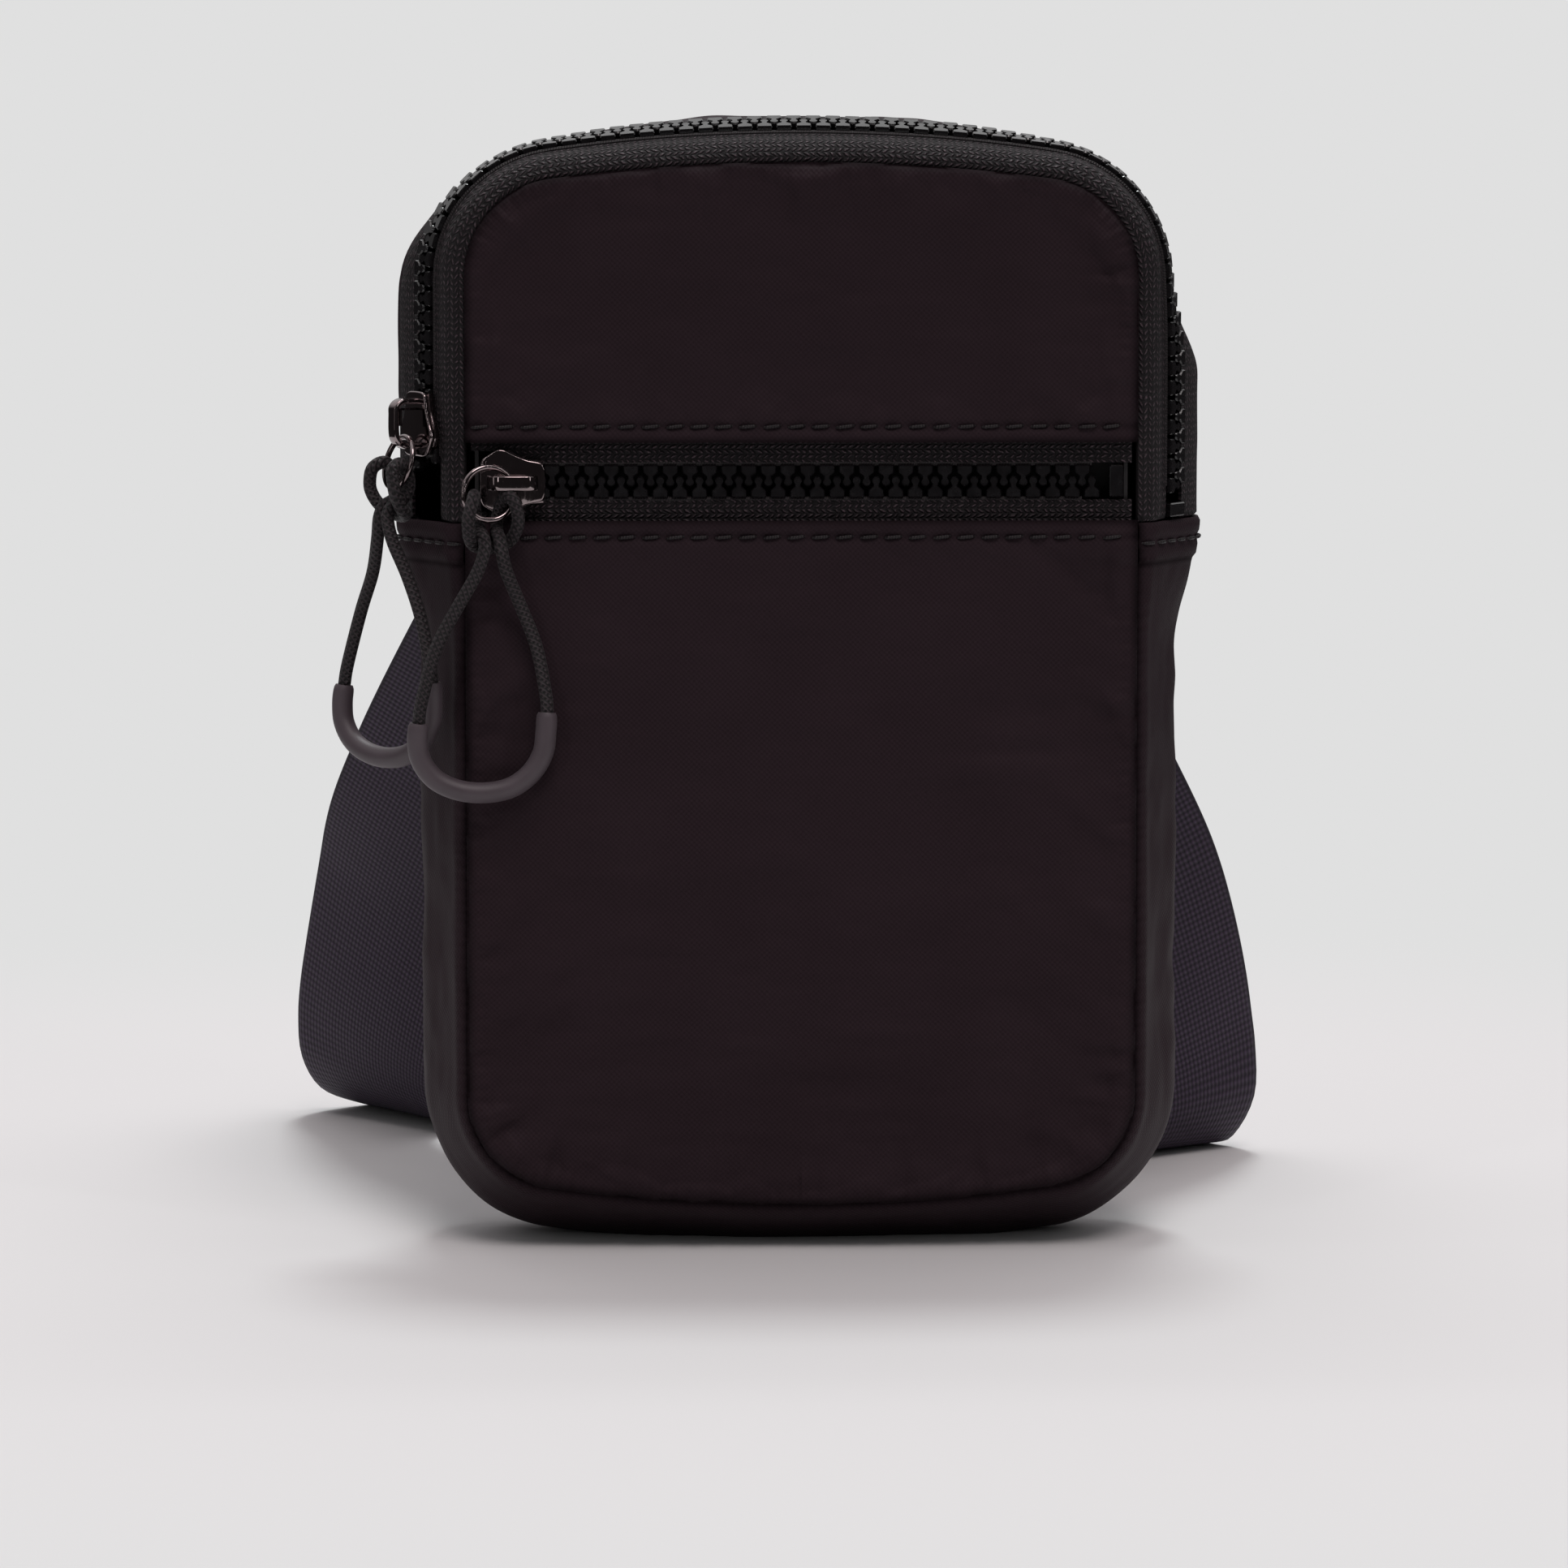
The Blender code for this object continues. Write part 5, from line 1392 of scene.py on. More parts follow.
@dataclass
class Pouch:
    """The pouch's fabric: front and back panels, side walls, hems, tabs, linings and their stitches."""

    scatter: Scatter
    shape: PouchShape = SHAPE
    cloth: float = 1.2 * MM
    least: float = 0.3 * MM
    proud: float = 0.55 * MM
    valley: float = 17.6 * MM
    edge_roll: float = 4.2 * MM
    pucker_pitch: float = 1.9 * MM
    pucker: float = 0.20 * MM
    stitch_row: float = 2.6 * MM
    stitch_pitch: float = 3.9 * MM
    grid_columns: int = 61
    wall_step: float = 0.75 * MM
    skins: dict = field(default_factory=dict)

    GRID_ROWS = {1: 29, -1: 62, 0: 90}

    def build(self) -> None:
        """Makes every fabric piece."""
        self.panel("front_upper_panel", 1)
        self.panel("front_lower_panel", -1)
        self.panel("back_panel", 0)
        self.lower_gusset()
        self.rear_gusset()
        self.lining()
        self.card_pocket()
        self.tab("strap_tab_left", -1)
        self.tab("strap_tab_right", 1)
        self.stitches()

    def panel_border(self, side: int) -> tuple:
        """The border of a panel, and where its grid's corners lie.

        Args:
            side: 1 above the pocket's mouth, -1 below it, 0 for the whole back.

        Returns:
            The border's rows of x, z, and four point numbers.
        """
        shape = self.shape
        whole = shape.outline(SEAM_STEP)[:-1][:, [0, 2]]
        x, z = whole.T
        edge = shape.zip_level + side * shape.mouth / 2
        half, wide, margin = shape.half, shape.half - 4.6 * MM, SEAM_STEP / 2
        if side > 0:
            border = np.concatenate([[[half, edge]], whole[z > edge + margin], [[-half, edge]]])
        elif side < 0:
            under, right = z < edge - margin, x >= -1e-9
            border = np.concatenate([whole[under & right], [[half, edge], [-half, edge]], whole[under & ~right]])
        else:
            border = whole
        low, low_half = (edge, half) if side > 0 else (shape.low + 5.6 * MM, wide)
        high, high_half = (edge, half) if side < 0 else (shape.high - 6.2 * MM, wide)
        corners = ((-low_half, low), (low_half, low), (high_half, high), (-high_half, high))
        return border, [int(np.argmin(np.hypot(border[:, 0] - a, border[:, 1] - b))) for a, b in corners]

    def panel_skin(self, side: int) -> tuple:
        """A panel's outer skin.

        Args:
            side: 1 above the pocket's mouth, -1 below it, 0 for the whole back.

        Returns:
            The skin as a grid of places, and how much painted shade each gets in the seams, the mouth's crease and the
            stitch groove.
        """
        shape = self.shape
        facing = -1 if side else 1
        border, corners = self.panel_border(side)
        coarse = grid_in(border, corners, self.GRID_ROWS[side], self.grid_columns)
        level = np.full(coarse.shape[:2], facing * (shape.face - 0.2 * MM))
        moved = ClothFill(2.6 if side else 1.5).run(np.stack([coarse[..., 0], level, coarse[..., 1]], -1))
        places = finer(coarse, 4)
        puff = finer(moved, 4)[..., 1] * facing
        gap = distance_to(border, places)
        x, z = places[..., 0], places[..., 1]
        noise = ValueNoise(SEED + (3 + side))
        to_seam = distance_to(shape.outline(SEAM_STEP)[:-1][:, [0, 2]], places)
        to_mouth = np.abs(z - (shape.zip_level + side * shape.mouth / 2)) if side else np.full(x.shape, 1.0)
        run = self.along_seam(x, z)
        # the hand-guided seam wanders, so the valley is wider in places
        wander = (0.35 + 0.65 * noise.at(run / (3.6 * MM), 2.5)) * 0.6 * MM
        # the cloth dives into the seam all round, but only folds under at the pocket's mouth
        roll = 1 - np.clip(1 - (to_seam - np.maximum(wander, 0)) / self.edge_roll, 0, 1) ** 2.2
        level = self.valley + (shape.face + self.proud - self.valley) * np.sqrt(np.maximum(roll, 0))
        level = level - np.clip(1 - to_mouth / (0.9 * MM), 0, 1) ** 2 * 0.55 * MM
        level = level + smooth_step(gap / (26 * MM)) * 0.25 * MM
        soft = noise.layered(x / (24 * MM) + 9, z / (8 * MM) + 4) * 0.80 * MM * smooth_step(gap / (7 * MM))
        # thin creases lie across, in some places only
        bent = noise.at(x / (15 * MM), z / (15 * MM)) * 0.2
        creases = noise.at(x / (42 * MM) + 31 + bent, z / (3.4 * MM)) * 0.36 * MM * smooth_step(gap / (10 * MM))
        creases = creases * smooth_step(noise.at(x / (30 * MM) + 3, z / (22 * MM) + 8) * 1.4)
        wave = np.sin(2 * math.pi * run / self.pucker_pitch + noise.at(run / (6 * MM), 0.5) * 2.2)
        strength = (0.6 + 0.4 * noise.at(run / (9 * MM), 3.5)) * bump(to_seam - 1.3 * MM, 1.9 * MM)
        puckers = wave * strength * self.pucker
        gathers = noise.at(run / (2.4 * MM), to_seam / (16 * MM) + 5)
        puckers = puckers + gathers * bump(to_seam - 4.0 * MM, 4.2 * MM) * 0.55 * MM
        # the seam draws slanting folds into the cloth beside it
        at_side = smooth_step((np.abs(x) - 26 * MM) / (22 * MM)) * smooth_step(gap / (6 * MM))
        slanting = noise.at((z + 0.8 * np.abs(x)) / (5.2 * MM) + 17, (z - np.abs(x)) / (30 * MM) + 2)
        puckers = puckers + slanting * at_side * 0.75 * MM
        # the topstitching pulls a dotted groove beside the mouth, and a pillow stands inside it
        sewn = -0.30 * MM * bump(to_mouth - self.stitch_row, 0.75 * MM)
        sewn = sewn * (1 - 0.25 * np.cos(2 * math.pi * x / self.stitch_pitch))
        pillow = 0.22 * MM * bump(to_mouth - 5.2 * MM, 2.0 * MM)
        puff = np.clip(puff, -0.9 * MM, 1.1 * MM) * smooth_step(gap / (3 * MM))
        height = level + soft + creases + puckers + sewn + pillow + puff * 0.8
        if side:
            # the left of the panels stays behind the hanging pull
            most = shape.face + 1.15 * MM + 0.6 * MM * smooth_step((x + 36 * MM) / (14 * MM))
        else:
            # flat between the strap rings, which swing against it
            most = shape.face + 0.35 * MM + 1.3 * MM * smooth_step((127 * MM - z) / (12 * MM))
        # painted shade: darkest in the seam valleys, with some in the crease at the pocket's mouth and in the stitch
        # groove beside it
        painted_shade = bump(to_seam, 1.0 * MM) * (0.8 + 0.2 * noise.at(run / (3 * MM), 7.5)) + 0.7 * bump(to_mouth, 0.8 * MM)
        painted_shade = painted_shade + 0.35 * bump(to_mouth - self.stitch_row, 0.6 * MM)
        return np.stack([x, facing * np.minimum(height, most), z], -1), np.clip(painted_shade, 0, 1)

    def along_seam(self, x: np.ndarray, z: np.ndarray) -> np.ndarray:
        """How far along the seam line each place lies, at its nearest point.

        Args:
            x: Places across.
            z: Places up.

        Returns:
            Distances in metres.
        """
        seam = self.shape.outline(SEAM_STEP)[:, [0, 2]]
        length, last = run_of(seam), len(seam) - 1
        found = []
        for part in np.array_split(np.stack([x.ravel(), z.ravel()], -1), 24):
            i = np.argmin(np.linalg.norm(part[:, None] - seam[None], axis=-1), axis=1)
            tangent = unit(seam[np.minimum(i + 1, last)] - seam[np.maximum(i - 1, 0)])
            found.append(length[i] + ((part - seam[i]) * tangent).sum(1))
        return np.concatenate(found).reshape(x.shape)

    def panel(self, name: str, side: int) -> None:
        """Makes a padded panel with its back face.

        Args:
            name: The CAD node that it stands for.
            side: 1 above the pocket's mouth, -1 below it, 0 for the whole back.
        """
        facing = -1 if side else 1
        skin, painted_shade = self.panel_skin(side)
        self.skins[side] = skin
        rear = facing * np.maximum(facing * skin[..., 1] - self.cloth, self.shape.depth / 2 + self.shape.gap)
        rear = np.where(facing * (skin[..., 1] - rear) < self.least, skin[..., 1] - facing * self.least, rear)
        inner = np.stack([skin[..., 0], rear, skin[..., 2]], -1)
        piece = cloth_body(name + "_cloth", skin, inner, skin[..., [0, 2]], NYLON, painted_shade)
        put_on(piece, "pouch", "nylon", name)

    def wall_dents(self, stations: np.ndarray, arcs: np.ndarray, seed: int) -> np.ndarray:
        """Soft dents and seam puckers of the side wall.

        Args:
            stations: Seam line rows.
            arcs: Distances from the front seam.
            seed: Seed of the noise.

        Returns:
            How far each place stands off the plain wall.
        """
        noise = ValueNoise(seed)
        run, arc, length = run_of(stations[:, [0, 2]])[:, None], arcs[None, :], self.shape.wall_length
        middle = np.sin(math.pi * np.clip(arc / length, 0, 1)) ** 0.7
        dents = noise.layered(run / (17 * MM), arc / (11 * MM)) * 0.75 * MM * middle
        total = dents + noise.at(run / (5.2 * MM), arc / (26 * MM) + 11) * 0.22 * MM * middle
        wave = np.sin(2 * math.pi * run / self.pucker_pitch + noise.at(run / (6 * MM), 1.5) * 2.2)
        for edge in (arc, length - arc):
            total = total + wave * self.pucker * bump(edge - 1.2 * MM, 1.7 * MM)
            total = total + 0.35 * MM * bump(edge - 2.4 * MM, 1.8 * MM)
        return total

    def gusset(
        self, node: str, stations: np.ndarray, arcs: np.ndarray, lift: np.ndarray, painted_shade: np.ndarray | float
    ) -> None:
        """Makes a part of the side wall.

        Args:
            node: The CAD node that it stands for.
            stations: Seam line rows.
            arcs: Distances from the front seam.
            lift: How far each place stands off the plain wall.
            painted_shade: How much painted shade each place gets in the seams and folds.
        """
        thick = self.cloth * 0.8
        outer = self.shape.wall(stations, arcs, lift)
        inner = self.shape.wall(stations, arcs, lift - thick, thick)
        metres = np.stack(np.meshgrid(run_of(stations[:, [0, 2]]), arcs, indexing="ij"), -1)
        put_on(cloth_body(node + "_cloth", outer, inner, metres, NYLON, painted_shade), "pouch", "nylon", node)

    def lower_gusset(self) -> None:
        """The side wall round both lower sides and the bottom, folded and stitched at each top end."""
        shape = self.shape
        top = shape.hem - shape.gap
        stations = shape.below(top, self.wall_step)
        height = stations[:, 2]
        down, at_sides = top - height, height > 60 * MM
        arcs = np.linspace(0.0, shape.wall_length, 56)
        hem = 0.55 * MM * smooth_step((7.0 * MM - down) / (1.0 * MM)) * smooth_step(down / (0.55 * MM) + 0.35)
        hem = (hem - 0.34 * MM * bump(down - 3.3 * MM, 0.7 * MM)) * at_sides
        lift = self.wall_dents(stations, arcs, SEED + 20) * smooth_step(down / (12 * MM) + 0.25)[:, None] + hem[:, None]
        lift = lift * (1 - 0.45 * smooth_step((26 * MM - height) / (20 * MM)))[:, None]
        edge = np.minimum(arcs, shape.wall_length - arcs)
        # painted shade along the wall's seamed edges and in the hem's crease
        painted_shade = bump(edge, 0.9 * MM)[None, :] + 0.8 * (bump(down - 6.6 * MM, 0.5 * MM) * at_sides)[:, None]
        self.gusset("lower_gusset", stations, arcs, lift, np.clip(painted_shade, 0, 1))

    def rear_gusset(self) -> None:
        """The strip behind the main zip."""
        shape = self.shape
        stations = shape.above(shape.hem - shape.hem_lap, self.wall_step)
        first = MainZip.setback + MainZip.half_width + MainZip.rear_width + shape.gap
        arcs = np.linspace(first, shape.wall_length, 40)
        near = 1 - np.clip((arcs - first) / (6 * MM), 0, 1)
        lift = self.wall_dents(stations, arcs, SEED + 21) * (1 - near[None, :] ** 2) - shape.tucked(stations)
        self.gusset("upper_rear_gusset", stations, arcs, lift, 0.0)

    def lining(self) -> None:
        """The pocket bag's back and its gathered sides, an open tray of thin lining."""
        low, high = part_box("pocket_lining")
        whole = self.shape.outline(1.2 * MM)[:-1]
        kept = whole[whole[:, 2] < 38 * MM]

        def ring(inset: float, top: float) -> np.ndarray:
            """The tray's border, this far inside the seam and up to this level.

            Args:
                inset: How far inside the seam.
                top: Its upper level.

            Returns:
                The border's points.
            """
            places = kept[:, [0, 2]] - kept[:, [3, 4]] * inset
            right = kept[:, 0] >= -1e-9
            half = self.shape.half - inset
            side = np.linspace(40 * MM, top, 60)
            over = np.linspace(half, -half, 70)[1:-1]
            edges = [(np.full(60, half), side), (over, np.full(68, top)), (np.full(60, -half), side[::-1])]
            return np.concatenate([places[right], *[np.stack(e, -1) for e in edges], places[~right]])

        def level(border: np.ndarray, share: float, y: np.ndarray | float) -> np.ndarray:
            """The border drawn in to this share of its size, at the depth y."""
            flat = border.mean(0) + (border - border.mean(0)) * share
            return np.stack([flat[:, 0], np.broadcast_to(y, len(flat)), flat[:, 1]], -1)

        noise = ValueNoise(SEED + 30)
        inside, outside = ring(2.2 * MM, high.z - 0.7 * MM), ring(1.6 * MM, high.z - 0.1 * MM)
        floor, rim = high.y - 0.6 * MM, low.y + 0.05 * MM
        levels = []
        for share in np.linspace(0.02, 1.0, 34):
            place = level(inside, share, 0.0) / (12 * MM)
            crumple = noise.layered(place[:, 0], place[:, 2]) * 0.35 * MM * (1 - share**6)
            levels.append(level(inside, share, floor - 0.35 * MM + crumple))
        levels += [level(inside, 1.0, floor + (rim - floor) * share) for share in (0.25, 0.5, 0.75, 1.0)]
        levels += [level(outside, 1.0, rim + (high.y - rim) * share) for share in (0.0, 0.5, 1.0)]
        levels += [level(outside, share, high.y) for share in (0.96, 0.75, 0.5, 0.25, 0.02)]
        put_on(ring_body("pocket_lining_cloth", levels, LINING), "pouch", "lining", "pocket_lining")

    def card_pocket(self) -> None:
        """The flat pocket on the inside of the back panel, with a turned hem."""
        low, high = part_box("card_pocket")
        noise = ValueNoise(SEED + 31)
        x = np.linspace(low.x, high.x, 60)[None, :]
        z = np.linspace(low.z, high.z, 44)[:, None]
        up = (z - low.z) / (high.z - low.z)
        wave = noise.layered(x / (16 * MM), z / (16 * MM)) * 0.12 * MM * smooth_step(up * 6)
        gap = 1.2 * MM * smooth_step((z - low.z) / (4 * MM)) * (1 - 0.35 * np.abs(x / high.x) ** 6)
        hem = 0.12 * MM * smooth_step((up - 0.86) / 0.02)
        face = high.y - 0.62 * MM - gap * 0.8 + wave
        outer, inner = (np.stack(np.broadcast_arrays(x, y, z), -1) for y in (face - hem, face + 0.45 * MM))
        piece = cloth_body("card_pocket_cloth", outer, inner, outer[..., [0, 2]], LINING)
        put_on(piece, "pouch", "lining", "card_pocket")

    def tab(self, name: str, side: int) -> None:
        """A fabric tab folded round a strap ring's top bar.

        Args:
            name: The CAD node that it stands for.
            side: -1 on the left, 1 on the right.
        """
        low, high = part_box(name)
        strap, thick, step = Strap(), 0.9 * MM, 0.6 * MM
        flat = self.shape.face + self.shape.gap + thick / 2
        over = flat + thick + self.shape.gap
        mid = strap.ring_wire + 0.5 * MM + thick / 2
        level, turn = strap.ring_top, np.linspace(0, math.pi, 12)
        course = [(flat, level + up * MM) for up in (15, 10, 6)]
        course += [(strap.ring_y - mid * math.cos(t), level - mid * math.sin(t)) for t in turn]
        course += [(over, level + up * MM) for up in (6, 10, 15)]
        path = resample(np.array([(a, b, 0.0) for a, b in course]), step)[:, :2]
        along = unit(np.gradient(path, axis=0))
        aside = np.stack([-along[:, 1], along[:, 0]], -1) * (thick / 2 * 0.9)
        x = np.linspace(low.x, high.x, 36)
        run = np.arange(len(path)) * step
        wave = ValueNoise(SEED + 40 + side).layered(run[:, None] / (9 * MM), x[None, :] / (9 * MM)) * 0.05 * MM
        skins = []
        for turn in (1, -1):
            edge = path[:, None, :] + aside[:, None, :] * turn + (aside / thick)[:, None, :] * wave[..., None] * 2
            skins.append(np.stack([np.broadcast_to(x[None, :], wave.shape), edge[..., 0], edge[..., 1]], -1))
        metres = np.stack(np.meshgrid(run, x, indexing="ij"), -1)
        put_on(cloth_body(name + "_cloth", *skins, metres, NYLON), "pouch", "nylon", name)

    def stitches(self) -> None:
        """Topstitching along the pocket's mouth and across both hems."""
        shape = self.shape
        item, short = stitch_item(3.1 * MM, 0.30 * MM), stitch_item(2.9 * MM, 0.30 * MM)
        rows = []
        for side, word in ((1, "upper"), (-1, "lower")):
            line = self.stitch_line(side)
            along = unit(np.gradient(line, axis=0))
            # each stitch leans a little, as lockstitch does
            along[:, 2] += 0.10
            rows.append((f"pocket_{word}_stitches", item, line, unit(along), np.tile(FRONT, (len(line), 1))))
        for side, word in ((-1, "left"), (1, "right")):
            station = np.array([[side * shape.half, 0.0, shape.hem - 3.6 * MM, side, 0.0]])
            arcs = np.arange(2.0 * MM, shape.wall_length - 1.0 * MM, 3.7 * MM)
            middle, ahead = (shape.wall(station, arcs + further, 0.50 * MM)[0] for further in (0.0, 0.5 * MM))
            along = unit(ahead - middle)
            out = unit(np.cross(along, UP))
            rows.append((f"hem_{word}_stitches", short, middle, along, np.where(out[:, :1] * side < 0, -out, out)))
        for row in rows:
            put_on(self.scatter.spread(*row, THREAD, 0.03, 60.0), "pouch", "zip_tape")
        for used in (item, short):
            bpy.data.objects.remove(used)

    def stitch_line(self, side: int) -> np.ndarray:
        """The middles of the stitches beside the pocket's mouth, on the panel's skin.

        Args:
            side: 1 above the mouth, -1 below it.

        Returns:
            Places as rows.
        """
        shape = self.shape
        half = shape.half - self.stitch_row
        z = shape.zip_level + side * (shape.mouth / 2 + self.stitch_row)
        flat = self.skins[side].reshape(-1, 3)
        found = []
        for x in np.arange(-half, half, self.stitch_pitch):
            near = np.hypot(flat[:, 0] - x, flat[:, 2] - z) < 1.0 * MM
            found.append((x, flat[near, 1].mean() - 0.06 * MM, z))
        return np.array(found)


def stitch_item(length: float, radius: float) -> bpy.types.Object:
    """One stitch: a short plump thread whose ends dip into the cloth.

    Args:
        length: Its length in metres.
        radius: Its radius in metres.

    Returns:
        A hidden object, X along and Z outwards.
    """
    t = np.linspace(-1, 1, 9)
    path = np.stack([t * length / 2, np.zeros(9), radius * 0.6 - radius * 1.9 * np.abs(t) ** 5], -1)
    scales = np.clip(1.12 - 0.75 * np.abs(t) ** 3, 0.3, 1)
    made = sweep("stitch_item", path, circle(radius, 8), THREAD, first=(0, 1, 0), scales=scales, angle=80.0)
    made.hide_render = True
    return made


# ---------------------------------------------------------------- zips

def tooth_item(name: str) -> bpy.types.Object:
    """One moulded tooth: broad base, waist and round head, with chamfered crowns.

    Args:
        name: The object's name.

    Returns:
        A hidden object, X along the chain, Y towards the other row and Z outwards.
    """
    base, shoulder, centre = -2.6 * MM, -1.25 * MM, 0.22 * MM
    half, neck, head = 1.26 * MM, 0.50 * MM, 0.72 * MM
    right = [(half - 0.12 * MM, base), (half, base + 0.15 * MM), (half, shoulder - 0.2 * MM),
             (half - 0.22 * MM, shoulder), (neck, shoulder + 0.5 * MM)]
    turn = np.radians(np.linspace(-52, 90, 6))[:-1]
    right += [(head * math.cos(t), centre + head * 0.82 * math.sin(t)) for t in turn]
    outline = np.array(right + [(0.0, centre + head * 0.82)] + [(-a, b) for a, b in right[::-1]])
    inset = outline + unit(np.array([0.0, -1.3 * MM]) - outline) * 0.2 * MM
    thick, chamfer = 1.12 * MM, 0.26 * MM
    levels = [(inset, -thick), (outline, -thick + chamfer), (outline, thick - chamfer), (inset, thick)]
    rings = [np.concatenate([flat, np.full((len(flat), 1), level)], 1) for flat, level in levels]
    mesh = mesh_of(name, np.concatenate(rings), tube_faces(len(rings), len(outline)))
    made = new_object(name, mesh, ACETAL, 32.0)
    made.hide_render = True
    return made


@dataclass
class Zip:
    """What both zips share: the chain's pitch and widths, how its rows part at the slider, tapes and rows."""

    scatter: Scatter
    shape: PouchShape = SHAPE
    pitch: float = 3.16 * MM
    half_width: float = 2.6 * MM
    bead: float = 0.6 * MM
    bead_radius: float = 0.46 * MM
    stop: float = 2.2 * MM
    parted: float = 1.95 * MM
    slider: float = 10.5 * MM
    lead: float = 1.4 * MM
    tape: float = 0.6 * MM

    def parting(self, ahead: np.ndarray) -> np.ndarray:
        """How far a row stands off the chain's middle, at distances ahead of the slider's middle."""
        return self.parted * smooth_step((ahead + self.slider * 0.12) / (self.slider * 0.42))

    def lay_tape(self, node: str, outer: np.ndarray, inner: np.ndarray, metres: np.ndarray) -> None:
        """Makes one knit tape.

        Args:
            node: The CAD node that it stands for.
            outer: Its outer skin.
            inner: Its inner skin.
            metres: For each place, metres along and across.
        """
        put_on(cloth_body(node + "_knit", outer, inner, metres, TAPE), "pouch", "zip_tape", node)

    def mould_row(
        self,
        node: str,
        item: bpy.types.Object,
        middle: np.ndarray,
        along: np.ndarray,
        out: np.ndarray,
        away: np.ndarray,
    ) -> None:
        """Makes one row of teeth, moulded on its bead.

        Args:
            node: The CAD node that it stands for.
            item: The tooth.
            middle: Where each tooth stands.
            along: Each tooth's X direction.
            out: Each tooth's Z direction.
            away: Each tooth's direction from the chain's middle to its own tape.
        """
        row = self.scatter.spread(node + "_moulded", item, middle, along, out, ACETAL, 0.012, 32.0)
        base = middle + away * (self.half_width + self.bead * 0.45)
        bead = sweep("bead", base, circle(self.bead_radius, 8), THREAD, first=out[0])
        put_on(joined(node + "_row", [row, bead]), "pouch", "tooth_plastic", node)


@dataclass
class MainZip(Zip):
    """The main zip over the pouch: two tapes and two rows of teeth."""

    setback: float = 10.8 * MM
    rear_width: float = 7.6 * MM
    slider_level: float = 134.2 * MM
    slider_end: float = 15.5 * MM

    def build(self) -> None:
        """Makes the tapes and teeth."""
        self.tapes()
        self.teeth()

    def tapes(self) -> None:
        """Both knit tapes, drawn apart below the slider, softly rolled along their width."""
        shape = self.shape
        stations = shape.above(shape.hem - shape.hem_lap, 0.7 * MM)
        everywhere = np.ones(len(stations))
        below = self.slider_level - stations[:, 2]
        apart = np.where(stations[:, 0] < 0, self.parting(below + self.lead), 0.0)
        _, share = shape.drawn_in(everywhere * 6.45 * MM, stations)
        lean = np.hypot(share * math.sin(shape.chain_angle), math.cos(shape.chain_angle))
        spread = (self.half_width + self.bead * 0.6 + apart) / lean
        run = run_of(stations[:, [0, 2]])[:, None]
        noise = ValueNoise(SEED + 50)
        t = np.linspace(0, 1, 18)
        # the front tape swells over its cord and lies flat again beside the chain
        front_swell = 0.60 * MM * np.sin(math.pi * t**0.75) ** 0.9 * (1 - smooth_step((t - 0.55) / 0.3))
        for word, start, end, swell in (
            ("front", everywhere * 0.0, self.setback - spread, front_swell),
            ("rear", self.setback + spread, everywhere * (self.setback + self.half_width + self.rear_width),
             0.12 * MM * np.sin(math.pi * t)),
        ):
            arcs = start[:, None] + (end - start)[:, None] * t[None, :]
            uneven = noise.layered(run / (8 * MM), arcs / (4 * MM)) * 0.10 * MM
            gather = np.sin(2 * math.pi * run / (1.85 * MM)) * 0.10 * MM * bump(arcs - 1.0 * MM, 1.4 * MM)
            lift = swell[None, :] + (uneven + gather) * np.sin(math.pi * t)[None, :] - shape.tucked(stations)
            outer, inner = shape.wall(stations, arcs, lift), shape.wall(stations, arcs, lift - self.tape)
            metres = np.stack(np.broadcast_arrays(run, arcs), -1)
            self.lay_tape(f"main_tape_{word}", outer, inner, metres)

    @cached_property
    def path(self) -> tuple:
        """The chain's middle line from its right-hand end: length, places, and directions along, across and out."""
        shape = self.shape
        stations = shape.above(shape.hem, 0.4 * MM)
        x, _, z, nx, nz = stations.T
        level, flat = np.ones(len(stations)), np.zeros(len(stations))
        out, back, angle = (float(v[0]) for v in shape.section(np.array([self.setback])))
        drawn, share = shape.drawn_in(level * out, stations)
        drawn = drawn - self.tape / 2 * math.cos(angle)
        middle = np.stack([x + nx * drawn, level * (back + self.tape / 2 * math.sin(angle)), z + nz * drawn], -1)
        normal = np.stack([nx, flat, nz], -1)
        lean = np.arctan(math.tan(angle) * share)[:, None]
        rear = np.array([0.0, 1.0, 0.0])
        across = normal * np.sin(lean) + rear * np.cos(lean)
        outward = normal * np.cos(lean) - rear * np.sin(lean)
        return run_of(middle), middle, np.cross(across, outward), across, outward

    def frames(self, places: np.ndarray) -> list:
        """The chain's frames at distances along it.

        Args:
            places: Distances from the right-hand end.

        Returns:
            Places, directions along, across and outwards.
        """
        length, *parts = self.path
        found = [at_run(part, length, places) for part in parts]
        return [found[0], *map(unit, found[1:])]

    def teeth(self) -> None:
        """The front and rear rows, half a pitch apart."""
        first = self.stop + self.pitch
        count = int((self.path[0][-1] - first - self.stop - self.pitch) / self.pitch)
        item = tooth_item("main_tooth")
        for word, side, lead in (("front", 1, 0.0), ("rear", -1, self.pitch / 2)):
            middle, along, across, out = self.frames(first + lead + np.arange(count) * self.pitch)
            apart = np.where(middle[:, 0] < 0, self.parting(self.slider_level - middle[:, 2]), 0.0)
            middle = middle - across * side * apart[:, None]
            self.mould_row(f"main_teeth_{word}", item, middle, along * side, out, -across * side)
        bpy.data.objects.remove(item)


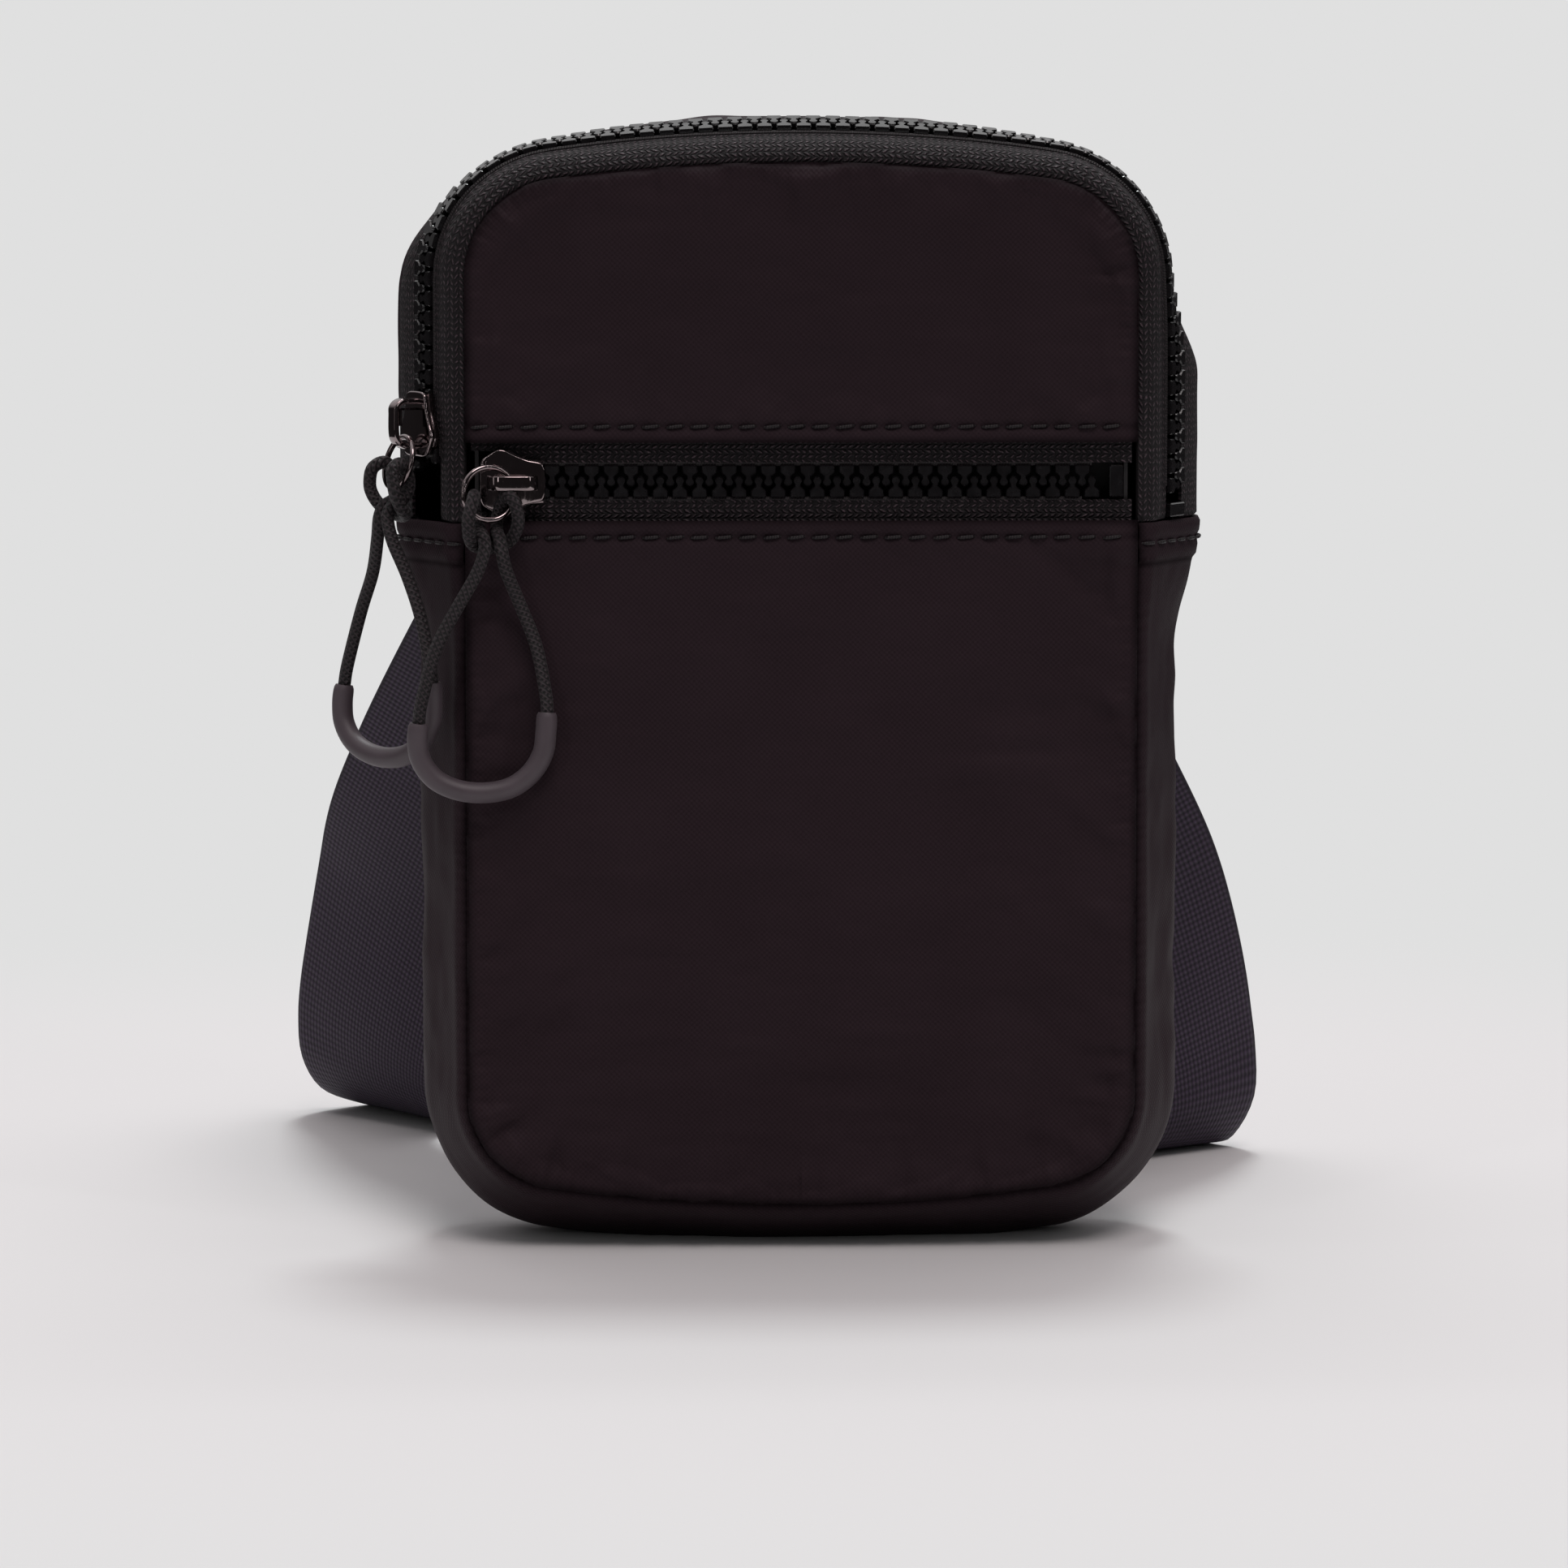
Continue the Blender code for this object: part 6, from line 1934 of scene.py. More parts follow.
@dataclass
class PocketZip(Zip):
    """The pocket zip across the front: two tapes behind the panels' edges and two rows of teeth."""

    slider_x: float = -46.5 * MM
    overlap: float = 4.2 * MM
    seam: float = 2.1 * MM

    def build(self) -> None:
        """Makes both tapes and both rows."""
        shape, back = self.shape, -self.shape.depth / 2
        half = shape.half - 1.0 * MM
        noise = ValueNoise(SEED + 60)
        x, t = np.linspace(-half, half, 260)[:, None], np.linspace(0, 1, 16)[None, :]
        for word, side in (("upper", 1), ("lower", -1)):
            inner = self.half_width + self.bead * 0.6 + self.parting(self.slider_x - x + self.lead)
            off = inner + (shape.mouth / 2 + self.overlap - inner) * t
            z = shape.zip_level + side * off
            # only the part that shows in the mouth is uneven
            seen = np.clip((shape.mouth / 2 - off) / (2.0 * MM), 0, 1)
            wave = noise.layered(x / (7 * MM), off / (3 * MM)) * 0.08 * MM + 0.10 * MM * np.sin(math.pi * t)
            front = back - 0.02 * MM - (wave + 0.05 * MM) * seen
            outer, rear = (np.stack(np.broadcast_arrays(x, y, z), -1) for y in (front, back + self.tape))
            self.lay_tape(f"pocket_tape_{word}", outer, rear, outer[..., [0, 2]])
        self.teeth(back + self.tape / 2)

    def teeth(self, y: float) -> None:
        """Both rows of teeth.

        Args:
            y: How deep the chain's middle lies.
        """
        half = self.shape.half - self.seam - self.stop
        first = half - self.pitch
        count = int((first + half - self.pitch) / self.pitch)
        out = np.tile(FRONT, (count, 1))
        item = tooth_item("pocket_tooth")
        for word, side, lead in (("upper", 1, 0.0), ("lower", -1, self.pitch / 2)):
            x = first - lead - np.arange(count) * self.pitch
            middle = np.stack([x, np.full(count, y), self.shape.zip_level + side * self.parting(self.slider_x - x)], -1)
            along, away = (np.tile(way, (count, 1)) for way in ((float(side), 0.0, 0.0), (0.0, 0.0, float(side))))
            self.mould_row(f"pocket_teeth_{word}", item, middle, along, out, away)
        bpy.data.objects.remove(item)


class Which(Enum):
    """The two sliders."""

    MAIN = "main"
    POCKET = "pocket"


@dataclass(frozen=True)
class SliderSize:
    """The sizes of both sliders with their crowns, rings, cords and grips, the same as the CAD's."""

    length: float = 10.5 * MM
    narrow: float = 6.8 * MM
    wide: float = 10.6 * MM
    nose: float = 6.6 * MM
    inner: float = 1.45 * MM
    plate: float = 0.9 * MM
    slot: float = 0.8 * MM
    crown_half: float = 4.1 * MM
    crown_width: float = 2.4 * MM
    crown_height: float = 4.3 * MM
    bar: float = 0.9 * MM
    hinge: float = 1.8 * MM
    hang: float = 0.6 * MM
    ring_radius: float = 4.25 * MM
    wire: float = 0.47 * MM
    cord: float = 1.05 * MM
    grip: float = 1.7 * MM

    @property
    def outer(self) -> float:
        """How far the plates' outer faces stand off the chain's middle."""
        return self.inner + self.plate


SLIDER = SliderSize()


@dataclass
class SliderSet:
    """A die-cast slider with its crown, wire ring, hitched cord and rubber grip."""

    which: Which
    place: Matrix
    ring: Matrix
    pull: Matrix
    twist: float
    size: SliderSize = SLIDER

    # the pull's course in millimetres across, outwards and up from the ring's wire, on its right side
    HITCH = (
        (1.4, 1.7, -4.8), (1.3, 0.8, -2.9), (1.4, -1.0, -1.9), (1.7, -2.0, -0.2), (2.1, -1.75, 1.8), (2.6, -0.1, 4.0),
        (3.4, 1.8, 3.1), (4.1, 2.0, 0.6), (4.0, 1.5, -1.3), (3.4, 0.3, -3.1), (2.1, -1.2, -4.2), (0.0, -1.7, -4.6),
    )
    RIGHT = (
        (8.8, 0.0, -34.0), (9.0, 0.0, -31.0), (8.8, 0.0, -28.0), (7.4, 0.0, -20.5), (4.9, 0.4, -14.0), (2.4, 1.4, -8.5),
    )
    LEFT = (
        (-2.6, 1.4, -8.5), (-5.5, 0.4, -14.0), (-8.8, 0.0, -20.5), (-11.1, 0.0, -29.0), (-11.6, 0.0, -32.6),
        (-11.8, 0.0, -35.6),
    )
    GRIP = (
        (-11.6, 0.0, -32.6), (-11.8, 0.0, -35.6), (-11.2, 0.0, -38.8), (-9.0, 0.0, -41.7), (-5.5, 0.0, -43.4),
        (-1.3, 0.0, -43.9), (3.0, 0.0, -43.1), (6.3, 0.0, -40.8), (8.3, 0.0, -37.5), (8.8, 0.0, -34.0),
        (9.0, 0.0, -31.0),
    )

    def build(self) -> None:
        """Makes the slider, ring, cord and grip."""
        self.body()
        self.crown()
        self.wire_ring()
        self.cord_and_grip()

    @property
    def across(self) -> Vector:
        """The direction across the slider."""
        return self.place.to_3x3() @ Vector((0, 1, 0))

    def fasten(self, piece: bpy.types.Object, body: str, slot: str, node: str) -> None:
        """Fastens a piece to one of this slider's bodies.

        Args:
            piece: The object.
            body: The body's name without the slider's.
            slot: The record's material slot.
            node: The CAD node that it stands for, without the slider's name.
        """
        put_on(piece, f"{self.which.value}_{body}", slot, f"{self.which.value}_{node}")

    def placed(self, line: Sequence, step: float) -> np.ndarray:
        """The smooth curve through points given in the slider's own axes.

        Args:
            line: The points.
            step: Wanted distance between places, in metres.

        Returns:
            The places as rows.
        """
        return np.array([self.place @ Vector(p) for p in catmull_rom(line, step)])

    def mirrored(self, side: Sequence, step: float) -> np.ndarray:
        """The closed outline whose right half runs smoothly through the given points.

        Args:
            side: Points along and across, from one end on the middle line to the other.
            step: Wanted distance between points, in metres.

        Returns:
            The outline along and across.
        """
        curve = catmull_rom([(a, b, 0.0) for a, b in side], step)[:, :2]
        return np.concatenate([curve[:-1], curve[:0:-1] * [1, -1]])

    def body(self) -> None:
        """The two plates, their rolled side flanges and the wedge between the rows."""
        size = self.size
        half, narrow, wide, nose = size.length / 2, size.narrow, size.wide, size.nose
        # a shield: round narrow end, wide shoulders, concave flare to a square nose
        whole = self.mirrored([
            (-half, 0.0), (-half + 0.10 * MM, narrow * 0.30), (-half + 0.55 * MM, narrow * 0.44),
            (-half + 1.5 * MM, narrow * 0.485), (-half * 0.42, narrow * 0.53), (0.0, wide * 0.425),
            (1.0 * MM, wide * 0.475), (1.9 * MM, wide * 0.497), (2.8 * MM, wide * 0.48),
            (half * 0.72, wide * 0.42), (half - 0.45 * MM, nose * 0.56), (half, nose * 0.36), (half, 0.0),
        ], 0.35 * MM)
        shield = whole[:1]
        for point in whole[1:]:
            if np.linalg.norm(point - shield[-1]) > 0.12 * MM:
                shield = np.concatenate([shield, [point]])
        wedge = self.mirrored([
            (half - 0.3 * MM, 0.0), (half - 0.4 * MM, 0.62 * MM), (half - 1.4 * MM, 0.72 * MM),
            (half - 2.8 * MM, 0.3 * MM), (half - 3.4 * MM, 0.0),
        ], 0.3 * MM)
        parts = [plate(*row[:4], self.place, row[4], NICKEL) for row in (
            ("top", shield, size.inner, size.outer, 0.28 * MM),
            ("low", shield, -size.outer, -size.inner, 0.24 * MM),
            ("wedge", wedge, -size.inner - 0.1 * MM, size.inner + 0.1 * MM, 0.05 * MM),
        )]
        rim = ((-half * 0.93, narrow * 0.44), (-half * 0.42, narrow * 0.49), (0.6 * MM, wide * 0.43),
               (2.4 * MM, wide * 0.455), (half * 0.66, wide * 0.40))
        flange = rounded_box(0.7 * MM, size.inner - size.slot + 0.25 * MM, 0.15 * MM, 2)
        for turn, upper in ((1, 1), (1, -1), (-1, 1), (-1, -1)):
            level = upper * (size.inner + size.slot) / 2
            path = self.placed([(a, b * turn, level) for a, b in rim], 0.4 * MM)
            parts.append(sweep("flange", path, flange, NICKEL, first=self.across))
        piece = joined(f"{self.which.value}_slider_cast", parts)
        piece.data.shade_smooth()
        piece.data.set_sharp_from_angle(angle=math.radians(32))
        self.fasten(piece, "slider", "gunmetal", "slider_body")

    def crown(self) -> None:
        """The arched bridge that holds the ring, flat on top with rolled ends."""
        size = self.size
        outer, half = size.outer, size.crown_half - size.bar / 2
        top = outer + size.crown_height - size.bar * 0.5
        line = [
            (-half, 0.0, outer - 0.1 * MM), (-half, 0.0, outer + 1.0 * MM), (-half + 0.05 * MM, 0.0, top - 1.1 * MM),
            (-half + 0.9 * MM, 0.0, top - 0.1 * MM), (-half + 2.2 * MM, 0.0, top), (half - 2.4 * MM, 0.0, top),
            (half - 1.0 * MM, 0.0, top - 0.35 * MM), (half - 0.1 * MM, 0.0, top - 1.6 * MM),
            (half, 0.0, outer + 1.0 * MM), (half, 0.0, outer - 0.1 * MM),
        ]
        profile = rounded_box(size.crown_width, size.bar, 0.26 * MM, 3)
        name = f"{self.which.value}_crown_bridge"
        self.fasten(sweep(name, self.placed(line, 0.22 * MM), profile, NICKEL, first=self.across),
                    "slider", "gunmetal", "slider_crown")

    def wire_ring(self) -> None:
        """The round wire ring, with the seam where its wire was closed."""
        turn = np.linspace(0, 2 * math.pi, 96, endpoint=False)
        radius = self.size.ring_radius
        path = np.array([self.ring @ Vector((math.cos(t) * radius, math.sin(t) * radius, 0.0)) for t in turn])
        seam = 1 - 0.10 * bump(turn - 2.2, 0.035)
        name = f"{self.which.value}_ring_wire"
        piece = sweep(name, path, circle(self.size.wire, 16), NICKEL, closed=True, scales=seam)
        self.fasten(piece, "ring", "gunmetal", "pull_ring")

    def turned(self, points: Sequence[Sequence[float]]) -> np.ndarray:
        """Places of the pull, turned more the lower it hangs.

        Args:
            points: Millimetres across, outwards and up from the ring's wire.

        Returns:
            Places in metres.
        """
        lowest = min(p[2] for p in self.GRIP)
        found = []
        for across, outward, up in points:
            turn = self.twist * float(smooth_step(up / lowest))
            c, s = math.cos(turn), math.sin(turn)
            found.append(self.pull @ (Vector((across * c - outward * s, across * s + outward * c, up)) * MM))
        return np.array(found)

    def cord_and_grip(self) -> None:
        """The braided cord, hitched on the ring, and the moulded U that holds its two ends."""
        prefix, size = self.which.value, self.size
        mirrored = tuple((-x, y, z) for x, y, z in reversed(self.HITCH[:-1]))
        path = catmull_rom(self.turned(self.RIGHT + self.HITCH + mirrored + self.LEFT), 0.4 * MM)
        cord = sweep(f"{prefix}_cord_braid", path, circle(size.cord, 16), CORD, angle=80.0)
        self.fasten(cord, "pull", "braided_cord", "pull_cord")
        path = catmull_rom(self.turned(self.GRIP), 0.5 * MM)
        # the tube's ends are rounded in over the cord
        ends = np.minimum(np.arange(len(path)), np.arange(len(path))[::-1])
        scales = 1 - 0.17 * np.exp(-ends / 0.8)
        grip = sweep(f"{prefix}_grip_tube", path, circle(size.grip, 24), RUBBER, scales=scales, angle=60.0)
        self.fasten(grip, "pull", "grip_rubber", "pull_grip")


def frame_of(origin: Sequence, along: Sequence, across: Sequence, out: Sequence) -> Matrix:
    """A frame with its origin and three directions."""
    return Matrix.Translation(Vector(origin)) @ Matrix((along, across, out)).transposed().to_4x4()


def slider_sets(zipped: MainZip) -> list:
    """Both sliders with their rings and pulls, where the CAD has them.

    Args:
        zipped: The main zip, whose chain the main slider lies on.

    Returns:
        The slider sets.
    """
    size, shape = SLIDER, SHAPE
    radius, lift = size.ring_radius, size.outer + size.hinge
    up, out, left = Vector(UP), Vector(FRONT), Vector((-1.0, 0.0, 0.0))
    # the pocket's ring leans down to the left, and the pull hangs from its lowest place
    middle = (PocketZip.slider_x, PocketZip.tape / 2 - shape.depth / 2, shape.zip_level)
    place = frame_of(middle, left, out.cross(left), out)
    turn, tilt, leaning, twist = (math.radians(a) for a in (24.0, 18.0, 16.0, -19.0))
    towards = Vector((-math.cos(turn), 0.0, -math.sin(turn)))
    lifted = towards * math.cos(tilt) + out * math.sin(tilt)
    axis = out.cross(towards)
    ring = frame_of(place @ Vector((0.0, 0.0, lift)) + lifted * radius, lifted, axis, lifted.cross(axis))
    normal = ring.col[2].xyz
    drop = Vector(DOWN)
    drop = (drop - normal * drop.dot(normal)).normalized()
    across = up.cross(normal).normalized()
    across = -across if across.x < 0 else across
    pull = frame_of(ring.translation + drop * radius, across, across.cross(up), up)
    pocket = SliderSet(Which.POCKET, place, ring, pull, math.atan2(across.y, across.x))
    # the main ring hangs under the crown's lower end
    at = zipped.path[0][-1] - zipped.slider_end
    middle, _, side, outward = (Vector(v[0]) for v in zipped.frames(np.array([at])))
    place = frame_of(middle, DOWN, outward.cross(Vector(DOWN)), outward)
    hinge = place @ Vector((size.crown_half - size.bar - size.hang - size.wire, 0.0, lift))
    lean = Matrix.Rotation(-leaning, 4, "Y")
    ring = Matrix.Translation(hinge) @ place.to_3x3().to_4x4() @ lean @ Matrix.Translation((radius, 0.0, 0.0))
    pull = frame_of(ring @ Vector((radius, 0.0, 0.0)), side if side.x > 0 else -side, outward, UP)
    return [pocket, SliderSet(Which.MAIN, place, ring, pull, twist)]


# ---------------------------------------------------------------- strap

@dataclass
class Strap:
    """The webbing strap along the CAD's course, with its rings."""

    width: float = 38.0 * MM
    thick: float = 1.05 * MM
    layer: float = 0.78 * MM
    cad_thick: float = 1.2 * MM
    step: float = 6.2 * MM
    ring_wire: float = 1.2 * MM
    ring_width: float = 40.4 * MM
    ring_height: float = 13.0 * MM
    ring_corner: float = 2.4 * MM
    ring_x: float = 33.0 * MM
    ring_top: float = 147.4 * MM
    sewn: float = 28.0 * MM
    glide_at: float = 253.6 * MM
    glide_tail: float = 24.0 * MM
    glide: float = 24.0 * MM
    standoff: float = 3.4 * MM
    mid_bar: float = 3.0 * MM
    glide_thick: float = 2.0 * MM
    spread: float = 6.0 * MM
    gap: float = 0.3 * MM
    edge: float = 0.5 * MM
    lowest: float = 0.2 * MM
    fine: float = 1.5 * MM
    parted: float = 0.644
    bend_low: float = 82.0 * MM
    bend_high: float = 127.0 * MM

    # the band's course behind the pouch: millimetres, then the way its width points
    ROUTE = (
        (-33.0, 25.8, 125.8, 1.0, 0.0, 0.0), (-33.2, 31.8, 117.8, 0.997, -0.04, 0.0),
        (-44.3, 52.0, 96.0, 0.955, -0.26, -0.1), (-61.2, 84.0, 62.5, 0.85, -0.51, -0.13),
        (-69.6, 103.6, 40.7, 0.74, -0.65, -0.12), (-74.9, 115.5, 18.0, 0.65, -0.74, -0.07),
        (-73.5, 122.0, 6.2, 0.61, -0.78, -0.02), (-66.0, 129.5, 1.7, 0.59, -0.81, 0.0),
        (-56.0, 135.5, 3.2, 0.57, -0.8, 0.18), (-43.0, 139.5, 11.0, 0.4, -0.62, 0.67),
        (-29.0, 140.8, 20.0, 0.08, -0.16, 0.985), (-15.0, 138.0, 22.6, 0.0, 0.0, 1.0),
        (1.0, 133.0, 22.8, 0.0, 0.0, 1.0), (17.0, 128.0, 22.6, 0.0, 0.0, 1.0),
        (30.0, 119.0, 19.8, -0.08, -0.06, 0.99), (42.5, 106.0, 11.0, -0.56, -0.42, 0.71),
        (54.0, 93.0, 4.2, -0.76, -0.6, 0.24), (62.0, 82.2, 1.7, -0.776, -0.63, 0.0),
        (66.8, 77.0, 6.2, -0.79, -0.61, -0.02), (66.4, 73.8, 18.0, -0.83, -0.55, -0.07),
        (57.8, 61.6, 47.0, -0.93, -0.35, -0.1), (43.6, 45.8, 76.5, -0.98, -0.17, -0.08),
        (36.1, 34.2, 104.0, -0.998, -0.05, 0.0), (33.2, 29.0, 117.8, -1.0, 0.0, 0.0),
        (33.0, 25.0, 125.2, -1.0, 0.0, 0.0),
    )

    @property
    def ring_y(self) -> float:
        """How far back the rings' wires stand."""
        return SHAPE.face + self.gap * 2 + self.cad_thick + self.gap + self.ring_wire

    def line(self) -> np.ndarray:
        """The strap's middle line from ring to ring, as rows of place and width direction.

        Returns:
            The rows.
        """
        away, level = self.ring_y, self.ring_top - self.ring_height - self.ring_wire * 2
        rows = [(a * MM, b * MM, c * MM, *wide) for a, b, c, *wide in self.ROUTE]
        rows = [(-self.ring_x, away, level, 1.0, 0.0, 0.0), *rows, (self.ring_x, away, level, -1.0, 0.0, 0.0)]
        return catmull_rom(rows, self.step / 2)

    def layers(self, total: float) -> list:
        """The webbing's course round both rings and the adjuster, against the middle line.

        Args:
            total: The middle line's length.

        Returns:
            For each place, its distance along the middle line and its height over it.
        """
        wrap = self.ring_wire + self.gap + self.cad_thick / 2
        off = self.standoff
        beside = self.mid_bar / 2 + self.gap + self.cad_thick / 2
        around = self.glide_thick / 2 + self.gap + self.cad_thick / 2
        layer = self.cad_thick + self.gap
        at, glide = self.glide_at, self.glide
        tail = -self.layer - layer

        def ring_spread(away: float) -> float:
            """How far a layer stands off the middle line, by its distance from a ring."""
            return self.layer + (wrap - self.layer) * math.exp(-away / self.spread)

        def spaced(first: float, last: float, pieces: int) -> list:
            """Even steps from one distance to another."""
            return [first + (last - first) * i / pieces for i in range(pieces + 1)]

        def half_turn(away: float, start: float, end: float) -> list:
            """The places of a half turn round a ring's wire."""
            return [(away + wrap * math.cos(t), wrap * math.sin(t)) for t in spaced(start, end, 8)]

        run = spaced(at + glide * 0.75, total - self.step / 4, int((total - at) / self.step))
        # the tail, the turn round the adjuster's middle bar, and the way out to the far ring
        places = [(s, tail) for s in reversed(run) if s < at + glide / 2 + self.glide_tail]
        places += [(at + glide / 2, tail), (at + glide * 0.25, tail), (at + beside * 0.6, off - around * 1.9)]
        turn = ((-0.5, -1.15), (-1.0, -0.6), (-1.0, 0.4), (-0.65, 1.0), (0.65, 1.0), (1.0, 0.4), (1.1, -0.5))
        places += [(at + beside * a, off + around * b) for a, b in turn]
        places += [(at + glide * 0.18, off - around * 1.4), (at + glide * 0.28, -self.layer + self.gap),
                   (at + glide * 0.38, -self.layer), (at + glide / 2, -self.layer)]
        places += [(s, -ring_spread(total - s)) for s in run]
        places += half_turn(total, -math.pi / 2, math.pi / 2)
        # back over the adjuster to the near ring, and its sewn end
        places += [(s, ring_spread(total - s)) for s in reversed(run)]
        places.append((at + glide / 2, self.layer))
        over = off + around + layer
        crossing = [(glide * 0.40, self.layer), (glide * 0.30, off - around * 0.75), (glide * 0.22, off + around * 0.6),
                    (glide * 0.15, over - layer * 0.4), (glide * 0.08, over)]
        places += [(at + s, n) for s, n in crossing]
        places += [(at - s, n) for s, n in reversed(crossing)]
        near = at - glide / 2
        sewn = spaced(self.step / 4, self.sewn, int(self.sewn / self.step))
        run = sewn + spaced(self.sewn, near, int((near - self.sewn) / self.step))[1:]
        places += [(s, ring_spread(s)) for s in reversed(run)]
        places += [(-s, n) for s, n in half_turn(0.0, math.pi / 2, -math.pi / 2)]
        return places + [(s, -ring_spread(s)) for s in sewn]

    def course(self) -> np.ndarray:
        """The webbing's course round both rings and the adjuster, as rows of place and width direction.

        Returns:
            The rows.
        """
        line = self.line()
        length = run_of(line[:, :3])
        total, last = float(length[-1]), len(line) - 1
        rows = []
        for s, n in self.layers(total):
            inside = min(max(s, 0.0), total)
            i = max(min(int(np.searchsorted(length, inside, side="left")) - 1, last - 1), 0)
            t = (inside - length[i]) / (length[i + 1] - length[i])
            here = line[i] + (line[i + 1] - line[i]) * t
            along = unit(line[min(last, i + 2), :3] - line[max(0, i - 1), :3])
            wide = unit(here[3:] - along * here[3:].dot(along))
            rows.append(np.concatenate([here[:3] + along * (s - inside) + np.cross(along, wide) * n, wide]))
        return np.array(rows)

    def smoothed(self, course: np.ndarray) -> np.ndarray:
        """The course with rows a small step apart. Each span's tangents are short, so close places don't overshoot.

        Args:
            course: Rows of place and width direction.

        Returns:
            The rows.
        """
        rows = []
        padded = [course[0], *course, course[-1]]
        for before, start, end, after in zip(padded, padded[1:], padded[2:], padded[3:]):
            span, back, ahead = (
                max(float(np.linalg.norm((b - a)[:3])), 1e-6) for a, b in ((start, end), (before, end), (start, after))
            )
            left, right = (end - before) / back * span, (after - start) / ahead * span
            pieces = max(1, round(span / self.fine))
            for t in np.arange(pieces) / pieces:
                rows.append((2 * t**3 - 3 * t**2 + 1) * start + (t**3 - 2 * t**2 + t) * left
                            + (-2 * t**3 + 3 * t**2) * end + (t**3 - t**2) * right)
        return np.array(rows + [course[-1]])

    def build(self) -> None:
        """Makes the webbing and its rings."""
        rows = self.smoothed(self.course())
        place, wide = rows[:, :3], unit(rows[:, 3:])
        face = unit(np.cross(unit(np.gradient(place, axis=0)), wide))
        run = run_of(place)
        half = self.width / 2
        across = np.concatenate([[-1.0], np.linspace(-0.985, 0.985, 23), [1.0]])
        # the band's edges are round
        inside = (np.abs(across) * half - (half - self.edge)).clip(0)
        edge = np.clip(np.sqrt(np.maximum(1 - inside**2 / self.edge**2, 0)), 0.25, 1)
        shift = across[None, :] * half
        wave = ValueNoise(SEED + 70).layered(run[:, None] / (30 * MM), shift / (30 * MM)) * 0.05 * MM
        skins = []
        for turn in (1, -1):
            off = (turn * self.thick / 2) * edge[None, :] + wave
            skin = place[:, None] + wide[:, None] * shift[..., None] + face[:, None] * off[..., None]
            skin[..., 2] = np.maximum(skin[..., 2], self.lowest if turn > 0 else 0.0)
            skins.append(skin)
        metres = np.stack(np.broadcast_arrays(run[:, None], shift), -1)
        # the band is parted where it runs through the adjuster, into a right and a left piece
        middle = int(np.searchsorted(run, run[-1] * self.parted))
        for word, side, body, part in (
            ("right", 1, "strap_ring_r", slice(0, middle + 1)), ("left", -1, "strap_ring_l", slice(middle, None)),
        ):
            piece = cloth_body(f"strap_webbing_woven_{word}", skins[0][part], skins[1][part], metres[part], WEBBING)
            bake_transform(piece)
            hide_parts("strap_webbing")
        self.rings()

    def rings(self) -> None:
        """Both rectangular wire rings with round corners."""
        half, tall = self.ring_width / 2 + self.ring_wire, self.ring_height + 2 * self.ring_wire
        corner = self.ring_corner
        for side, word, body in ((-1, "left", "strap_ring_l"), (1, "right", "strap_ring_r")):
            path = []
            for x, z, turn in (
                (half - corner, -corner, 0), (corner - half, -corner, 1), (corner - half, corner - tall, 2),
                (half - corner, corner - tall, 3),
            ):
                for t in np.linspace(0, math.pi / 2, 10) + math.pi / 2 * turn:
                    path.append((side * self.ring_x + x + corner * math.cos(t), self.ring_y,
                                 self.ring_top + z + corner * math.sin(t)))
            piece = sweep(f"strap_ring_{word}_wire", np.array(path), circle(self.ring_wire, 16), NICKEL, closed=True)
            put_on(piece, body, "gunmetal", f"strap_ring_{word}")


# ---------------------------------------------------------------- stage

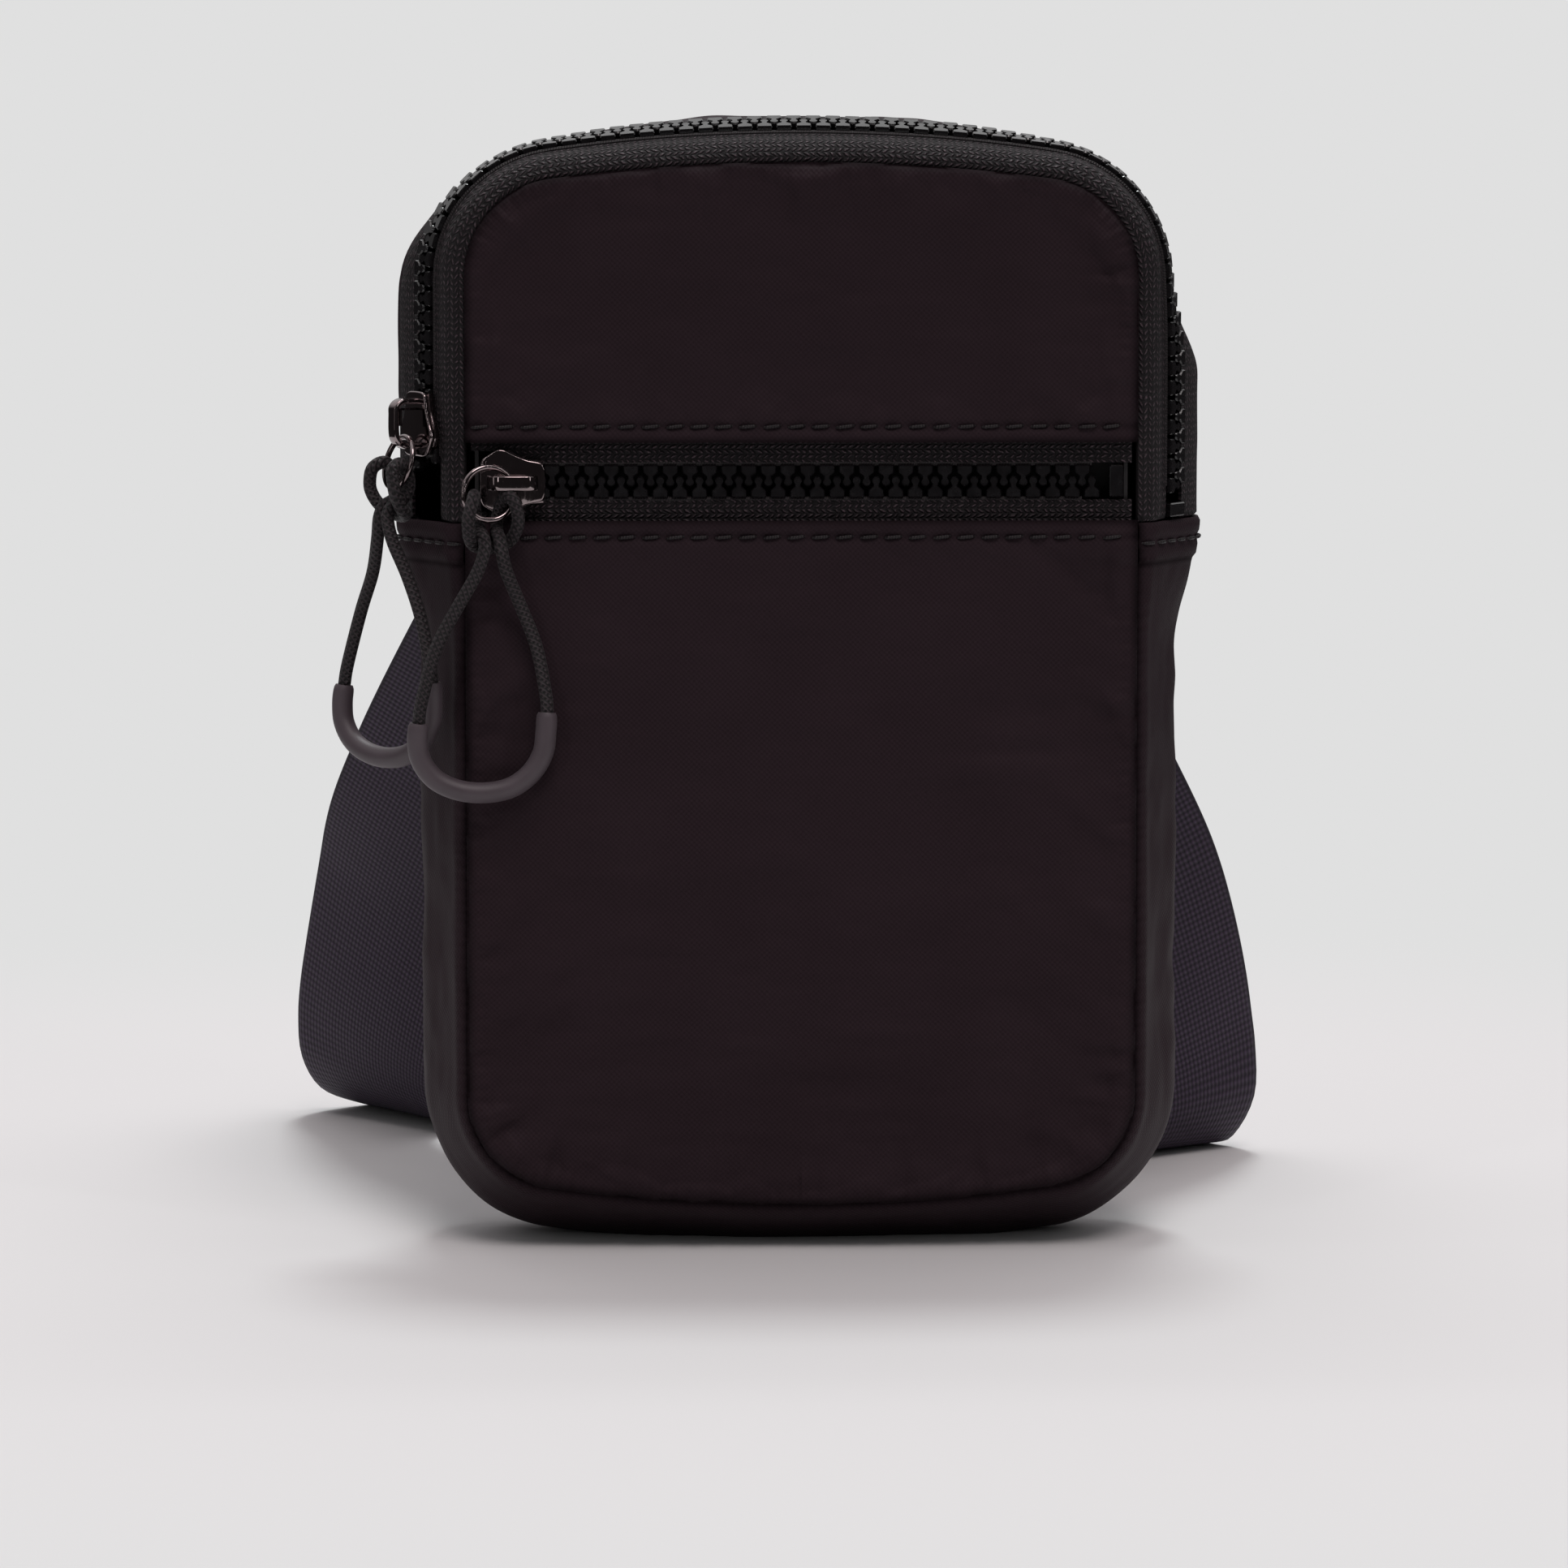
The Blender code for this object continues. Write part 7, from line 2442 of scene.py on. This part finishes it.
@dataclass
class Stage:
    """Camera, paper floor and soft light."""

    eye: tuple = (-27.0, -1119.0, 187.5)
    aim: tuple = (-2.9, -19.0, 76.4)
    lens: float = 157.27
    sensor: float = 36.0
    clip: tuple = (0.05, 20.0)
    high: float = 1.1
    front: float = 0.95
    ambient: float = 0.03
    above: float = 0.8
    reach: float = 0.52
    back: float = 0.03
    lit: tuple = (0.0, 0.0, 0.09)

    def placed(self, name: str, data: bpy.types.ID, place: Sequence, towards: Sequence) -> bpy.types.Object:
        """Stands a camera or lamp.

        Args:
            name: The object's name.
            data: The camera or lamp.
            place: Where it stands.
            towards: The direction it looks in.

        Returns:
            The object.
        """
        made = linked(name, data)
        made.location = place
        made.rotation_euler = Vector(towards).to_track_quat("-Z", "Y").to_euler()
        return made

    def camera(self) -> None:
        """Stands the camera where the photograph was taken."""
        data = bpy.data.cameras.new("camera")
        data.lens, data.sensor_width = self.lens, self.sensor
        data.clip_start, data.clip_end = self.clip
        eye, aim = Vector(self.eye) * MM, Vector(self.aim) * MM
        bpy.context.scene.camera = self.placed("camera", data, eye, aim - eye)

    def floor(self) -> None:
        """A sheet of paper whose edge has the background's own tone, so it never shows."""
        reach = np.linspace(-self.reach, self.reach, 5)
        places = [(x, y + self.back, 0.0) for y in reach for x in reach]
        mesh = mesh_of("paper_floor", np.array(places), grid_faces(5, 5))
        new_object("paper_floor", mesh, PAPER, 80.0)

    def light(self) -> None:
        """A high light a little behind, a weak broad one in front, strips for the metal, and a pale background."""
        for name, towards, strength, angle, colour in (
            ("high", (-0.04, -0.36, -1.0), self.high, 13.0, "#fbffff"),
            ("front", (-0.12, 0.60, -0.95), self.front, 24.0, "#fff4f4"),
        ):
            data = bpy.data.lights.new(name, "SUN")
            data.energy, data.angle = strength, math.radians(angle)
            data.color = linear(colour)[:3]
            self.placed(name, data, (0.0, 0.0, 0.0), towards)
        for name, place, size, power in (
            ("strip_left", (-0.62, -1.0, 0.50), (0.05, 0.7), 0.8),
            ("strip_right", (0.80, -0.8, 0.55), (0.05, 0.7), 0.9),
            ("side_left", (-1.20, -0.30, 0.30), (0.25, 0.6), 0.30),
            ("strip_top", (0.0, 0.70, 1.2), (1.3, 0.12), 2.0),
        ):
            data = bpy.data.lights.new(name, "AREA")
            data.shape, data.energy = "RECTANGLE", power
            data.size, data.size_y = size
            self.placed(name, data, place, Vector(self.lit) - Vector(place))
        self.surround()
        bpy.context.scene.view_settings.view_transform = "Standard"

    def surround(self) -> None:
        """A room that is dark behind the camera, bright above and behind the object, and pale where it is seen."""
        world = bpy.data.worlds.new("surrounding")
        bpy.context.scene.world = world
        world.use_nodes = True
        world.node_tree.nodes.clear()
        node = partial(add_node, world.node_tree)
        direction = node("TexCoord", out="Generated")
        facing = node("VectorMath DOT_PRODUCT", direction, (0.0, 0.30, 0.95), out="Value")
        rise = node("MapRange", facing, 0.25, 0.95, self.ambient, self.above, interpolation_type="SMOOTHSTEP")
        room = node("Background", linear("#efe9ec"), rise)
        pale = node("Background", linear("#e0e0e0"))
        # metal shows the pale background too, but not the dark room behind the camera
        ray = node("LightPath").node.outputs
        mirrored = node("Math ADD", ray["Is Glossy Ray"], ray["Is Transmission Ray"])
        behind = node("MapRange", facing, 0.28, 0.80, interpolation_type="SMOOTHSTEP")
        share = node("Math MULTIPLY_ADD", mirrored, behind, ray["Is Camera Ray"])
        node("OutputWorld", node("MixShader", share, room, pale))


def dress_carried_nodes() -> None:
    """Gives the CAD nodes whose shapes stay their real finishes."""
    for name, finish in (
        ("main_lock_spring", NICKEL), ("pocket_lock_spring", NICKEL), ("strap_adjuster", NICKEL),
        ("main_end_stop", ACETAL), ("pocket_end_stop", ACETAL),
    ):
        node = frame["nodes"][name]
        if not node.material_slots:
            node.data.materials.append(finish.material())
        for slot in node.material_slots:
            slot.material = finish.material()


def main() -> None:
    """Builds the camera, strap, sliders, zips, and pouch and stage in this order."""
    logging.basicConfig(level=logging.INFO, format="%(message)s")
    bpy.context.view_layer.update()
    stage, scatter = Stage(), Scatter()
    main_zip = MainZip(scatter)
    for what, build in (
        ("camera", stage.camera),
        ("strap", Strap().build),
        *((f"{made.which.value} slider", made.build) for made in slider_sets(main_zip)),
        ("main zip", main_zip.build),
        ("pocket zip", PocketZip(scatter).build),
        ("pouch", Pouch(scatter).build),
        ("carried nodes", dress_carried_nodes),
        ("floor", stage.floor),
        ("light", stage.light),
    ):
        build()
        log.info("built %s", what)


if __name__ == "__main__":
    main()
